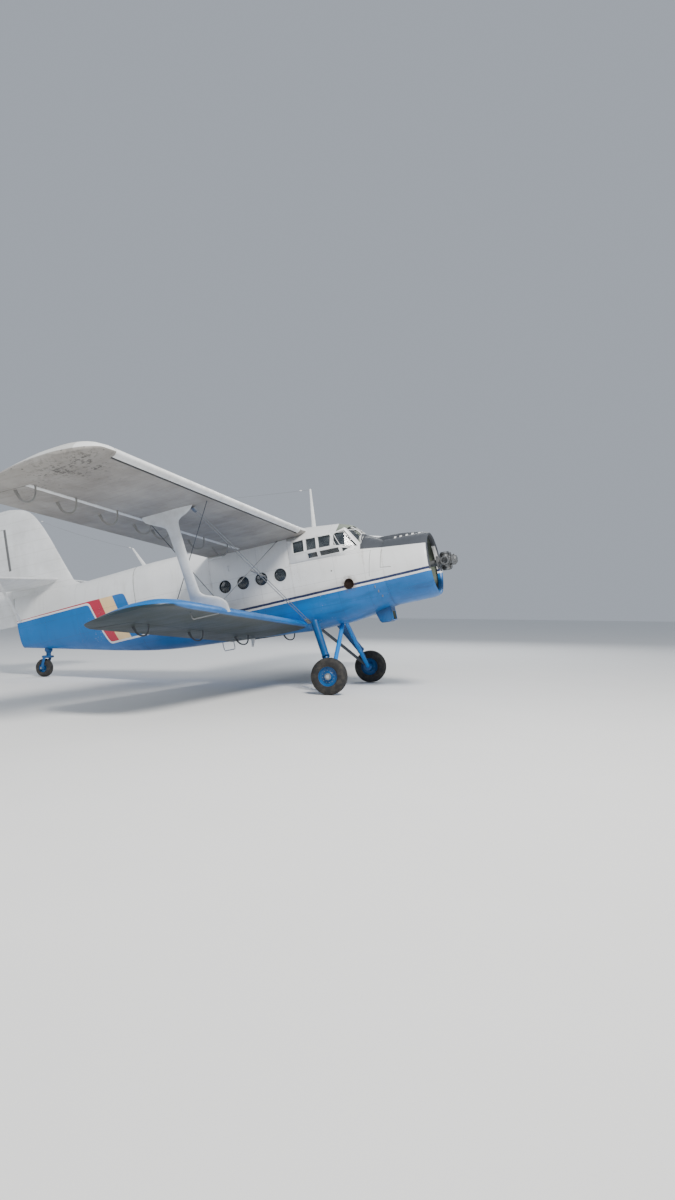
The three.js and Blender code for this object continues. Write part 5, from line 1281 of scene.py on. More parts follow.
def nose_and_aft(radius, grow, steps, tall, rear):
    """Outline of a round nose about a pivot and all that lies aft of it."""
    radius += grow
    start = math.acos(grow / radius)
    arc = [start - 2 * start * i / steps for i in range(steps + 1)]
    nose = [(radius * math.cos(a), radius * math.sin(a)) for a in arc]
    return [(grow, tall), *nose, (grow, -tall), (rear, -tall), (rear, tall)]


def hinge_zone(wing, hinge, y0, y1, grow=0):
    """Room of a hinged wing surface."""
    outline = nose_and_aft(hinge["radius"], grow, 28, 0.9, -1.6)
    rings = []
    for y in (y0, y1):
        pivot = pivot_at(wing, hinge, y)
        rings.append([(pivot.x + dx, y, pivot.z + dz) for dx, dz in outline])
    return Shape().loft(rings)


# Stage
CAMERA = {
    "place": (9.748, -19.54, 1.899), "yaw": -17.29, "pitch": 0.4, "roll": 0.48,
    "lens": 26.322, "sensor": 36.0}
LIGHTS = (
    ("key_light", (15.0, -15.0, 21.0), 7.0, 9000.0, (1.0, 0.97, 0.92)),
    ("fill_light", (-17.0, -19.0, 10.0), 14.0, 1100.0, (0.93, 0.96, 1.0)),
    ("back_light", (2.0, 22.0, 15.0), 12.0, 2200.0, (0.96, 0.98, 1.0)),
)


def build_stage():
    raw_object("studio_floor", Shape().slab((0, 0, -0.05), (240, 240, 0.1), 0.01), "floor")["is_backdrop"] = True
    scene = bpy.context.scene
    camera = linked("photo_camera", bpy.data.cameras.new("photo_camera"))
    camera.data.lens = CAMERA["lens"]
    camera.data.sensor_width = CAMERA["sensor"]
    camera.data.clip_end = 500
    yaw, pitch, roll = (math.radians(CAMERA[k]) for k in ("yaw", "pitch", "roll"))
    level = Vector((math.sin(yaw), math.cos(yaw), 0))
    ahead = level * math.cos(pitch) + Vector((0, 0, 1)) * math.sin(pitch)
    right = ahead.cross(Vector((0, 0, 1))).normalized()
    up = right.cross(ahead)
    turned = right * math.cos(roll) + up * math.sin(roll)
    raised = up * math.cos(roll) - right * math.sin(roll)
    place = Matrix((turned, raised, -ahead)).transposed().to_4x4()
    place.translation = Vector(CAMERA["place"])
    camera.matrix_world = place
    scene.camera = camera
    for name, spot, size, power, colour in LIGHTS:
        light = bpy.data.lights.new(name, "AREA")
        light.shape = "DISK"
        light.size = size
        light.energy = power
        light.color = colour
        lamp_obj = linked(name, light)
        lamp_obj.matrix_world = Vector(spot).to_track_quat("Z", "Y").to_matrix().to_4x4()
        lamp_obj.location = spot
    world = bpy.data.worlds.new("studio_world")
    world.use_nodes = True
    world.node_tree.nodes["Background"].inputs["Color"].default_value = (0.8, 0.88, 1.0, 1)
    world.node_tree.nodes["Background"].inputs["Strength"].default_value = 0.5
    scene.world = world


# Fuselage
def build_forward_fuselage(look):
    x, z, radius = EXHAUST_HOLE
    hole = Shape().lathe((x, -0.5, z), (0, -1, 0), ((0, radius), (0.5, radius)), 40, mark=1)
    skin = skin_shell(NOSE, NOSE_START, CABIN_START + 0.001, 36)
    piece("nose_skin", skin, SKIN, "forward_fuselage", cuts=(canopy_block(0.499), hole))
    level = -NOSE.side(x, z)
    pipe = Shape().lathe((x, level, z), (0, -1, 0), (
        (0.006, 0.1), (0.008, 0.106), (0.006, 0.116), (0.0, 0.118), (-0.004, 0.116), (-0.004, 0.104),
        (-0.042, 0.102), (-0.042, 0.092), (-0.01, 0.096)), 40, close=True)
    # Painted shade: a sooty disc set just inside the collar closes the pipe and stands for the dark inside of
    # the exhaust
    dark = ((0, 0), (0, 0.095), (0.006, 0.095), (0.006, 0))
    piece("exhaust_collar", pipe.lathe((x, level + 0.041, z), (0, -1, 0), dark, 40), "soot")


def hinge_line(x):
    return Vector((x, 0.824 + 0.021 * (x + 5.25), 1.046))


CARGO_KNUCKLES = (-5.48, -6.32)
CABIN_KNUCKLES = (-0.3, 0.82)
CABIN_HINGE = (-5.256, 0.776)
FIXED_PARTS = ((0.0403, 0.08), (-0.08, -0.0403))
MOVING_PART = ((-0.04, 0.04),)
KNUCKLE, KNUCKLE_ROOM = 0.012, 0.015
DOOR_LIFT = 0.007


def cargo_knuckle(parts, radius):
    shape = Shape()
    for centre in CARGO_KNUCKLES:
        for a, b in parts:
            shape.tube([hinge_line(centre + a), hinge_line(centre + b)], radius, 20)
    return shape


def cabin_knuckle(parts, radius):
    shape = Shape()
    for centre in CABIN_KNUCKLES:
        for a, b in parts:
            shape.tube([(*CABIN_HINGE, centre + a), (*CABIN_HINGE, centre + b)], radius, 20)
    return shape


def porthole_cut(x, side):
    return (x, side * 0.7, PORTHOLE_Z), (0, side, 0), ((0, PORTHOLE_RADIUS), (0.3, PORTHOLE_RADIUS)), 40


def door_block(door, gap=0, lift=0):
    low, high = door["bottom"] + gap, door["top"] - gap + lift
    return block(door["rear"] + gap, door["front"] - gap, 0.6, 1, low, high)


def build_cabin(look):
    holes = Shape()
    for side in (-1, 1):
        for x in PORTHOLE_XS:
            holes.lathe(*porthole_cut(x, side))
    door = CARGO_DOOR
    holes.absorb(door_block(door, lift=DOOR_LIFT))
    skin = skin_shell(HULL, CABIN_START, CONE_START + 0.001, 72)
    nodes = ("cabin_shell_front", "cabin_shell_rear")
    piece("cabin_skin", skin, SKIN, nodes, cuts=(holes, cargo_knuckle(((-0.041, 0.041),), KNUCKLE_ROOM)))
    piece("cargo_hinge_knuckles", cargo_knuckle(FIXED_PARTS, KNUCKLE), "wire", slot="white_paint")
    # Sill and frame round the door opening
    bars = Shape()
    bottom, top = door["bottom"], door["top"]
    for z0, z1 in ((bottom - 0.05, bottom - 0.012), (top + 0.012, top + 0.05)):
        outer = HULL.side(-5.9, z0) - SKIN_WALL - 0.002
        bars.absorb(block(door["rear"] - 0.04, door["front"] + 0.04, 0.7, outer, z0, z1))
    piece("door_frame_stiffeners", bars, "interior")


SWIVEL_UP = (math.sin(GROUND_ANGLE), 0, math.cos(GROUND_ANGLE))


def on_swivel(a, b, c):
    """Point given from the tail axle with its third measure upright when parked."""
    s, k = math.sin(GROUND_ANGLE), math.cos(GROUND_ANGLE)
    return Vector((TAIL_WHEEL.x + a * k + c * s, b, TAIL_WHEEL.z - a * s + c * k))


def build_tail_cone(look):
    piece("tail_skin", skin_shell(HULL, CONE_START, CONE_END, 56, -10.05), SKIN, "tail_cone")
    boss = Shape().lathe(on_swivel(0.12, 0, 0.4205), SWIVEL_UP, (
        (0, 0), (0, 0.088), (0.006, 0.095), (0.03, 0.095), (0.04, 0.102), (0.055, 0.102), (0.07, 0.095),
        (0.17, 0.09), (0.17, 0)))
    piece("tail_swivel_boss", boss, "gear", slot="white_paint")


def build_doors(look):
    door, small = CARGO_DOOR, CABIN_DOOR
    cuts = (door_block(small), cargo_knuckle(((0.04, 0.082), (-0.082, -0.04)), KNUCKLE_ROOM))
    panel = skin_shell(HULL, door["front"] + 0.1, door["rear"] - 0.1, 28)
    piece("cargo_door_skin", panel, SKIN, "cargo_door", "cargo_door", cuts, [door_block(door, door["gap"])])
    fittings = cargo_knuckle(MOVING_PART, KNUCKLE).absorb(cabin_knuckle(FIXED_PARTS, KNUCKLE))
    inner = CABIN_HINGE[1] - 0.008
    for z in CABIN_KNUCKLES:
        for part in FIXED_PARTS:
            low, high = sorted(part)
            fittings.absorb(block(CABIN_HINGE[0], small["front"] + 0.03, inner, 0.82, z + low, z + high))
    x, z = door["rear"] + 0.1, 0.1
    skin = HULL.side(x, z)
    fittings.tube([(x, skin - 0.004, z), (x, skin + 0.035, z), (x + 0.05, skin + 0.042, z),
                   (x + 0.13, skin + 0.04, z)], 0.009, 12)
    piece("cargo_door_fittings", fittings, "wire", body="cargo_door", sharp=40)
    gap = small["gap"]
    panel = skin_shell(HULL, small["front"] + 0.1, small["rear"] - 0.1, 20)
    window = Shape().lathe(*porthole_cut(DOOR_WINDOW_X, 1))
    piece("cabin_door_skin", panel, SKIN, "cabin_door", "cabin_door", [window], [door_block(small, gap)])
    fittings = cabin_knuckle(MOVING_PART, KNUCKLE)
    for at in CABIN_KNUCKLES:
        fittings.absorb(block(small["front"] - gap - 0.03, CABIN_HINGE[0], inner, 0.82, at - 0.04, at + 0.04))
    x = small["rear"] + 0.12
    skin = HULL.side(x, z)
    fittings.lathe((x, skin - 0.003, z), (0, 1, 0), (
        (0, 0), (0, 0.03), (0.008, 0.028), (0.012, 0.012), (0.03, 0.01), (0.03, 0)), 24)
    lever = [(x, skin + 0.03, z), (x + 0.06, skin + 0.034, z - 0.01), (x + 0.12, skin + 0.032, z - 0.012)]
    fittings.tube(lever, 0.008, 12, 0.7)
    piece("cabin_door_fittings", fittings, "wire", body="cabin_door", sharp=40)
    for (label, coat), shape in zip(PORTHOLE_PARTS, porthole(DOOR_WINDOW_X, 1)):
        piece(f"door_window_{label}", shape, coat, body="cabin_door")


PORTHOLE_PARTS = (("glass", "glass"), ("rim", "fuselage"), ("seal", "seal"))


def porthole(x, side):
    """Slightly domed glass, rim and seal of one round window."""
    centre = (x, side * HULL.side(x, PORTHOLE_Z), PORTHOLE_Z)
    radius = PORTHOLE_RADIUS - 0.0015
    dome = [(-0.034, radius), (-0.03, radius)] + [
        (-0.03 + 0.026 * (1 - (k / 8) ** 2), radius * k / 8) for k in range(8, -1, -1)]
    dome += [(-0.034 + 0.026 * (1 - (k / 8) ** 2), (radius - 0.002) * k / 8) for k in range(0, 9)]
    rim = (
        (-0.012, 0.1515), (0.004, 0.1515), (0.0065, 0.154), (0.0065, 0.176), (0.0045, 0.18), (-0.004, 0.18),
        (-0.004, 0.153), (-0.012, 0.153))
    seal = ((-0.036, 0.138), (-0.036, 0.1518), (-0.02, 0.1518), (-0.018, 0.145), (-0.02, 0.138))
    return [Shape().lathe(centre, (0, side, 0), profile, sides, close=True)
            for profile, sides in ((dome, 40), (rim, 48), (seal, 40))]


def peg_ring(name, spot, turn_axis, count, circle_radius, radius, height, coat="wire", sides=6):
    """Pegs on a circle about the turned Z axis, such as bolts and screws."""
    values = {"Count": count, "Circle": circle_radius, "Radius": radius, "Height": height, "Sides": sides}
    face = Matrix.Translation(spot) @ Matrix.Rotation(math.pi / 2, 4, turn_axis)
    return grown(name, "ring", values, coat, place=face)


def build_cabin_windows(look):
    for side, label in ((1, "left"), (-1, "right")):
        parts = [Shape(), Shape(), Shape()]
        screws = []
        for x in PORTHOLE_XS:
            for whole, part in zip(parts, porthole(x, side)):
                whole.absorb(part)
            spot = (x, side * (HULL.side(x, PORTHOLE_Z) + 0.0065), PORTHOLE_Z)
            screws.append(peg_ring("screws", spot, "X", 16, 0.166, 0.0042, 0.004, sides=8))
        piece(f"cabin_panes_{label}", parts[0], "glass", f"cabin_windows_{label}")
        piece(f"porthole_rims_{label}", parts[1], "fuselage")
        piece(f"porthole_seals_{label}", parts[2], "seal")
        finish_piece(merged(f"porthole_screws_{label}", screws))


# Cowl, oil cooler, engine and hub
def build_cowl(look):
    sides = 120
    shape = Shape().lathe((0, 0, 0), (1, 0, 0), COWL_OUTER + COWL_LIP + COWL_INNER, sides, close=True)
    lip_from = len(COWL_OUTER) * sides
    inner_from = lip_from + len(COWL_LIP) * sides
    shape.marks = [2 if k >= inner_from else 1 if k >= lip_from else 0 for k in range(len(shape.faces))]
    piece("cowl_skin", shape, ("fuselage", "fuselage", "interior"), "engine_cowl", slot="blue_paint")
    core = [(-1.06, 0), (-1.06, 0.75), *[(x, r * 0.985) for x, r in COWL_OUTER], (0.02, 0.66), (0.02, 0)]
    core = Shape().lathe((0, 0, 0), (1, 0, 0), core, sides)
    cuts = (core, solid_body(NOSE, NOSE_START, -3, 24, 0.008), canopy_block(0.44))
    hump = solid_body(INTAKE, -0.07, -1.438, 44, count=64)
    piece("intake_hump", hump, "fuselage", "intake_duct", cuts=cuts)


SCOOP = (
    (-1.13, -0.69), (-1.13, -1.045), (-1.15, -1.078), (-1.19, -1.108), (-1.27, -1.11), (-1.4, -1.103),
    (-1.44, -1.06), (-1.5, -0.88), (-1.5, -0.69))


def build_oil_cooler(look):
    half = 0.215
    middle = Vector((-1.31, 0, -0.86))
    rings = []
    edges = ((0, 0.022), (0.006, 0.01), (0.018, 0.002), (0.035, 0))
    ends = [(in_by - half, inset) for in_by, inset in edges]
    for y, inset in ends + [(-y, inset) for y, inset in ends[::-1]]:
        ring = []
        for x, z in SCOOP:
            dx, dz = x - middle.x, z - middle.z
            size = math.hypot(dx, dz)
            ring.append((middle.x + dx * (1 - inset / size), y, middle.z + dz * (1 - inset / size)))
        rings.append(ring)
    mouth = block(-1.3, -1.1, -0.175, 0.175, -1.075, -0.88, 1)
    cuts = (mouth, solid_body(NOSE, NOSE_START, -3, 24, 0.004))
    coats = ("gear", "interior")
    piece("oil_cooler_scoop", Shape().loft(rings), coats, "oil_cooler", cuts=cuts, slot="blue_paint")
    core = Shape()
    for k in range(22):
        y = -0.168 + 0.016 * k
        core.absorb(block(-1.299, -1.255, y - 0.0012, y + 0.0012, -1.074, -0.881))
    for k in range(7):
        z = -1.06 + 0.028 * k
        core.tube([(-1.266, -0.174, z), (-1.266, 0.174, z)], 0.006, 8)
    piece("oil_cooler_core", core, "engine")
    lip = [(-1.13, -0.175, -0.885), (-1.128, -0.175, -1.07), (-1.128, -0.16, -1.078)]
    lip += [(x, -y, z) for x, y, z in lip[::-1]]
    # Painted highlight: the lip takes the sunlit copy of the gear paint
    piece("oil_cooler_lip", Shape().tube(lip, 0.007, 12), "light_gear", slot="blue_paint")


CYLINDERS = 9


def build_engine(look):
    case = Shape().lathe((0, 0, 0), (1, 0, 0), (
        (-0.96, 0), (-0.96, 0.3), (-0.94, 0.32), (-0.8, 0.335), (-0.43, 0.335), (-0.415, 0.322),
        (-0.375, 0.262), (-0.36, 0.262), (-0.35, 0.247), (-0.26, 0.228), (-0.225, 0.218), (-0.2, 0.198),
        (-0.15, 0.14), (-0.125, 0.118), (-0.1201, 0.108), (-0.1201, 0)), 72)
    for k in range(4):
        angle = math.pi / 4 + k * math.pi / 2
        c, s = math.cos(angle), math.sin(angle)
        case.tube([(-0.9, 0.24 * c, 0.24 * s), (-1.4298, 0.527 * c, 0.527 * s)], 0.026)
    heads, pipes = Shape(), Shape()
    for k in range(CYLINDERS):
        turn = Matrix.Rotation(k * 2 * math.pi / CYLINDERS, 3, "X")
        part = Shape().lathe((-0.6, 0, 0.28), (0, 0, 1), (
            (0, 0), (0, 0.086), (0.2, 0.086), (0.215, 0.1), (0.31, 0.098), (0.36, 0.075), (0.374, 0.03),
            (0.374, 0)), 24)
        for side in (-1, 1):
            lean = Matrix.Rotation(side * -0.35, 3, "X")
            part.slab((-0.555, side * 0.062, 0.628), (0.13, 0.055, 0.05), 0.012, lean)
        heads.absorb(part.turned(turn))
        part = Shape()
        for side in (-1, 1):
            part.tube([(-0.4, side * 0.045, 0.3), (-0.49, side * 0.06, 0.6)], 0.011, 10)
        lead = [(-0.385, 0.02, 0.285), (-0.44, 0.1, 0.36), (-0.47, 0.105, 0.5), (-0.5, 0.075, 0.585)]
        part.tube(lead, 0.006, 8)
        part.tube([(-0.83, 0, 0.33), (-0.8, 0.09, 0.44), (-0.72, 0.1, 0.56), (-0.66, 0.06, 0.6)], 0.032, 12)
        pipes.absorb(part.turned(turn))
    turns = between(0, 2 * math.pi, 49)
    pipes.tube([(-0.372, 0.292 * math.cos(a), 0.292 * math.sin(a)) for a in turns], 0.014, 12)
    piece("crankcase", case, "crankcase", "radial_engine")
    piece("cylinder_heads", heads, "engine")
    piece("push_rods_and_pipes", pipes, "soot")
    fins = grown("cylinder_fins", "cylinders", {
        "Cylinders": CYLINDERS, "Fins": look.engine_fins, "Pitch": 0.017, "Fin Radius": 0.118,
        "Fin Thickness": 0.0035, "Foot": 0.335}, "engine", place=Matrix.Translation((-0.6, 0, 0)))
    finish_piece(fins, sharp=40)
    bolts = peg_ring("crankcase_bolts", (-0.363, 0, 0), "Y", 18, 0.252, 0.009, 0.03, "hub")
    finish_piece(bolts)


HUB_MIDDLE = 0.265


def build_hub(look):
    shape = Shape().lathe((0, 0, 0), (1, 0, 0), (
        (-0.1197, 0), (-0.1197, 0.066), (-0.115, 0.07), (0.055, 0.07), (0.06, 0.075), (0.06, 0.145),
        (0.065, 0.15), (0.105, 0.15), (0.11, 0.145), (0.114, 0.12), (0.13, 0.105), (0.395, 0.105),
        (0.4, 0.118), (0.406, 0.125), (0.464, 0.125), (0.47, 0.119), (0.474, 0.104), (0.5, 0.094),
        (0.518, 0.08), (0.524, 0.06), (0.524, 0.04), (0.505, 0.038), (0.505, 0)), 56)
    part = Shape().lathe((HUB_MIDDLE, 0, 0), (0, 0, 1), (
        (0.02, 0), (0.02, 0.098), (0.1, 0.098), (0.112, 0.09), (0.12, 0.086), (0.15, 0.086), (0.158, 0.094),
        (0.166, 0.101), (0.198, 0.101), (0.205, 0.094), (0.205, 0.07), (0.2, 0.066), (0.115, 0.066),
        (0.112, 0.05), (0.112, 0)), 44)
    for side in (-1, 1):
        x = HUB_MIDDLE + side * 0.104
        part.slab((x, 0, 0.135), (0.036, 0.06, 0.09), 0.01)
        part.tube([(x, -0.042, 0.16), (x, 0.042, 0.16)], 0.009, 8)
    part.slab((0.372, 0.055, 0.15), (0.055, 0.05, 0.075), 0.012)
    for k in range(4):
        shape.absorb(part.turned(Matrix.Rotation(k * math.pi / 2, 3, "X")))
    piece("hub_body", shape, "hub", "propeller_hub", "propeller")
    bolts = [peg_ring("hub_bolts", (0.112, 0, 0), "Y", 12, 0.134, 0.009, 0.022),
             peg_ring("cap_bolts", (0.471, 0, 0), "Y", 16, 0.113, 0.006, 0.014)]
    finish_piece(merged("hub_bolts", bolts), body="propeller")


# Canopy and cockpit
def build_canopy(look):
    made = smooth_copy("canopy_frame", "canopy_frame_skin", SKIN, 24)
    outer = ray_tree(canopy_block(0.3))
    to_flight = FLIGHT.inverted()
    for face in made.data.polygons:
        depth = outer.find_nearest(to_flight @ face.center)[3]
        face.material_index = 1 if depth > CANOPY_DEPTH else 0
    beads, rails, wiper = Shape(), Shape(), Shape()
    for pane in SIDE_PANES:
        for side in (-1, 1):
            beads.tube(outline_on(outer, pane, lambda u, v, s=side: (u, s * 2, v), (0, -side, 0)), 0.008, 8)
    for pane in SCREEN_PANES:
        beads.tube(outline_on(outer, pane, lambda u, v: (0, u, v), (-1, 0, 0)), 0.009, 8)
    piece("pane_beads", beads, "trim", sharp=50)
    paths = []
    for side in (-1, 1):
        for z in (0.752, 1.062):
            rails.tube(side_hits(outer, side, z, between(-1.8, -2.97, 24)), 0.006, 8)
        for z in (0.59, 1.085):
            paths.append(side_hits(outer, side, z, between(-1.66, -3.09, 40)))
    piece("canopy_rails", rails, "trim", sharp=50)
    off = Vector((0.022, 0, 0.012))
    for y in (-0.33, 0.33):
        ends = (Vector((0, y, 0.96)), Vector((0, y + 0.1, 1.17)))
        foot, tip = (outer.ray_cast(end, Vector((-1, 0, 0)))[0] for end in ends)
        wiper.tube([foot + off * 0.4, foot + off, tip + off], 0.005, 8)
        middle = tip + off * 0.5
        wiper.tube([middle + Vector((0, -0.05, -0.12)), middle + Vector((0, 0.02, 0.04))], 0.006, 8)
        wiper.lathe(foot, (1, 0, 0.4), ((0, 0), (0, 0.016), (0.018, 0.014), (0.022, 0)), 16)
    piece("wipers", wiper, "seal", slot="wire_steel")
    finish_piece(rivets("canopy_rivets", look, paths))
    dress("canopy_glass", "glass")


SEAT_Y = 0.37


def pad(name, centre, size, replaced=(), tilt=0):
    """Crowned cushion with sewn channels, rounded by subdivision."""
    hx, hy, hz = (s / 2 for s in size)
    cells = 12
    row = cells + 1
    top, bottom = [], []
    turn = Matrix.Rotation(tilt, 3, "Y")
    for j in range(row):
        for i in range(row):
            u, v = i / cells * 2 - 1, j / cells * 2 - 1
            crown = (1 - abs(u) ** 3) * (1 - abs(v) ** 3)
            x = u * hx * (1 - 0.035 * (1 - v * v) * abs(u) ** 3)
            y = v * hy * (1 - 0.035 * (1 - u * u) * abs(v) ** 3)
            groove = 0.01 * sum(math.exp(-((v - c) / 0.05) ** 2) for c in (-0.5, 0, 0.5)) * (1 - u ** 8)
            top.append(turn @ Vector((x, y, hz * (0.45 + 0.55 * crown) - groove)))
            bottom.append(turn @ Vector((x, y, -hz * (0.75 + 0.25 * crown))))
    count = row * row
    faces = []
    for j in range(cells):
        for i in range(cells):
            a = j * row + i
            faces.append((a, a + 1, a + row + 1, a + row))
            faces.append((count + a, count + a + row, count + a + row + 1, count + a + 1))
    edge = [i for i in range(cells)] + [cells + j * row for j in range(cells)]
    edge += [cells * row + i for i in range(cells, 0, -1)] + [j * row for j in range(cells, 0, -1)]
    faces += [(a, a + count, b + count, b) for a, b in zip(edge, edge[1:] + edge[:1])]
    obj = raw_object(name, Shape().add([Vector(centre) + p for p in top + bottom], faces), "seat")
    level = obj.modifiers.new("round", "SUBSURF")
    level.levels = level.render_levels = 2
    settle(obj)
    finish_piece(obj, replaced, sharp=60)


def build_cockpit(look):
    for node in ("cockpit_floor", "crew_bulkhead", "rear_bulkhead", "cabin_floor", "firewall"):
        dress(node, "interior")
    for side, label in ((1, "left"), (-1, "right")):
        y = SEAT_Y * side
        shape = Shape().slab((-2.53, y, 0.232), (0.44, 0.42, 0.022), 0.008)
        shape.slab((-2.826, y, 0.54), (0.02, 0.42, 0.62), 0.008)
        for at in (y - 0.2, y + 0.2):
            shape.tube([(-2.32, at, 0.225), (-2.7, at, 0.225), (-2.8, at, 0.3), (-2.82, at, 0.84)], 0.012, 12)
        shape.slab((-2.52, y, 0.06), (0.18, 0.1, 0.32), 0.01)
        shape.slab((-2.52, y, -0.08), (0.24, 0.3, 0.036), 0.01)
        piece(f"seat_frame_{label}", shape, "interior")
        pad(f"seat_cushion_{label}", (-2.53, y, 0.275), (0.45, 0.42, 0.062), f"pilot_seat_{label}")
        pad(f"back_cushion_{label}", (-2.785, y, 0.59), (0.5, 0.42, 0.062), (), math.pi / 2)
    board = Shape().slab((-1.73, 0, 0.615), (0.06, 1.12, 0.37), 0.02)
    board.slab((-1.745, 0, 0.168), (0.11, 0.3, 0.535), 0.015)
    board.slab((-1.7, 0, 0.812), (0.1, 1.12, 0.03), 0.014)
    piece("instrument_board", board, "panel", "instrument_panel")
    bezel = ((0, 0.04), (0, 0.05), (0.01, 0.05), (0.012, 0.047), (0.01, 0.042), (0.004, 0.041))
    dials, yokes = Shape(), Shape()
    for y in (-0.46, -0.34, -0.22, 0.22, 0.34, 0.46, -0.08, 0.08):
        for z in (0.53, 0.66):
            dials.lathe((-1.758, y, z), (-1, 0, 0), bezel, 28, close=True)
            dials.lathe((-1.758, y, z), (-1, 0, 0), ((0, 0), (0, 0.036), (0.003, 0.036), (0.003, 0)), 24)
    piece("dials", dials, "dial")
    for y in (-SEAT_Y, SEAT_Y):
        rim = between(-0.5 * math.pi - 2.2, -0.5 * math.pi + 2.2, 24)
        yokes.tube([(-1.74, y, 0.52), (-1.99, y, 0.54)], 0.02)
        yokes.tube([(-1.99, y + 0.15 * math.cos(a), 0.54 + 0.13 * math.sin(a)) for a in rim], 0.014, 12)
        yokes.tube([(-1.99, y - 0.13, 0.52), (-1.99, y + 0.13, 0.52)], 0.012, 12)
        for side in (-0.1, 0.1):
            yokes.slab((-1.7, y + side, -0.02), (0.03, 0.09, 0.12), 0.01)
    piece("control_wheels", yokes, "panel")


# Wings
def build_surface(name, wing, hinge, span, coat, look):
    """Flap or aileron: the part of the wing that lies within its hinge's room."""
    surface = wing_blank(wing, span[0] - 0.01, look, end=span[1] + 0.01)
    both_sides(f"{name}_skin", surface, coat, name, f"{name}_", keep=[hinge_zone(wing, hinge, *span)])


def build_upper_wings(look):
    wing, hinge, root = UPPER_WING, UPPER_HINGE, UPPER_WING["root"]
    centre = {**wing, "rise": 0, "z": wing["z"] + wing["rise"] * (root - 0.8)}
    half = root - 0.0004
    middle = Shape().loft([wing_ring(centre, y, look) for y in between(-half, half, 19)])
    cuts = (solid_body(HULL, CABIN_START, -7, 40, 0.006), canopy_block(0.44, 0.006))
    piece("wing_centre_skin", middle, "upper_cloth", "upper_wing_centre", cuts=cuts)
    room = ((0.154, 0.2), (-0.1, 0.2), (-0.1, -0.1), (0.041, -0.1)) + NOSE_FRONT[::-1]
    ends = (UPPER_FLAP_SPAN[0] - COVE_MARGIN, AILERON_SPAN[1] + COVE_MARGIN)
    cuts = (span_prism(wing, room, SLAT_SPAN[0] - 0.01, SLAT_SPAN[1] + 0.01),
            hinge_zone(wing, hinge, *ends, hinge["gap"]))
    both_sides("upper_wing_skin", wing_blank(wing, root, look), "upper_cloth", "upper_wing", cuts=cuts)
    surfaces = (("upper_flap", UPPER_FLAP_SPAN), ("aileron", AILERON_SPAN))
    for name, span in surfaces:
        build_surface(name, wing, hinge, span, "upper_cloth", look)
    top = [(s, UPPER_CURVE(math.sqrt(s))) for s in (r * r for r in between(math.sqrt(0.148), 0, 14))]
    low = [(s, LOWER_CURVE(math.sqrt(s))) for s in (r * r for r in between(0, math.sqrt(0.0345), 7)[1:])]
    outline = top + low + list(SLAT_BACK[::-1])[1:-1]
    ys = wing_stations(*SLAT_SPAN, look)
    slat = Shape().loft([[wing_point(wing, s, t, y) for s, t in outline] for y in ys])
    both_sides("slat_skin", slat, "trim", "slat", "slat_", sharp=28)
    arms = Shape()
    away = Vector((-math.cos(math.radians(20)), 0, math.sin(math.radians(20))))
    for y in (1.7, 4.7, 7.7):
        start = Vector(wing_point(wing, 0.035, 0.004, y))
        arms.tube([start + away * 0.004, start + away * 0.105], 0.0115)
    both_sides("slat_arms", arms, "wire", body="slat_")
    hinge_brackets("upper_hinges", wing, hinge, UPPER_BRACKETS, "bracket", "wing_fabric")
    for name, span in surfaces:
        spots = [y for y in UPPER_BRACKETS if span[0] < y < span[1]]
        hinge_webs(name, wing, hinge, spots, "bracket", "wing_fabric")
    tip = Vector(wing_point(wing, 0.2, 0.015, 8.96))
    lamps = Shape().tube([tip + Vector((0.03, -0.02, 0)), tip + Vector((0.03, 0.045, 0))], [0.034, 0.022], 20)
    piece("wing_lamp_left", lamps, "red_lamp")
    piece("wing_lamp_right", lamps.mirrored(), "green_lamp")


CRESCENT = (
    (0.0, 0.0), (0.12, -0.28), (0.36, -0.5), (0.64, -0.57), (0.86, -0.47), (0.985, -0.22), (1.02, 0.0),
    (1.015, 0.14))
WEB = ((-0.034, 0.044), (0.034, 0.044), (0.022, 0.008), (0.016, -0.014), (-0.016, -0.014), (-0.022, 0.008))


def hinge_brackets(name, wing, hinge, spots, coat, slot):
    """Curved plates under the wing that reach across the slot to the hinge pins."""
    plates = Shape()
    size = hinge["radius"] + 0.035
    last = len(CRESCENT) - 1
    across, down = (smooth_through(range(last + 1), [row[k] * size for row in CRESCENT]) for k in (0, 1))
    line = [Vector((across(t), down(t))) for t in between(0, last, 25)]
    edges = ([], [])
    for k, point in enumerate(line):
        ahead = (line[min(k + 1, len(line) - 1)] - line[max(k - 1, 0)]).normalized()
        out = Vector((-ahead.y, ahead.x)) * (0.015 + 0.008 * (1 - min(k, 6) / 6))
        edges[0].append(tuple(point + out))
        edges[1].append(tuple(point - out))
    back = [tuple(line[0] + Vector((math.cos(a), math.sin(a))) * 0.023) for a in between(-2.95, -4.75, 5)]
    for y in spots:
        plates.prism(edges[0][::-1] + back[::-1] + edges[1], 0.01, pivot_at(wing, hinge, y))
    both_sides(name, plates, coat, slot=slot, sharp=40)


def hinge_webs(surface, wing, hinge, spots, coat, slot):
    """Small plates on a moving surface with the pins that sit in the curved plates."""
    webs = Shape()
    for y in spots:
        x, _, z = pivot_at(wing, hinge, y)
        webs.prism(WEB, 0.01, (x, y + 0.018, z))
        webs.tube([(x, y - 0.014, z), (x, y + 0.018, z)], 0.011)
    both_sides(f"{surface}_webs", webs, coat, body=f"{surface}_", slot=slot, sharp=40)


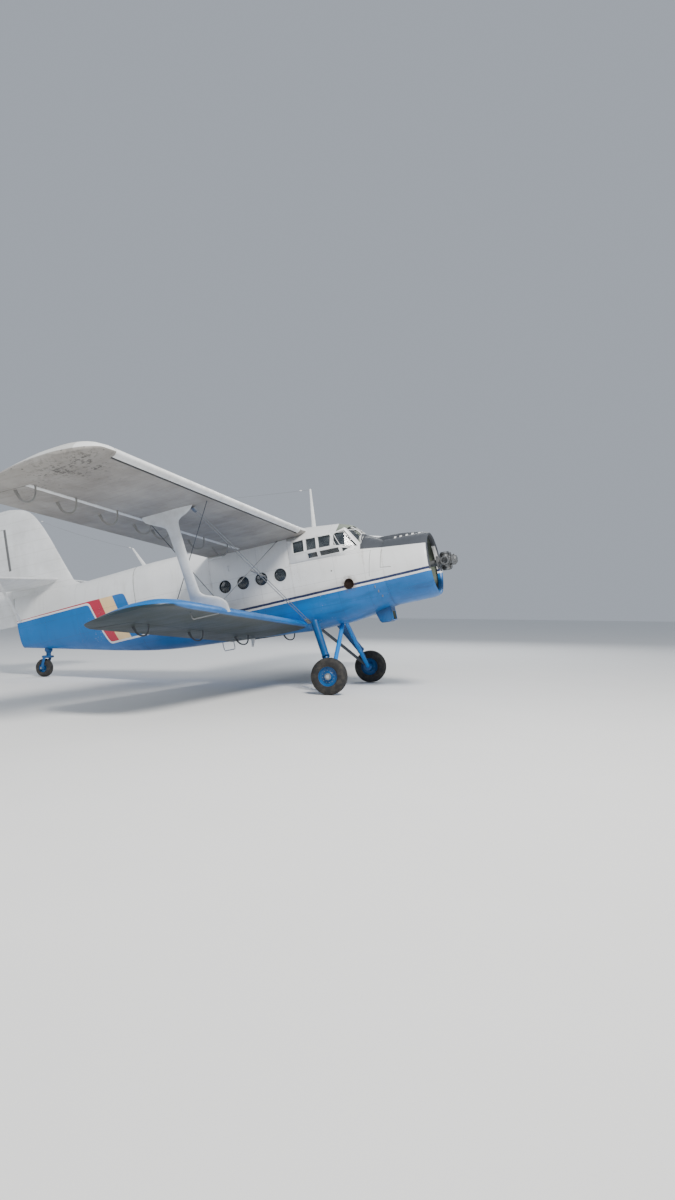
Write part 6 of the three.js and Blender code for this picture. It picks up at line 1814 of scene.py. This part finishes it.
def build_lower_wings(look):
    wing, hinge, span = LOWER_WING, LOWER_HINGE, LOWER_FLAP_SPAN
    cuts = (hinge_zone(wing, hinge, span[0] - COVE_MARGIN, span[1] + COVE_MARGIN, hinge["gap"]),
            solid_body(NOSE, NOSE_START, CABIN_START, 24, 0.012),
            solid_body(HULL, CABIN_START, -7, 40, 0.012))
    blank = wing_blank(wing, wing["root"], look)
    both_sides("lower_wing_skin", blank, "lower_cloth", "lower_wing", cuts=cuts)
    build_surface("lower_flap", wing, hinge, span, "lower_cloth", look)
    # Painted shade: the hinge plates and webs under the lower wing take the shaded copy of the gear paint
    hinge_brackets("lower_hinges", wing, hinge, LOWER_BRACKETS, "dark_gear", "blue_fabric")
    hinge_webs("lower_flap", wing, hinge, LOWER_BRACKETS, "dark_gear", "blue_fabric")


# Struts and wires
def oval_ring(x, y, z, long_half, thick_half, count=28):
    turns = [2 * math.pi * i / count for i in range(count)]
    return [(x + long_half * math.cos(a), y + thick_half * math.sin(a), z) for a in turns]


def tapered(start, end, steps=10, sides=20):
    """Oval rod between two rows of place, half length and half thickness."""
    return Shape().loft([oval_ring(*mixed(start, end, share), sides) for share in between(0, 1, steps)])


STRUT_FOOT_LEVELS = (-0.53, -0.5, -0.46, -0.42, -0.38, -0.33, -0.28, -0.225, -0.19, -0.15, -0.1, -0.06)
STRUT_HEAD_LEVELS = (1.02, 1.08, 1.14, 1.19, 1.24, 1.28, 1.32, 1.36, 1.4, 1.44)


def build_struts(look):
    zs = [row[0] for row in STRUT_ROWS]
    curves = [smooth_through(zs, [row[k] for row in STRUT_ROWS]) for k in range(1, 5)]
    rings = []
    for z in (*STRUT_FOOT_LEVELS, *between(0, 0.96, 14), *STRUT_HEAD_LEVELS):
        y, front, rear, thick = (curve(z) for curve in curves)
        rings.append(oval_ring((front + rear) / 2, y, z, (front - rear) / 2, thick / 2))
    cuts = [wing_blank(LOWER_WING, 4.5, look, end=5.4)]
    both_sides("interplane_strut_skin", Shape().loft(rings), "strut", "interplane_strut", cuts=cuts)
    foot, top = Vector((-2.89, 0.86, -0.812)), Vector((-3.15, 5.335, 1.398))
    landing_top, landing_foot = Vector((-3.33, 0.8, 1.165)), Vector((-3.16, 4.905, -0.375))
    wires = Shape()
    for off in (Vector((-0.03, 0, 0)), Vector((0.03, 0, 0))):
        wires.tube([foot + off, top + off], 0.008, 10)
    wires.tube([landing_top, landing_foot], 0.008, 10)
    run = (top - foot).normalized()
    wires.tube([foot - run * 0.01, foot + run * 0.16], 0.055, 16, 0.42)
    wires.tube([top - run * 0.13, top + run * 0.004], 0.05, 16, 0.36)
    span = 2.9
    fly = foot + (top - foot) * ((span - foot.y) / (top.y - foot.y))
    fall = landing_foot - landing_top
    land = landing_top + fall * ((span - landing_top.y) / fall.y)
    wires.tube([fly + Vector((-0.05, 0, 0)), fly + Vector((0.06, 0, 0))], 0.015, 12)
    wires.tube([fly + Vector((0.03, 0, 0)), land], 0.018, 12)
    for end, run in ((landing_top, fall), (landing_foot, -fall)):
        wires.tube([end, end + run.normalized() * 0.14], [0.017, 0.013], 12)
    both_sides("bracing_wire_set", wires, "wire", "bracing_wires", sharp=50)
    crossed = Shape().tube([(-2.86, 5.3, 1.462), (-4.15, 4.86, -0.405)], 0.0075, 10)
    crossed.tube([(-4.12, 5.28, 1.395), (-3.12, 4.86, -0.385)], 0.0075, 10)
    # Painted shade: these wires take the shaded copy of the gear paint
    both_sides("crossed_wires", crossed, "dark_gear", slot="wire_steel", sharp=50)


# Tail
UNEVEN = [(1 - math.cos(math.pi * i / 22)) / 2 for i in range(23)]


def fin_rings(look, zs):
    levels = [row[0] for row in FIN_SECTIONS]
    curves = [smooth_through(levels, [row[k] for row in FIN_SECTIONS]) for k in range(1, 4)]
    profile = smooth_through([math.sqrt(s) for s, _ in FIN_SHAPE], [t for _, t in FIN_SHAPE])
    rings = []
    for z in zs:
        front, rear, thick = (curve(z) for curve in curves)
        bay = math.sin(math.pi * z / TAIL_RIB_PITCH) ** 2 * look.cloth_sag * 0.6
        half = []
        for u in UNEVEN:
            hollow = bay * ease((u - 0.55) / 0.1) * ease((0.97 - u) / 0.1)
            half.append((front - u * (front - rear), max(profile(math.sqrt(u)) * thick / 2 - hollow, 0), z))
        rings.append(half + [(x, -y, z) for x, y, _ in half[:0:-1]])
    return rings


def rudder_zone(grow, z0, z1):
    outline = nose_and_aft(RUDDER["radius"], grow, 24, 0.4, -1.4)
    return Shape().loft([[(RUDDER["hinge"] + dx, dy, z) for dx, dy in outline] for z in (z0, z1)])


def tail_ring(y, look):
    rows, lead, level, chord = TAIL_ROWS, *(TAILPLANE[k] for k in ("lead", "z", "chord"))
    if y < 2.9:
        share = y / 2.9
        start, end, thick = 0.14 * share, 1 - 0.07 * share, 1 - 0.2 * share
    else:
        ys = [row[0] for row in rows]
        start, end, thick = (smooth_through(ys, [row[k] for row in rows])(y) for k in (1, 2, 3))
    profile = smooth_through([math.sqrt(s) for s, _ in TAIL_SHAPE], [t for _, t in TAIL_SHAPE])
    bay = math.sin(math.pi * y / TAIL_RIB_PITCH) ** 2 * look.cloth_sag * 0.6
    half = []
    for u in UNEVEN:
        hollow = bay * ease((u - 0.1) / 0.1) * ease((0.97 - u) / 0.1) * thick
        rise = max(profile(math.sqrt(u)) * thick * chord - hollow, 0)
        half.append((lead - (start + (end - start) * u) * chord, y, level + rise))
    return half + [(x, y, 2 * level - z) for x, y, z in half[:0:-1]]


def elevator_zone(grow, y0, y1):
    line = TAILPLANE["lead"] - TAILPLANE["hinge"] * TAILPLANE["chord"]
    outline = nose_and_aft(TAILPLANE["radius"], grow, 24, 0.4, -1.4)
    return Shape().loft([[(line + dx, y, TAILPLANE["z"] + dz) for dx, dz in outline] for y in (y0, y1)])


def build_tail(look):
    hull = solid_body(HULL, CONE_START, CONE_END, 40, 0.012)
    zs = between(1.33, 3.2, 34) + [3.27, 3.33, 3.39, 3.46, 3.52, 3.57, 3.61, 3.64, 3.66, 3.67]
    cuts = (rudder_zone(RUDDER["gap"], 1, RUDDER["top"] + 0.01), hull)
    piece("fin_skin", Shape().loft(fin_rings(look, zs)), "tail_cloth", "fin", cuts=cuts, slot="white_paint")
    blade = Shape().loft(fin_rings(look, between(0.56, 3.25, 56)))
    keep = [rudder_zone(0, RUDDER["bottom"], RUDDER["top"])]
    piece("rudder_skin", blade, "tail_cloth", "rudder", "rudder", keep=keep)
    ys = [0] + between(0.05, 2.9, 40) + between(2.9, 3.6, 15)[1:]
    plane = Shape().loft([tail_ring(y, look) for y in ys])
    cuts = (elevator_zone(TAILPLANE["gap"], -0.1, ELEVATOR_SPAN[1] + 0.01), hull)
    both_sides("tailplane_skin", plane, "tail_cloth", "tailplane", cuts=cuts)
    inner = ELEVATOR_SPAN[0]
    outline = ((-10.7, -0.1), (-10.7, 0), (-10.9, inner), (-11.75, 0.46), (-12.4, 0), (-12.4, -0.1))
    notch = Shape().loft([[(x, y, z) for x, y in outline] for z in (1.2, 2)])
    keep = [elevator_zone(0, *ELEVATOR_SPAN)]
    both_sides("elevator_skin", plane, "tail_cloth", "elevator", "elevator", [notch], keep)
    foot, top = Vector((-10.97, 0.12, 0.64)), Vector((-10.06, 1.97, 1.545))
    rings = []
    for share in between(-0.01, 0.975, 12):
        swell = 0.8 + 0.2 * math.sin(math.pi * min(max(share, 0), 1))
        rings.append(oval_ring(*mixed(foot, top, share), 0.0475 * swell, 0.021 * swell, 20))
    both_sides("tail_strut_skin", Shape().loft(rings), "trim", "tail_strut")


# Undercarriage
def build_main_gear(look):
    gear = Shape()
    gear.tube([(-2.745, 0.85, -0.82), (-2.755, 0.872, -0.849), (-2.47, 1.4, -1.62)], [0.088, 0.088, 0.08], 28)
    gear.tube([(-2.475, 1.392, -1.61), (-2.462, 1.412, -1.64)], [0.09, 0.086], 28)
    gear.tube([(-2.5, 1.345, -1.54), (-2.44, 1.435, -1.8)], 0.06, 24)
    gear.lathe((-2.38, 1.428, -2.06), (0, 1, 0), (
        (0, 0), (0, 0.08), (0.012, 0.095), (0.1, 0.095), (0.107, 0.085), (0.107, 0)), 36)
    axle = (MAIN_WHEEL.x, 1.475, MAIN_WHEEL.z)
    front = Shape().tube([(-2.335, 0.13, -0.915), (-2.35, 0.6, -1.33), axle], [0.046, 0.05, 0.046], 20)
    rear = Shape().tube([(-3.03, 0.13, -0.905), (-2.72, 0.78, -1.45), axle], [0.034, 0.038, 0.034], 20)
    chrome = Shape().tube([(-2.446, 1.426, -1.775), (-2.396, 1.499, -2.005)], 0.05, 28)
    chrome.tube([(-2.38, 1.44, -2.06), (-2.38, 1.812, -2.06)], 0.0415, 28)
    hose = Shape().tube([
        (-2.7, 0.97, -0.93), (-2.6, 1.14, -1.16), (-2.5, 1.28, -1.4), (-2.43, 1.36, -1.66),
        (-2.43, 1.42, -1.9), (-2.42, 1.45, -2.0)], 0.009, 10)
    for x, y, z in ((-2.69, 0.99, -0.965), (-2.58, 1.19, -1.25)):
        hose.tube([(x, y, z), (x + 0.012, y + 0.02, z - 0.03)], 0.014, 10)
    both_sides("gear_leg", gear, "gear", "main_gear")
    # Painted light: the front brace takes the sunlit copy of the gear paint, the rear brace the shaded copy
    both_sides("front_brace", front, "light_gear")
    both_sides("rear_brace", rear, "dark_gear")
    both_sides("oleo_and_axle", chrome, "chrome")
    both_sides("brake_hose", hose, "seal")


def there_and_back(half, middle=()):
    """Profile that runs over a half, an optional middle and the mirror image of the half."""
    return [*half, *middle, *[(-a, r) for a, r in half[::-1]]]


TREAD = (
    (0.0, 0.3995), (0.016, 0.3995), (0.018, 0.391), (0.024, 0.391), (0.026, 0.3985), (0.046, 0.3965),
    (0.048, 0.388), (0.054, 0.387), (0.056, 0.3945), (0.078, 0.388), (0.096, 0.377), (0.112, 0.358),
    (0.123, 0.332), (0.1295, 0.3), (0.1298, 0.285), (0.126, 0.255), (0.119, 0.228), (0.112, 0.2105))
DISC = (
    (0.108, 0.209), (0.113, 0.216), (0.109, 0.218), (0.104, 0.205), (0.085, 0.195), (0.072, 0.186),
    (0.062, 0.15), (0.06, 0.112), (0.068, 0.1), (0.088, 0.092), (0.105, 0.088), (0.105, 0.0429))


def build_main_wheels(look):
    x, y, z = MAIN_WHEEL
    crown = there_and_back([(-a, r) for a, r in TREAD[:0:-1]], TREAD[:1])
    tyre = Shape().lathe(MAIN_WHEEL, (0, 1, 0), [*crown, (0.1, 0.2095), (-0.1, 0.2095)], 72, close=True)
    rim = Shape().lathe(MAIN_WHEEL, (0, 1, 0), there_and_back(DISC), 60, close=True)
    cap = Shape().lathe(MAIN_WHEEL, (0, 1, 0), (
        (0.1055, 0.0432), (0.1055, 0.072), (0.112, 0.07), (0.116, 0.06), (0.116, 0.0432)), close=True)
    both_sides("tyre_tread", tyre, "rubber", "tyre", "main_wheel_", sharp=40)
    both_sides("wheel_disc", rim, "gear", "wheel_rim", "main_wheel_")
    both_sides("hub_cap_ring", cap, "wire", body="main_wheel_")
    for side, label in ((1, "left"), (-1, "right")):
        bolts = [peg_ring("wheel_bolts", (x, side * (y + out), z), "X", count, wide, radius, 0.016)
                 for out, wide, count, radius in ((0.0615, 0.131, 12, 0.008), (0.106, 0.08, 8, 0.005))]
        finish_piece(merged(f"wheel_bolts_{label}", bolts), body=f"main_wheel_{label}")
    valve = Shape().tube([(x, y + 0.064, z + 0.165), (x, y + 0.115, z + 0.178)], 0.006, 10)
    both_sides("tyre_valve", valve, "seal", body="main_wheel_")


TAIL_TREAD = (
    (0.0, 0.2348), (0.03, 0.2345), (0.032, 0.228), (0.038, 0.228), (0.041, 0.2335), (0.062, 0.224),
    (0.082, 0.205), (0.0935, 0.178), (0.0985, 0.155), (0.092, 0.128), (0.078, 0.112))
TAIL_DISC = (
    (0.074, 0.1085), (0.078, 0.113), (0.08, 0.109), (0.062, 0.1), (0.03, 0.085), (0.03, 0.06),
    (0.055, 0.046), (0.055, 0.022))


def build_tail_wheel(look):
    x, _, z = TAIL_WHEEL
    crown = there_and_back([(-a, r) for a, r in TAIL_TREAD[:0:-1]], TAIL_TREAD[:1])
    tyre = Shape().lathe(TAIL_WHEEL, (0, 1, 0), [*crown, (0.07, 0.108), (-0.07, 0.108)], 56, close=True)
    piece("tail_tyre", tyre, "rubber", "tail_wheel", "tail_wheel", sharp=40)
    disc = Shape().lathe(TAIL_WHEEL, (0, 1, 0), there_and_back(TAIL_DISC), 40, close=True)
    piece("tail_wheel_disc", disc, "gear", body="tail_wheel")
    fork = Shape().lathe(on_swivel(0.12, 0, 0.3), SWIVEL_UP, (
        (0, 0), (0, 0.06), (0.085, 0.06), (0.095, 0.066), (0.11, 0.066), (0.1195, 0.06), (0.1195, 0)), 28)
    up, across = Vector(SWIVEL_UP), Vector((0, 1, 0))
    upright = Matrix((up.cross(across) * -1, across, up)).transposed()
    fork.slab(on_swivel(0.0975, 0, 0.292), (0.175, 0.3, 0.06), 0.014, upright)
    long_axis = upright @ Vector((1, 0, 0))
    collar = ((0, 0.0215), (0, 0.04), (0.038, 0.04), (0.04, 0.036), (0.04, 0.0215))
    axle = Shape().tube([(x, -0.15, z), (x, 0.15, z)], 0.0205, 20)
    for side in (-1, 1):
        rings = []
        for share in between(0, 1, 9):
            wide = 0.046 - 0.006 * math.sin(math.pi * share)
            centre = on_swivel(0.08 * (1 - share), side * 0.128, 0.29 - 0.32 * share)
            rings.append(circle(centre, long_axis * (wide / 0.018), across, 0.018, 20))
        fork.loft(rings)
        fork.lathe((x, side * 0.108, z), (0, side, 0), collar, 24, close=True)
        axle.tube([(x, side * 0.147, z), (x, side * 0.158, z)], 0.03, 6)
    piece("tail_fork_skin", fork, "gear", "tail_fork", "tail_fork")
    piece("tail_axle", axle, "wire", body="tail_fork")


# Masts, aerials and small fittings
AERIALS = (
    ((-2.585, 0, 2.3), (-10.3, 0, 3.45)),
    ((-7.46, 0, 1.915), (-10.02, 0, 3.2)),
)


def build_masts(look):
    mast = tapered((-2.66, 0, 1.372, 0.055, 0.022), (-2.58, 0, 2.318, 0.0225, 0.011))
    piece("front_mast", mast.slab((-2.656, 0, 1.386), (0.22, 0.12, 0.02), 0.008), "trim", "aerial_mast_front")
    mast = tapered((-7.19, 0, 1.38, 0.06, 0.02), (-7.47, 0, 1.928, 0.0225, 0.01))
    piece("rear_mast", mast.slab((-7.205, 0, 1.4), (0.2, 0.1, 0.018), 0.008), "trim", "aerial_mast_rear")
    wires, knobs = Shape(), Shape()
    for a, b in AERIALS:
        a, b = Vector(a), Vector(b)
        step = (b - a).normalized() * 0.03
        path = [a + (b - a) * t - Vector((0, 0, 0.24 * t * (1 - t))) for t in between(0, 1, 17)]
        wires.tube(path, 0.0025, 6)
        for share in (0.03, 0.97):
            p = a + (b - a) * share
            knobs.tube([p - step, p, p + step], [0.008, 0.014, 0.008], 12)
    piece("aerial_wires", wires, "wire", sharp=60)
    piece("aerial_knobs", knobs, "trim")
    blade = tapered((-4.62, -0.1, -0.895, 0.055, 0.012), (-4.67, -0.1, -1.085, 0.025, 0.005), 8, 16)
    piece("blade_aerial", blade, "trim")


def build_fittings(look):
    rails, bars, pitot, latches = Shape(), Shape(), Shape(), Shape()
    skin = HULL.side(-4.61, 0.76)
    peg = HULL.side(-4.16, 0.23)
    grip = ((-0.005, 0.72), (0.035, 0.735), (0.04, 0.78), (0.035, 0.825), (-0.005, 0.84))
    under = Vector(wing_point(LOWER_WING, 0.1, -0.034, 6))
    for side in (-1, 1):
        rails.tube([(-4.61, side * (skin + out), z) for out, z in grip], 0.009, 10)
        rails.tube([(-4.16, side * (peg - 0.01), 0.23), (-4.16, side * (peg + 0.02), 0.23)], 0.01, 10)
        path = [(-4.7, side * 0.88, 1.085), (-4.9, side * 0.872, 1.098), (-5.09, side * 0.868, 1.07)]
        bars.tube(path, [0.022, 0.024, 0.012], 14)
        for k in range(3):
            x, z = -1.27 + 0.05 * k, -0.3 - 0.11 * k
            latches.slab((x, side * (NOSE.side(x, z) + 0.004), z), (0.022, 0.016, 0.07), 0.005)
    for side in (1, -1):
        foot = Vector((under.x, side * under.y, under.z + 0.01))
        pitot.tube([foot, foot + Vector((0.02, 0, -0.1)), foot + Vector((0.06, 0, -0.125))], 0.01, 12)
        pitot.tube([foot + Vector((0.03, 0, -0.125)), foot + Vector((0.52, 0, -0.115))], [0.012, 0.008], 14)
    rails.tube([(-5.45, 0.6, -0.74), (-5.45, 0.63, -0.98), (-5.47, 0.64, -1.03), (-5.73, 0.64, -1.03),
                (-5.75, 0.63, -0.98), (-5.75, 0.6, -0.72)], 0.013, 12)
    piece("grab_rails_and_step", rails, "trim", sharp=40)
    piece("root_fairing_bars", bars, "trim")
    piece("pitot_heads", pitot, "wire")
    beacon = Shape().lathe((-5, 0, HULL.at(-5)[0] - 0.004), (0, 0, 1), (
        (0, 0), (0, 0.06), (0.014, 0.06), (0.018, 0.05), (0.06, 0.044), (0.085, 0.025), (0.09, 0)))
    piece("roof_beacon", beacon, "red_lamp")
    tail_light = Shape().lathe((-12.05, 0, 1.3), (-1, 0, -0.05), (
        (0, 0), (0, 0.022), (0.022, 0.02), (0.034, 0.01), (0.036, 0)), 20)
    piece("rudder_tail_light", tail_light, "clear_lamp", body="rudder")
    spot = Vector(wing_point(LOWER_WING, 0.012, 0.004, 4.1)) - Vector((0.05, 0, 0))
    landing = Shape().lathe(spot, (1, 0, 0), (
        (0, 0), (0, 0.07), (0.052, 0.07), (0.06, 0.055), (0.066, 0.03), (0.068, 0)), 28)
    piece("landing_lamp", landing, "clear_lamp")
    piece("cowl_latches", latches, "wire")


def rivets(name, look, paths):
    values = {"Pitch": look.rivet_pitch, "Radius": look.rivet_radius}
    return grown(name, "rivets", values, "fuselage", paths)


COWL_SEAM = ((-0.98, 0.766), (-0.75, 0.7635), (-0.45, 0.758), (-0.16, 0.7502))


def build_rivets(look):
    """Heads along the frames of the fuselage and round the cowl."""
    paths = []
    for x in (-3.14, -3.9, -4.54, -7.17, -7.23, -8.28, -8.32, -9.03, -9.07, -10.08, -10.12, -11.03):
        ring = HULL.ring(x, 96)
        paths.append(ring + ring[:1])
    for side in (-1, 1):
        for z, rear, count in ((0.52, -8.2, 60), (-0.3, -5.1, 24)):
            paths.append([(x, side * HULL.side(x, z), z) for x in between(-3.15, rear, count)])
    finish_piece(rivets("cabin_rivets", look, paths))
    paths = []
    for x in (-1.04, -1.41, -2.08, -2.12, -3.08):
        ring = [p for p in NOSE.ring(x, 96) if p[2] < (0.55 if x < -1.45 else 2)]
        paths.append(sorted(ring, key=lambda p: math.atan2(-p[1], -p[2])))
    finish_piece(rivets("nose_rivets", look, paths))
    paths = []
    for x, radius in ((-0.97, 0.7658), (-0.55, 0.7603), (-0.5, 0.7595), (-0.12, 0.7478)):
        paths.append([(x, radius * math.sin(a), -radius * math.cos(a)) for a in between(-2.86, 2.86, 90)])
    for middle in (-2.2, -0.9, 0.9, 2.2):
        for turn in (middle - 0.03, middle + 0.03):
            paths.append([(x, r * math.sin(turn), -r * math.cos(turn)) for x, r in COWL_SEAM])
    finish_piece(rivets("cowl_rivets", look, paths))


# Operators
class BIPLANE_OT_stage(bpy.types.Operator):
    """Build the floor, the lights and the camera at the photograph's viewing angle"""
    bl_idname = "biplane.stage"
    bl_label = "Stage"

    def execute(self, context):
        build_stage()
        return {"FINISHED"}


class BIPLANE_OT_forward_fuselage(bpy.types.Operator):
    """Build the nose skin and the collar round the exhaust hole"""
    bl_idname = "biplane.forward_fuselage"
    bl_label = "Forward fuselage"

    def execute(self, context):
        build_forward_fuselage(context.scene.biplane_look)
        return {"FINISHED"}


class BIPLANE_OT_cabin(bpy.types.Operator):
    """Build the cabin skin with its portholes and door opening"""
    bl_idname = "biplane.cabin"
    bl_label = "Cabin"

    def execute(self, context):
        build_cabin(context.scene.biplane_look)
        return {"FINISHED"}


class BIPLANE_OT_tail_cone(bpy.types.Operator):
    """Build the rear fuselage and the boss of the tail swivel"""
    bl_idname = "biplane.tail_cone"
    bl_label = "Tail cone"

    def execute(self, context):
        build_tail_cone(context.scene.biplane_look)
        return {"FINISHED"}


class BIPLANE_OT_doors(bpy.types.Operator):
    """Build the cargo door and the cabin door in it"""
    bl_idname = "biplane.doors"
    bl_label = "Doors"

    def execute(self, context):
        build_doors(context.scene.biplane_look)
        return {"FINISHED"}


class BIPLANE_OT_cabin_windows(bpy.types.Operator):
    """Build the panes, rims, seals and screws of the portholes"""
    bl_idname = "biplane.cabin_windows"
    bl_label = "Cabin windows"

    def execute(self, context):
        build_cabin_windows(context.scene.biplane_look)
        return {"FINISHED"}


class BIPLANE_OT_cowl(bpy.types.Operator):
    """Build the cowl ring with its lip and the hump of the air intake"""
    bl_idname = "biplane.cowl"
    bl_label = "Engine cowl"

    def execute(self, context):
        build_cowl(context.scene.biplane_look)
        return {"FINISHED"}


class BIPLANE_OT_oil_cooler(bpy.types.Operator):
    """Build the oil cooler's scoop, core and lip"""
    bl_idname = "biplane.oil_cooler"
    bl_label = "Oil cooler"

    def execute(self, context):
        build_oil_cooler(context.scene.biplane_look)
        return {"FINISHED"}


class BIPLANE_OT_engine(bpy.types.Operator):
    """Build the crankcase, finned cylinders, heads and pipes"""
    bl_idname = "biplane.engine"
    bl_label = "Engine"

    def execute(self, context):
        build_engine(context.scene.biplane_look)
        return {"FINISHED"}


class BIPLANE_OT_propeller_hub(bpy.types.Operator):
    """Build the bare hub with its four empty blade sockets"""
    bl_idname = "biplane.propeller_hub"
    bl_label = "Propeller hub"

    def execute(self, context):
        build_hub(context.scene.biplane_look)
        return {"FINISHED"}


class BIPLANE_OT_canopy(bpy.types.Operator):
    """Finish the canopy frame, its beads, rails, rivets, wipers and glass"""
    bl_idname = "biplane.canopy"
    bl_label = "Canopy"

    def execute(self, context):
        build_canopy(context.scene.biplane_look)
        return {"FINISHED"}


class BIPLANE_OT_cockpit(bpy.types.Operator):
    """Build the seats, the instrument board and the control wheels"""
    bl_idname = "biplane.cockpit"
    bl_label = "Cockpit"

    def execute(self, context):
        build_cockpit(context.scene.biplane_look)
        return {"FINISHED"}


class BIPLANE_OT_upper_wings(bpy.types.Operator):
    """Build the upper wing with its slats, flaps and ailerons"""
    bl_idname = "biplane.upper_wings"
    bl_label = "Upper wings"

    def execute(self, context):
        build_upper_wings(context.scene.biplane_look)
        return {"FINISHED"}


class BIPLANE_OT_lower_wings(bpy.types.Operator):
    """Build the lower wings and their flaps"""
    bl_idname = "biplane.lower_wings"
    bl_label = "Lower wings"

    def execute(self, context):
        build_lower_wings(context.scene.biplane_look)
        return {"FINISHED"}


class BIPLANE_OT_struts(bpy.types.Operator):
    """Build the interplane struts and the bracing wires"""
    bl_idname = "biplane.struts"
    bl_label = "Struts and wires"

    def execute(self, context):
        build_struts(context.scene.biplane_look)
        return {"FINISHED"}


class BIPLANE_OT_tail(bpy.types.Operator):
    """Build the fin, rudder, tailplanes, elevators and their struts"""
    bl_idname = "biplane.tail"
    bl_label = "Tail surfaces"

    def execute(self, context):
        build_tail(context.scene.biplane_look)
        return {"FINISHED"}


class BIPLANE_OT_main_gear(bpy.types.Operator):
    """Build the legs, braces and oleo struts"""
    bl_idname = "biplane.main_gear"
    bl_label = "Main undercarriage"

    def execute(self, context):
        build_main_gear(context.scene.biplane_look)
        return {"FINISHED"}


class BIPLANE_OT_main_wheels(bpy.types.Operator):
    """Build the tyres, discs, bolts and valves"""
    bl_idname = "biplane.main_wheels"
    bl_label = "Main wheels"

    def execute(self, context):
        build_main_wheels(context.scene.biplane_look)
        return {"FINISHED"}


class BIPLANE_OT_tail_wheel(bpy.types.Operator):
    """Build the tail wheel and its fork"""
    bl_idname = "biplane.tail_wheel"
    bl_label = "Tail wheel"

    def execute(self, context):
        build_tail_wheel(context.scene.biplane_look)
        return {"FINISHED"}


class BIPLANE_OT_masts(bpy.types.Operator):
    """Build the masts, the aerial wires and the blade aerial"""
    bl_idname = "biplane.masts"
    bl_label = "Masts and aerials"

    def execute(self, context):
        build_masts(context.scene.biplane_look)
        return {"FINISHED"}


class BIPLANE_OT_fittings(bpy.types.Operator):
    """Build the rails, step, pressure heads, lamps and latches"""
    bl_idname = "biplane.fittings"
    bl_label = "Fittings"

    def execute(self, context):
        build_fittings(context.scene.biplane_look)
        return {"FINISHED"}


class BIPLANE_OT_rivets(bpy.types.Operator):
    """Set rivet heads along the frames of the fuselage and round the cowl"""
    bl_idname = "biplane.rivets"
    bl_label = "Rivets"

    def execute(self, context):
        build_rivets(context.scene.biplane_look)
        return {"FINISHED"}


OPERATORS = (
    BIPLANE_OT_stage,
    BIPLANE_OT_forward_fuselage,
    BIPLANE_OT_cabin,
    BIPLANE_OT_tail_cone,
    BIPLANE_OT_doors,
    BIPLANE_OT_cabin_windows,
    BIPLANE_OT_cowl,
    BIPLANE_OT_oil_cooler,
    BIPLANE_OT_engine,
    BIPLANE_OT_propeller_hub,
    BIPLANE_OT_canopy,
    BIPLANE_OT_cockpit,
    BIPLANE_OT_upper_wings,
    BIPLANE_OT_lower_wings,
    BIPLANE_OT_struts,
    BIPLANE_OT_tail,
    BIPLANE_OT_main_gear,
    BIPLANE_OT_main_wheels,
    BIPLANE_OT_tail_wheel,
    BIPLANE_OT_masts,
    BIPLANE_OT_fittings,
    BIPLANE_OT_rivets,
)


class BIPLANE_PT_panel(bpy.types.Panel):
    """Lists the biplane's pieces in the sidebar"""
    bl_idname = "BIPLANE_PT_panel"
    bl_label = "Biplane"
    bl_space_type = "VIEW_3D"
    bl_region_type = "UI"
    bl_category = "Biplane"

    def draw(self, context):
        look = context.scene.biplane_look
        for name in ("white", "blue", "navy", "red", "cream", "glare", "cloth", "rib_pitch", "cloth_sag",
                     "rivet_pitch", "rivet_radius", "engine_fins"):
            self.layout.prop(look, name)
        for operator in OPERATORS:
            self.layout.operator(operator.bl_idname)


CLASSES = (BiplaneLook, *OPERATORS, BIPLANE_PT_panel)


def register():
    for item in CLASSES:
        bpy.utils.register_class(item)
    bpy.types.Scene.biplane_look = PointerProperty(type=BiplaneLook)


def unregister():
    del bpy.types.Scene.biplane_look
    for item in reversed(CLASSES):
        bpy.utils.unregister_class(item)


def corners(box):
    return [[float(v) for v in corner] for corner in box]


def main():
    register()
    for operator in OPERATORS:
        group, name = operator.bl_idname.split(".")
        getattr(getattr(bpy.ops, group), name)()
    {"cad": corners(CAD_BOX), "visual": corners(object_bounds())}


if __name__ == "__main__":
    main()
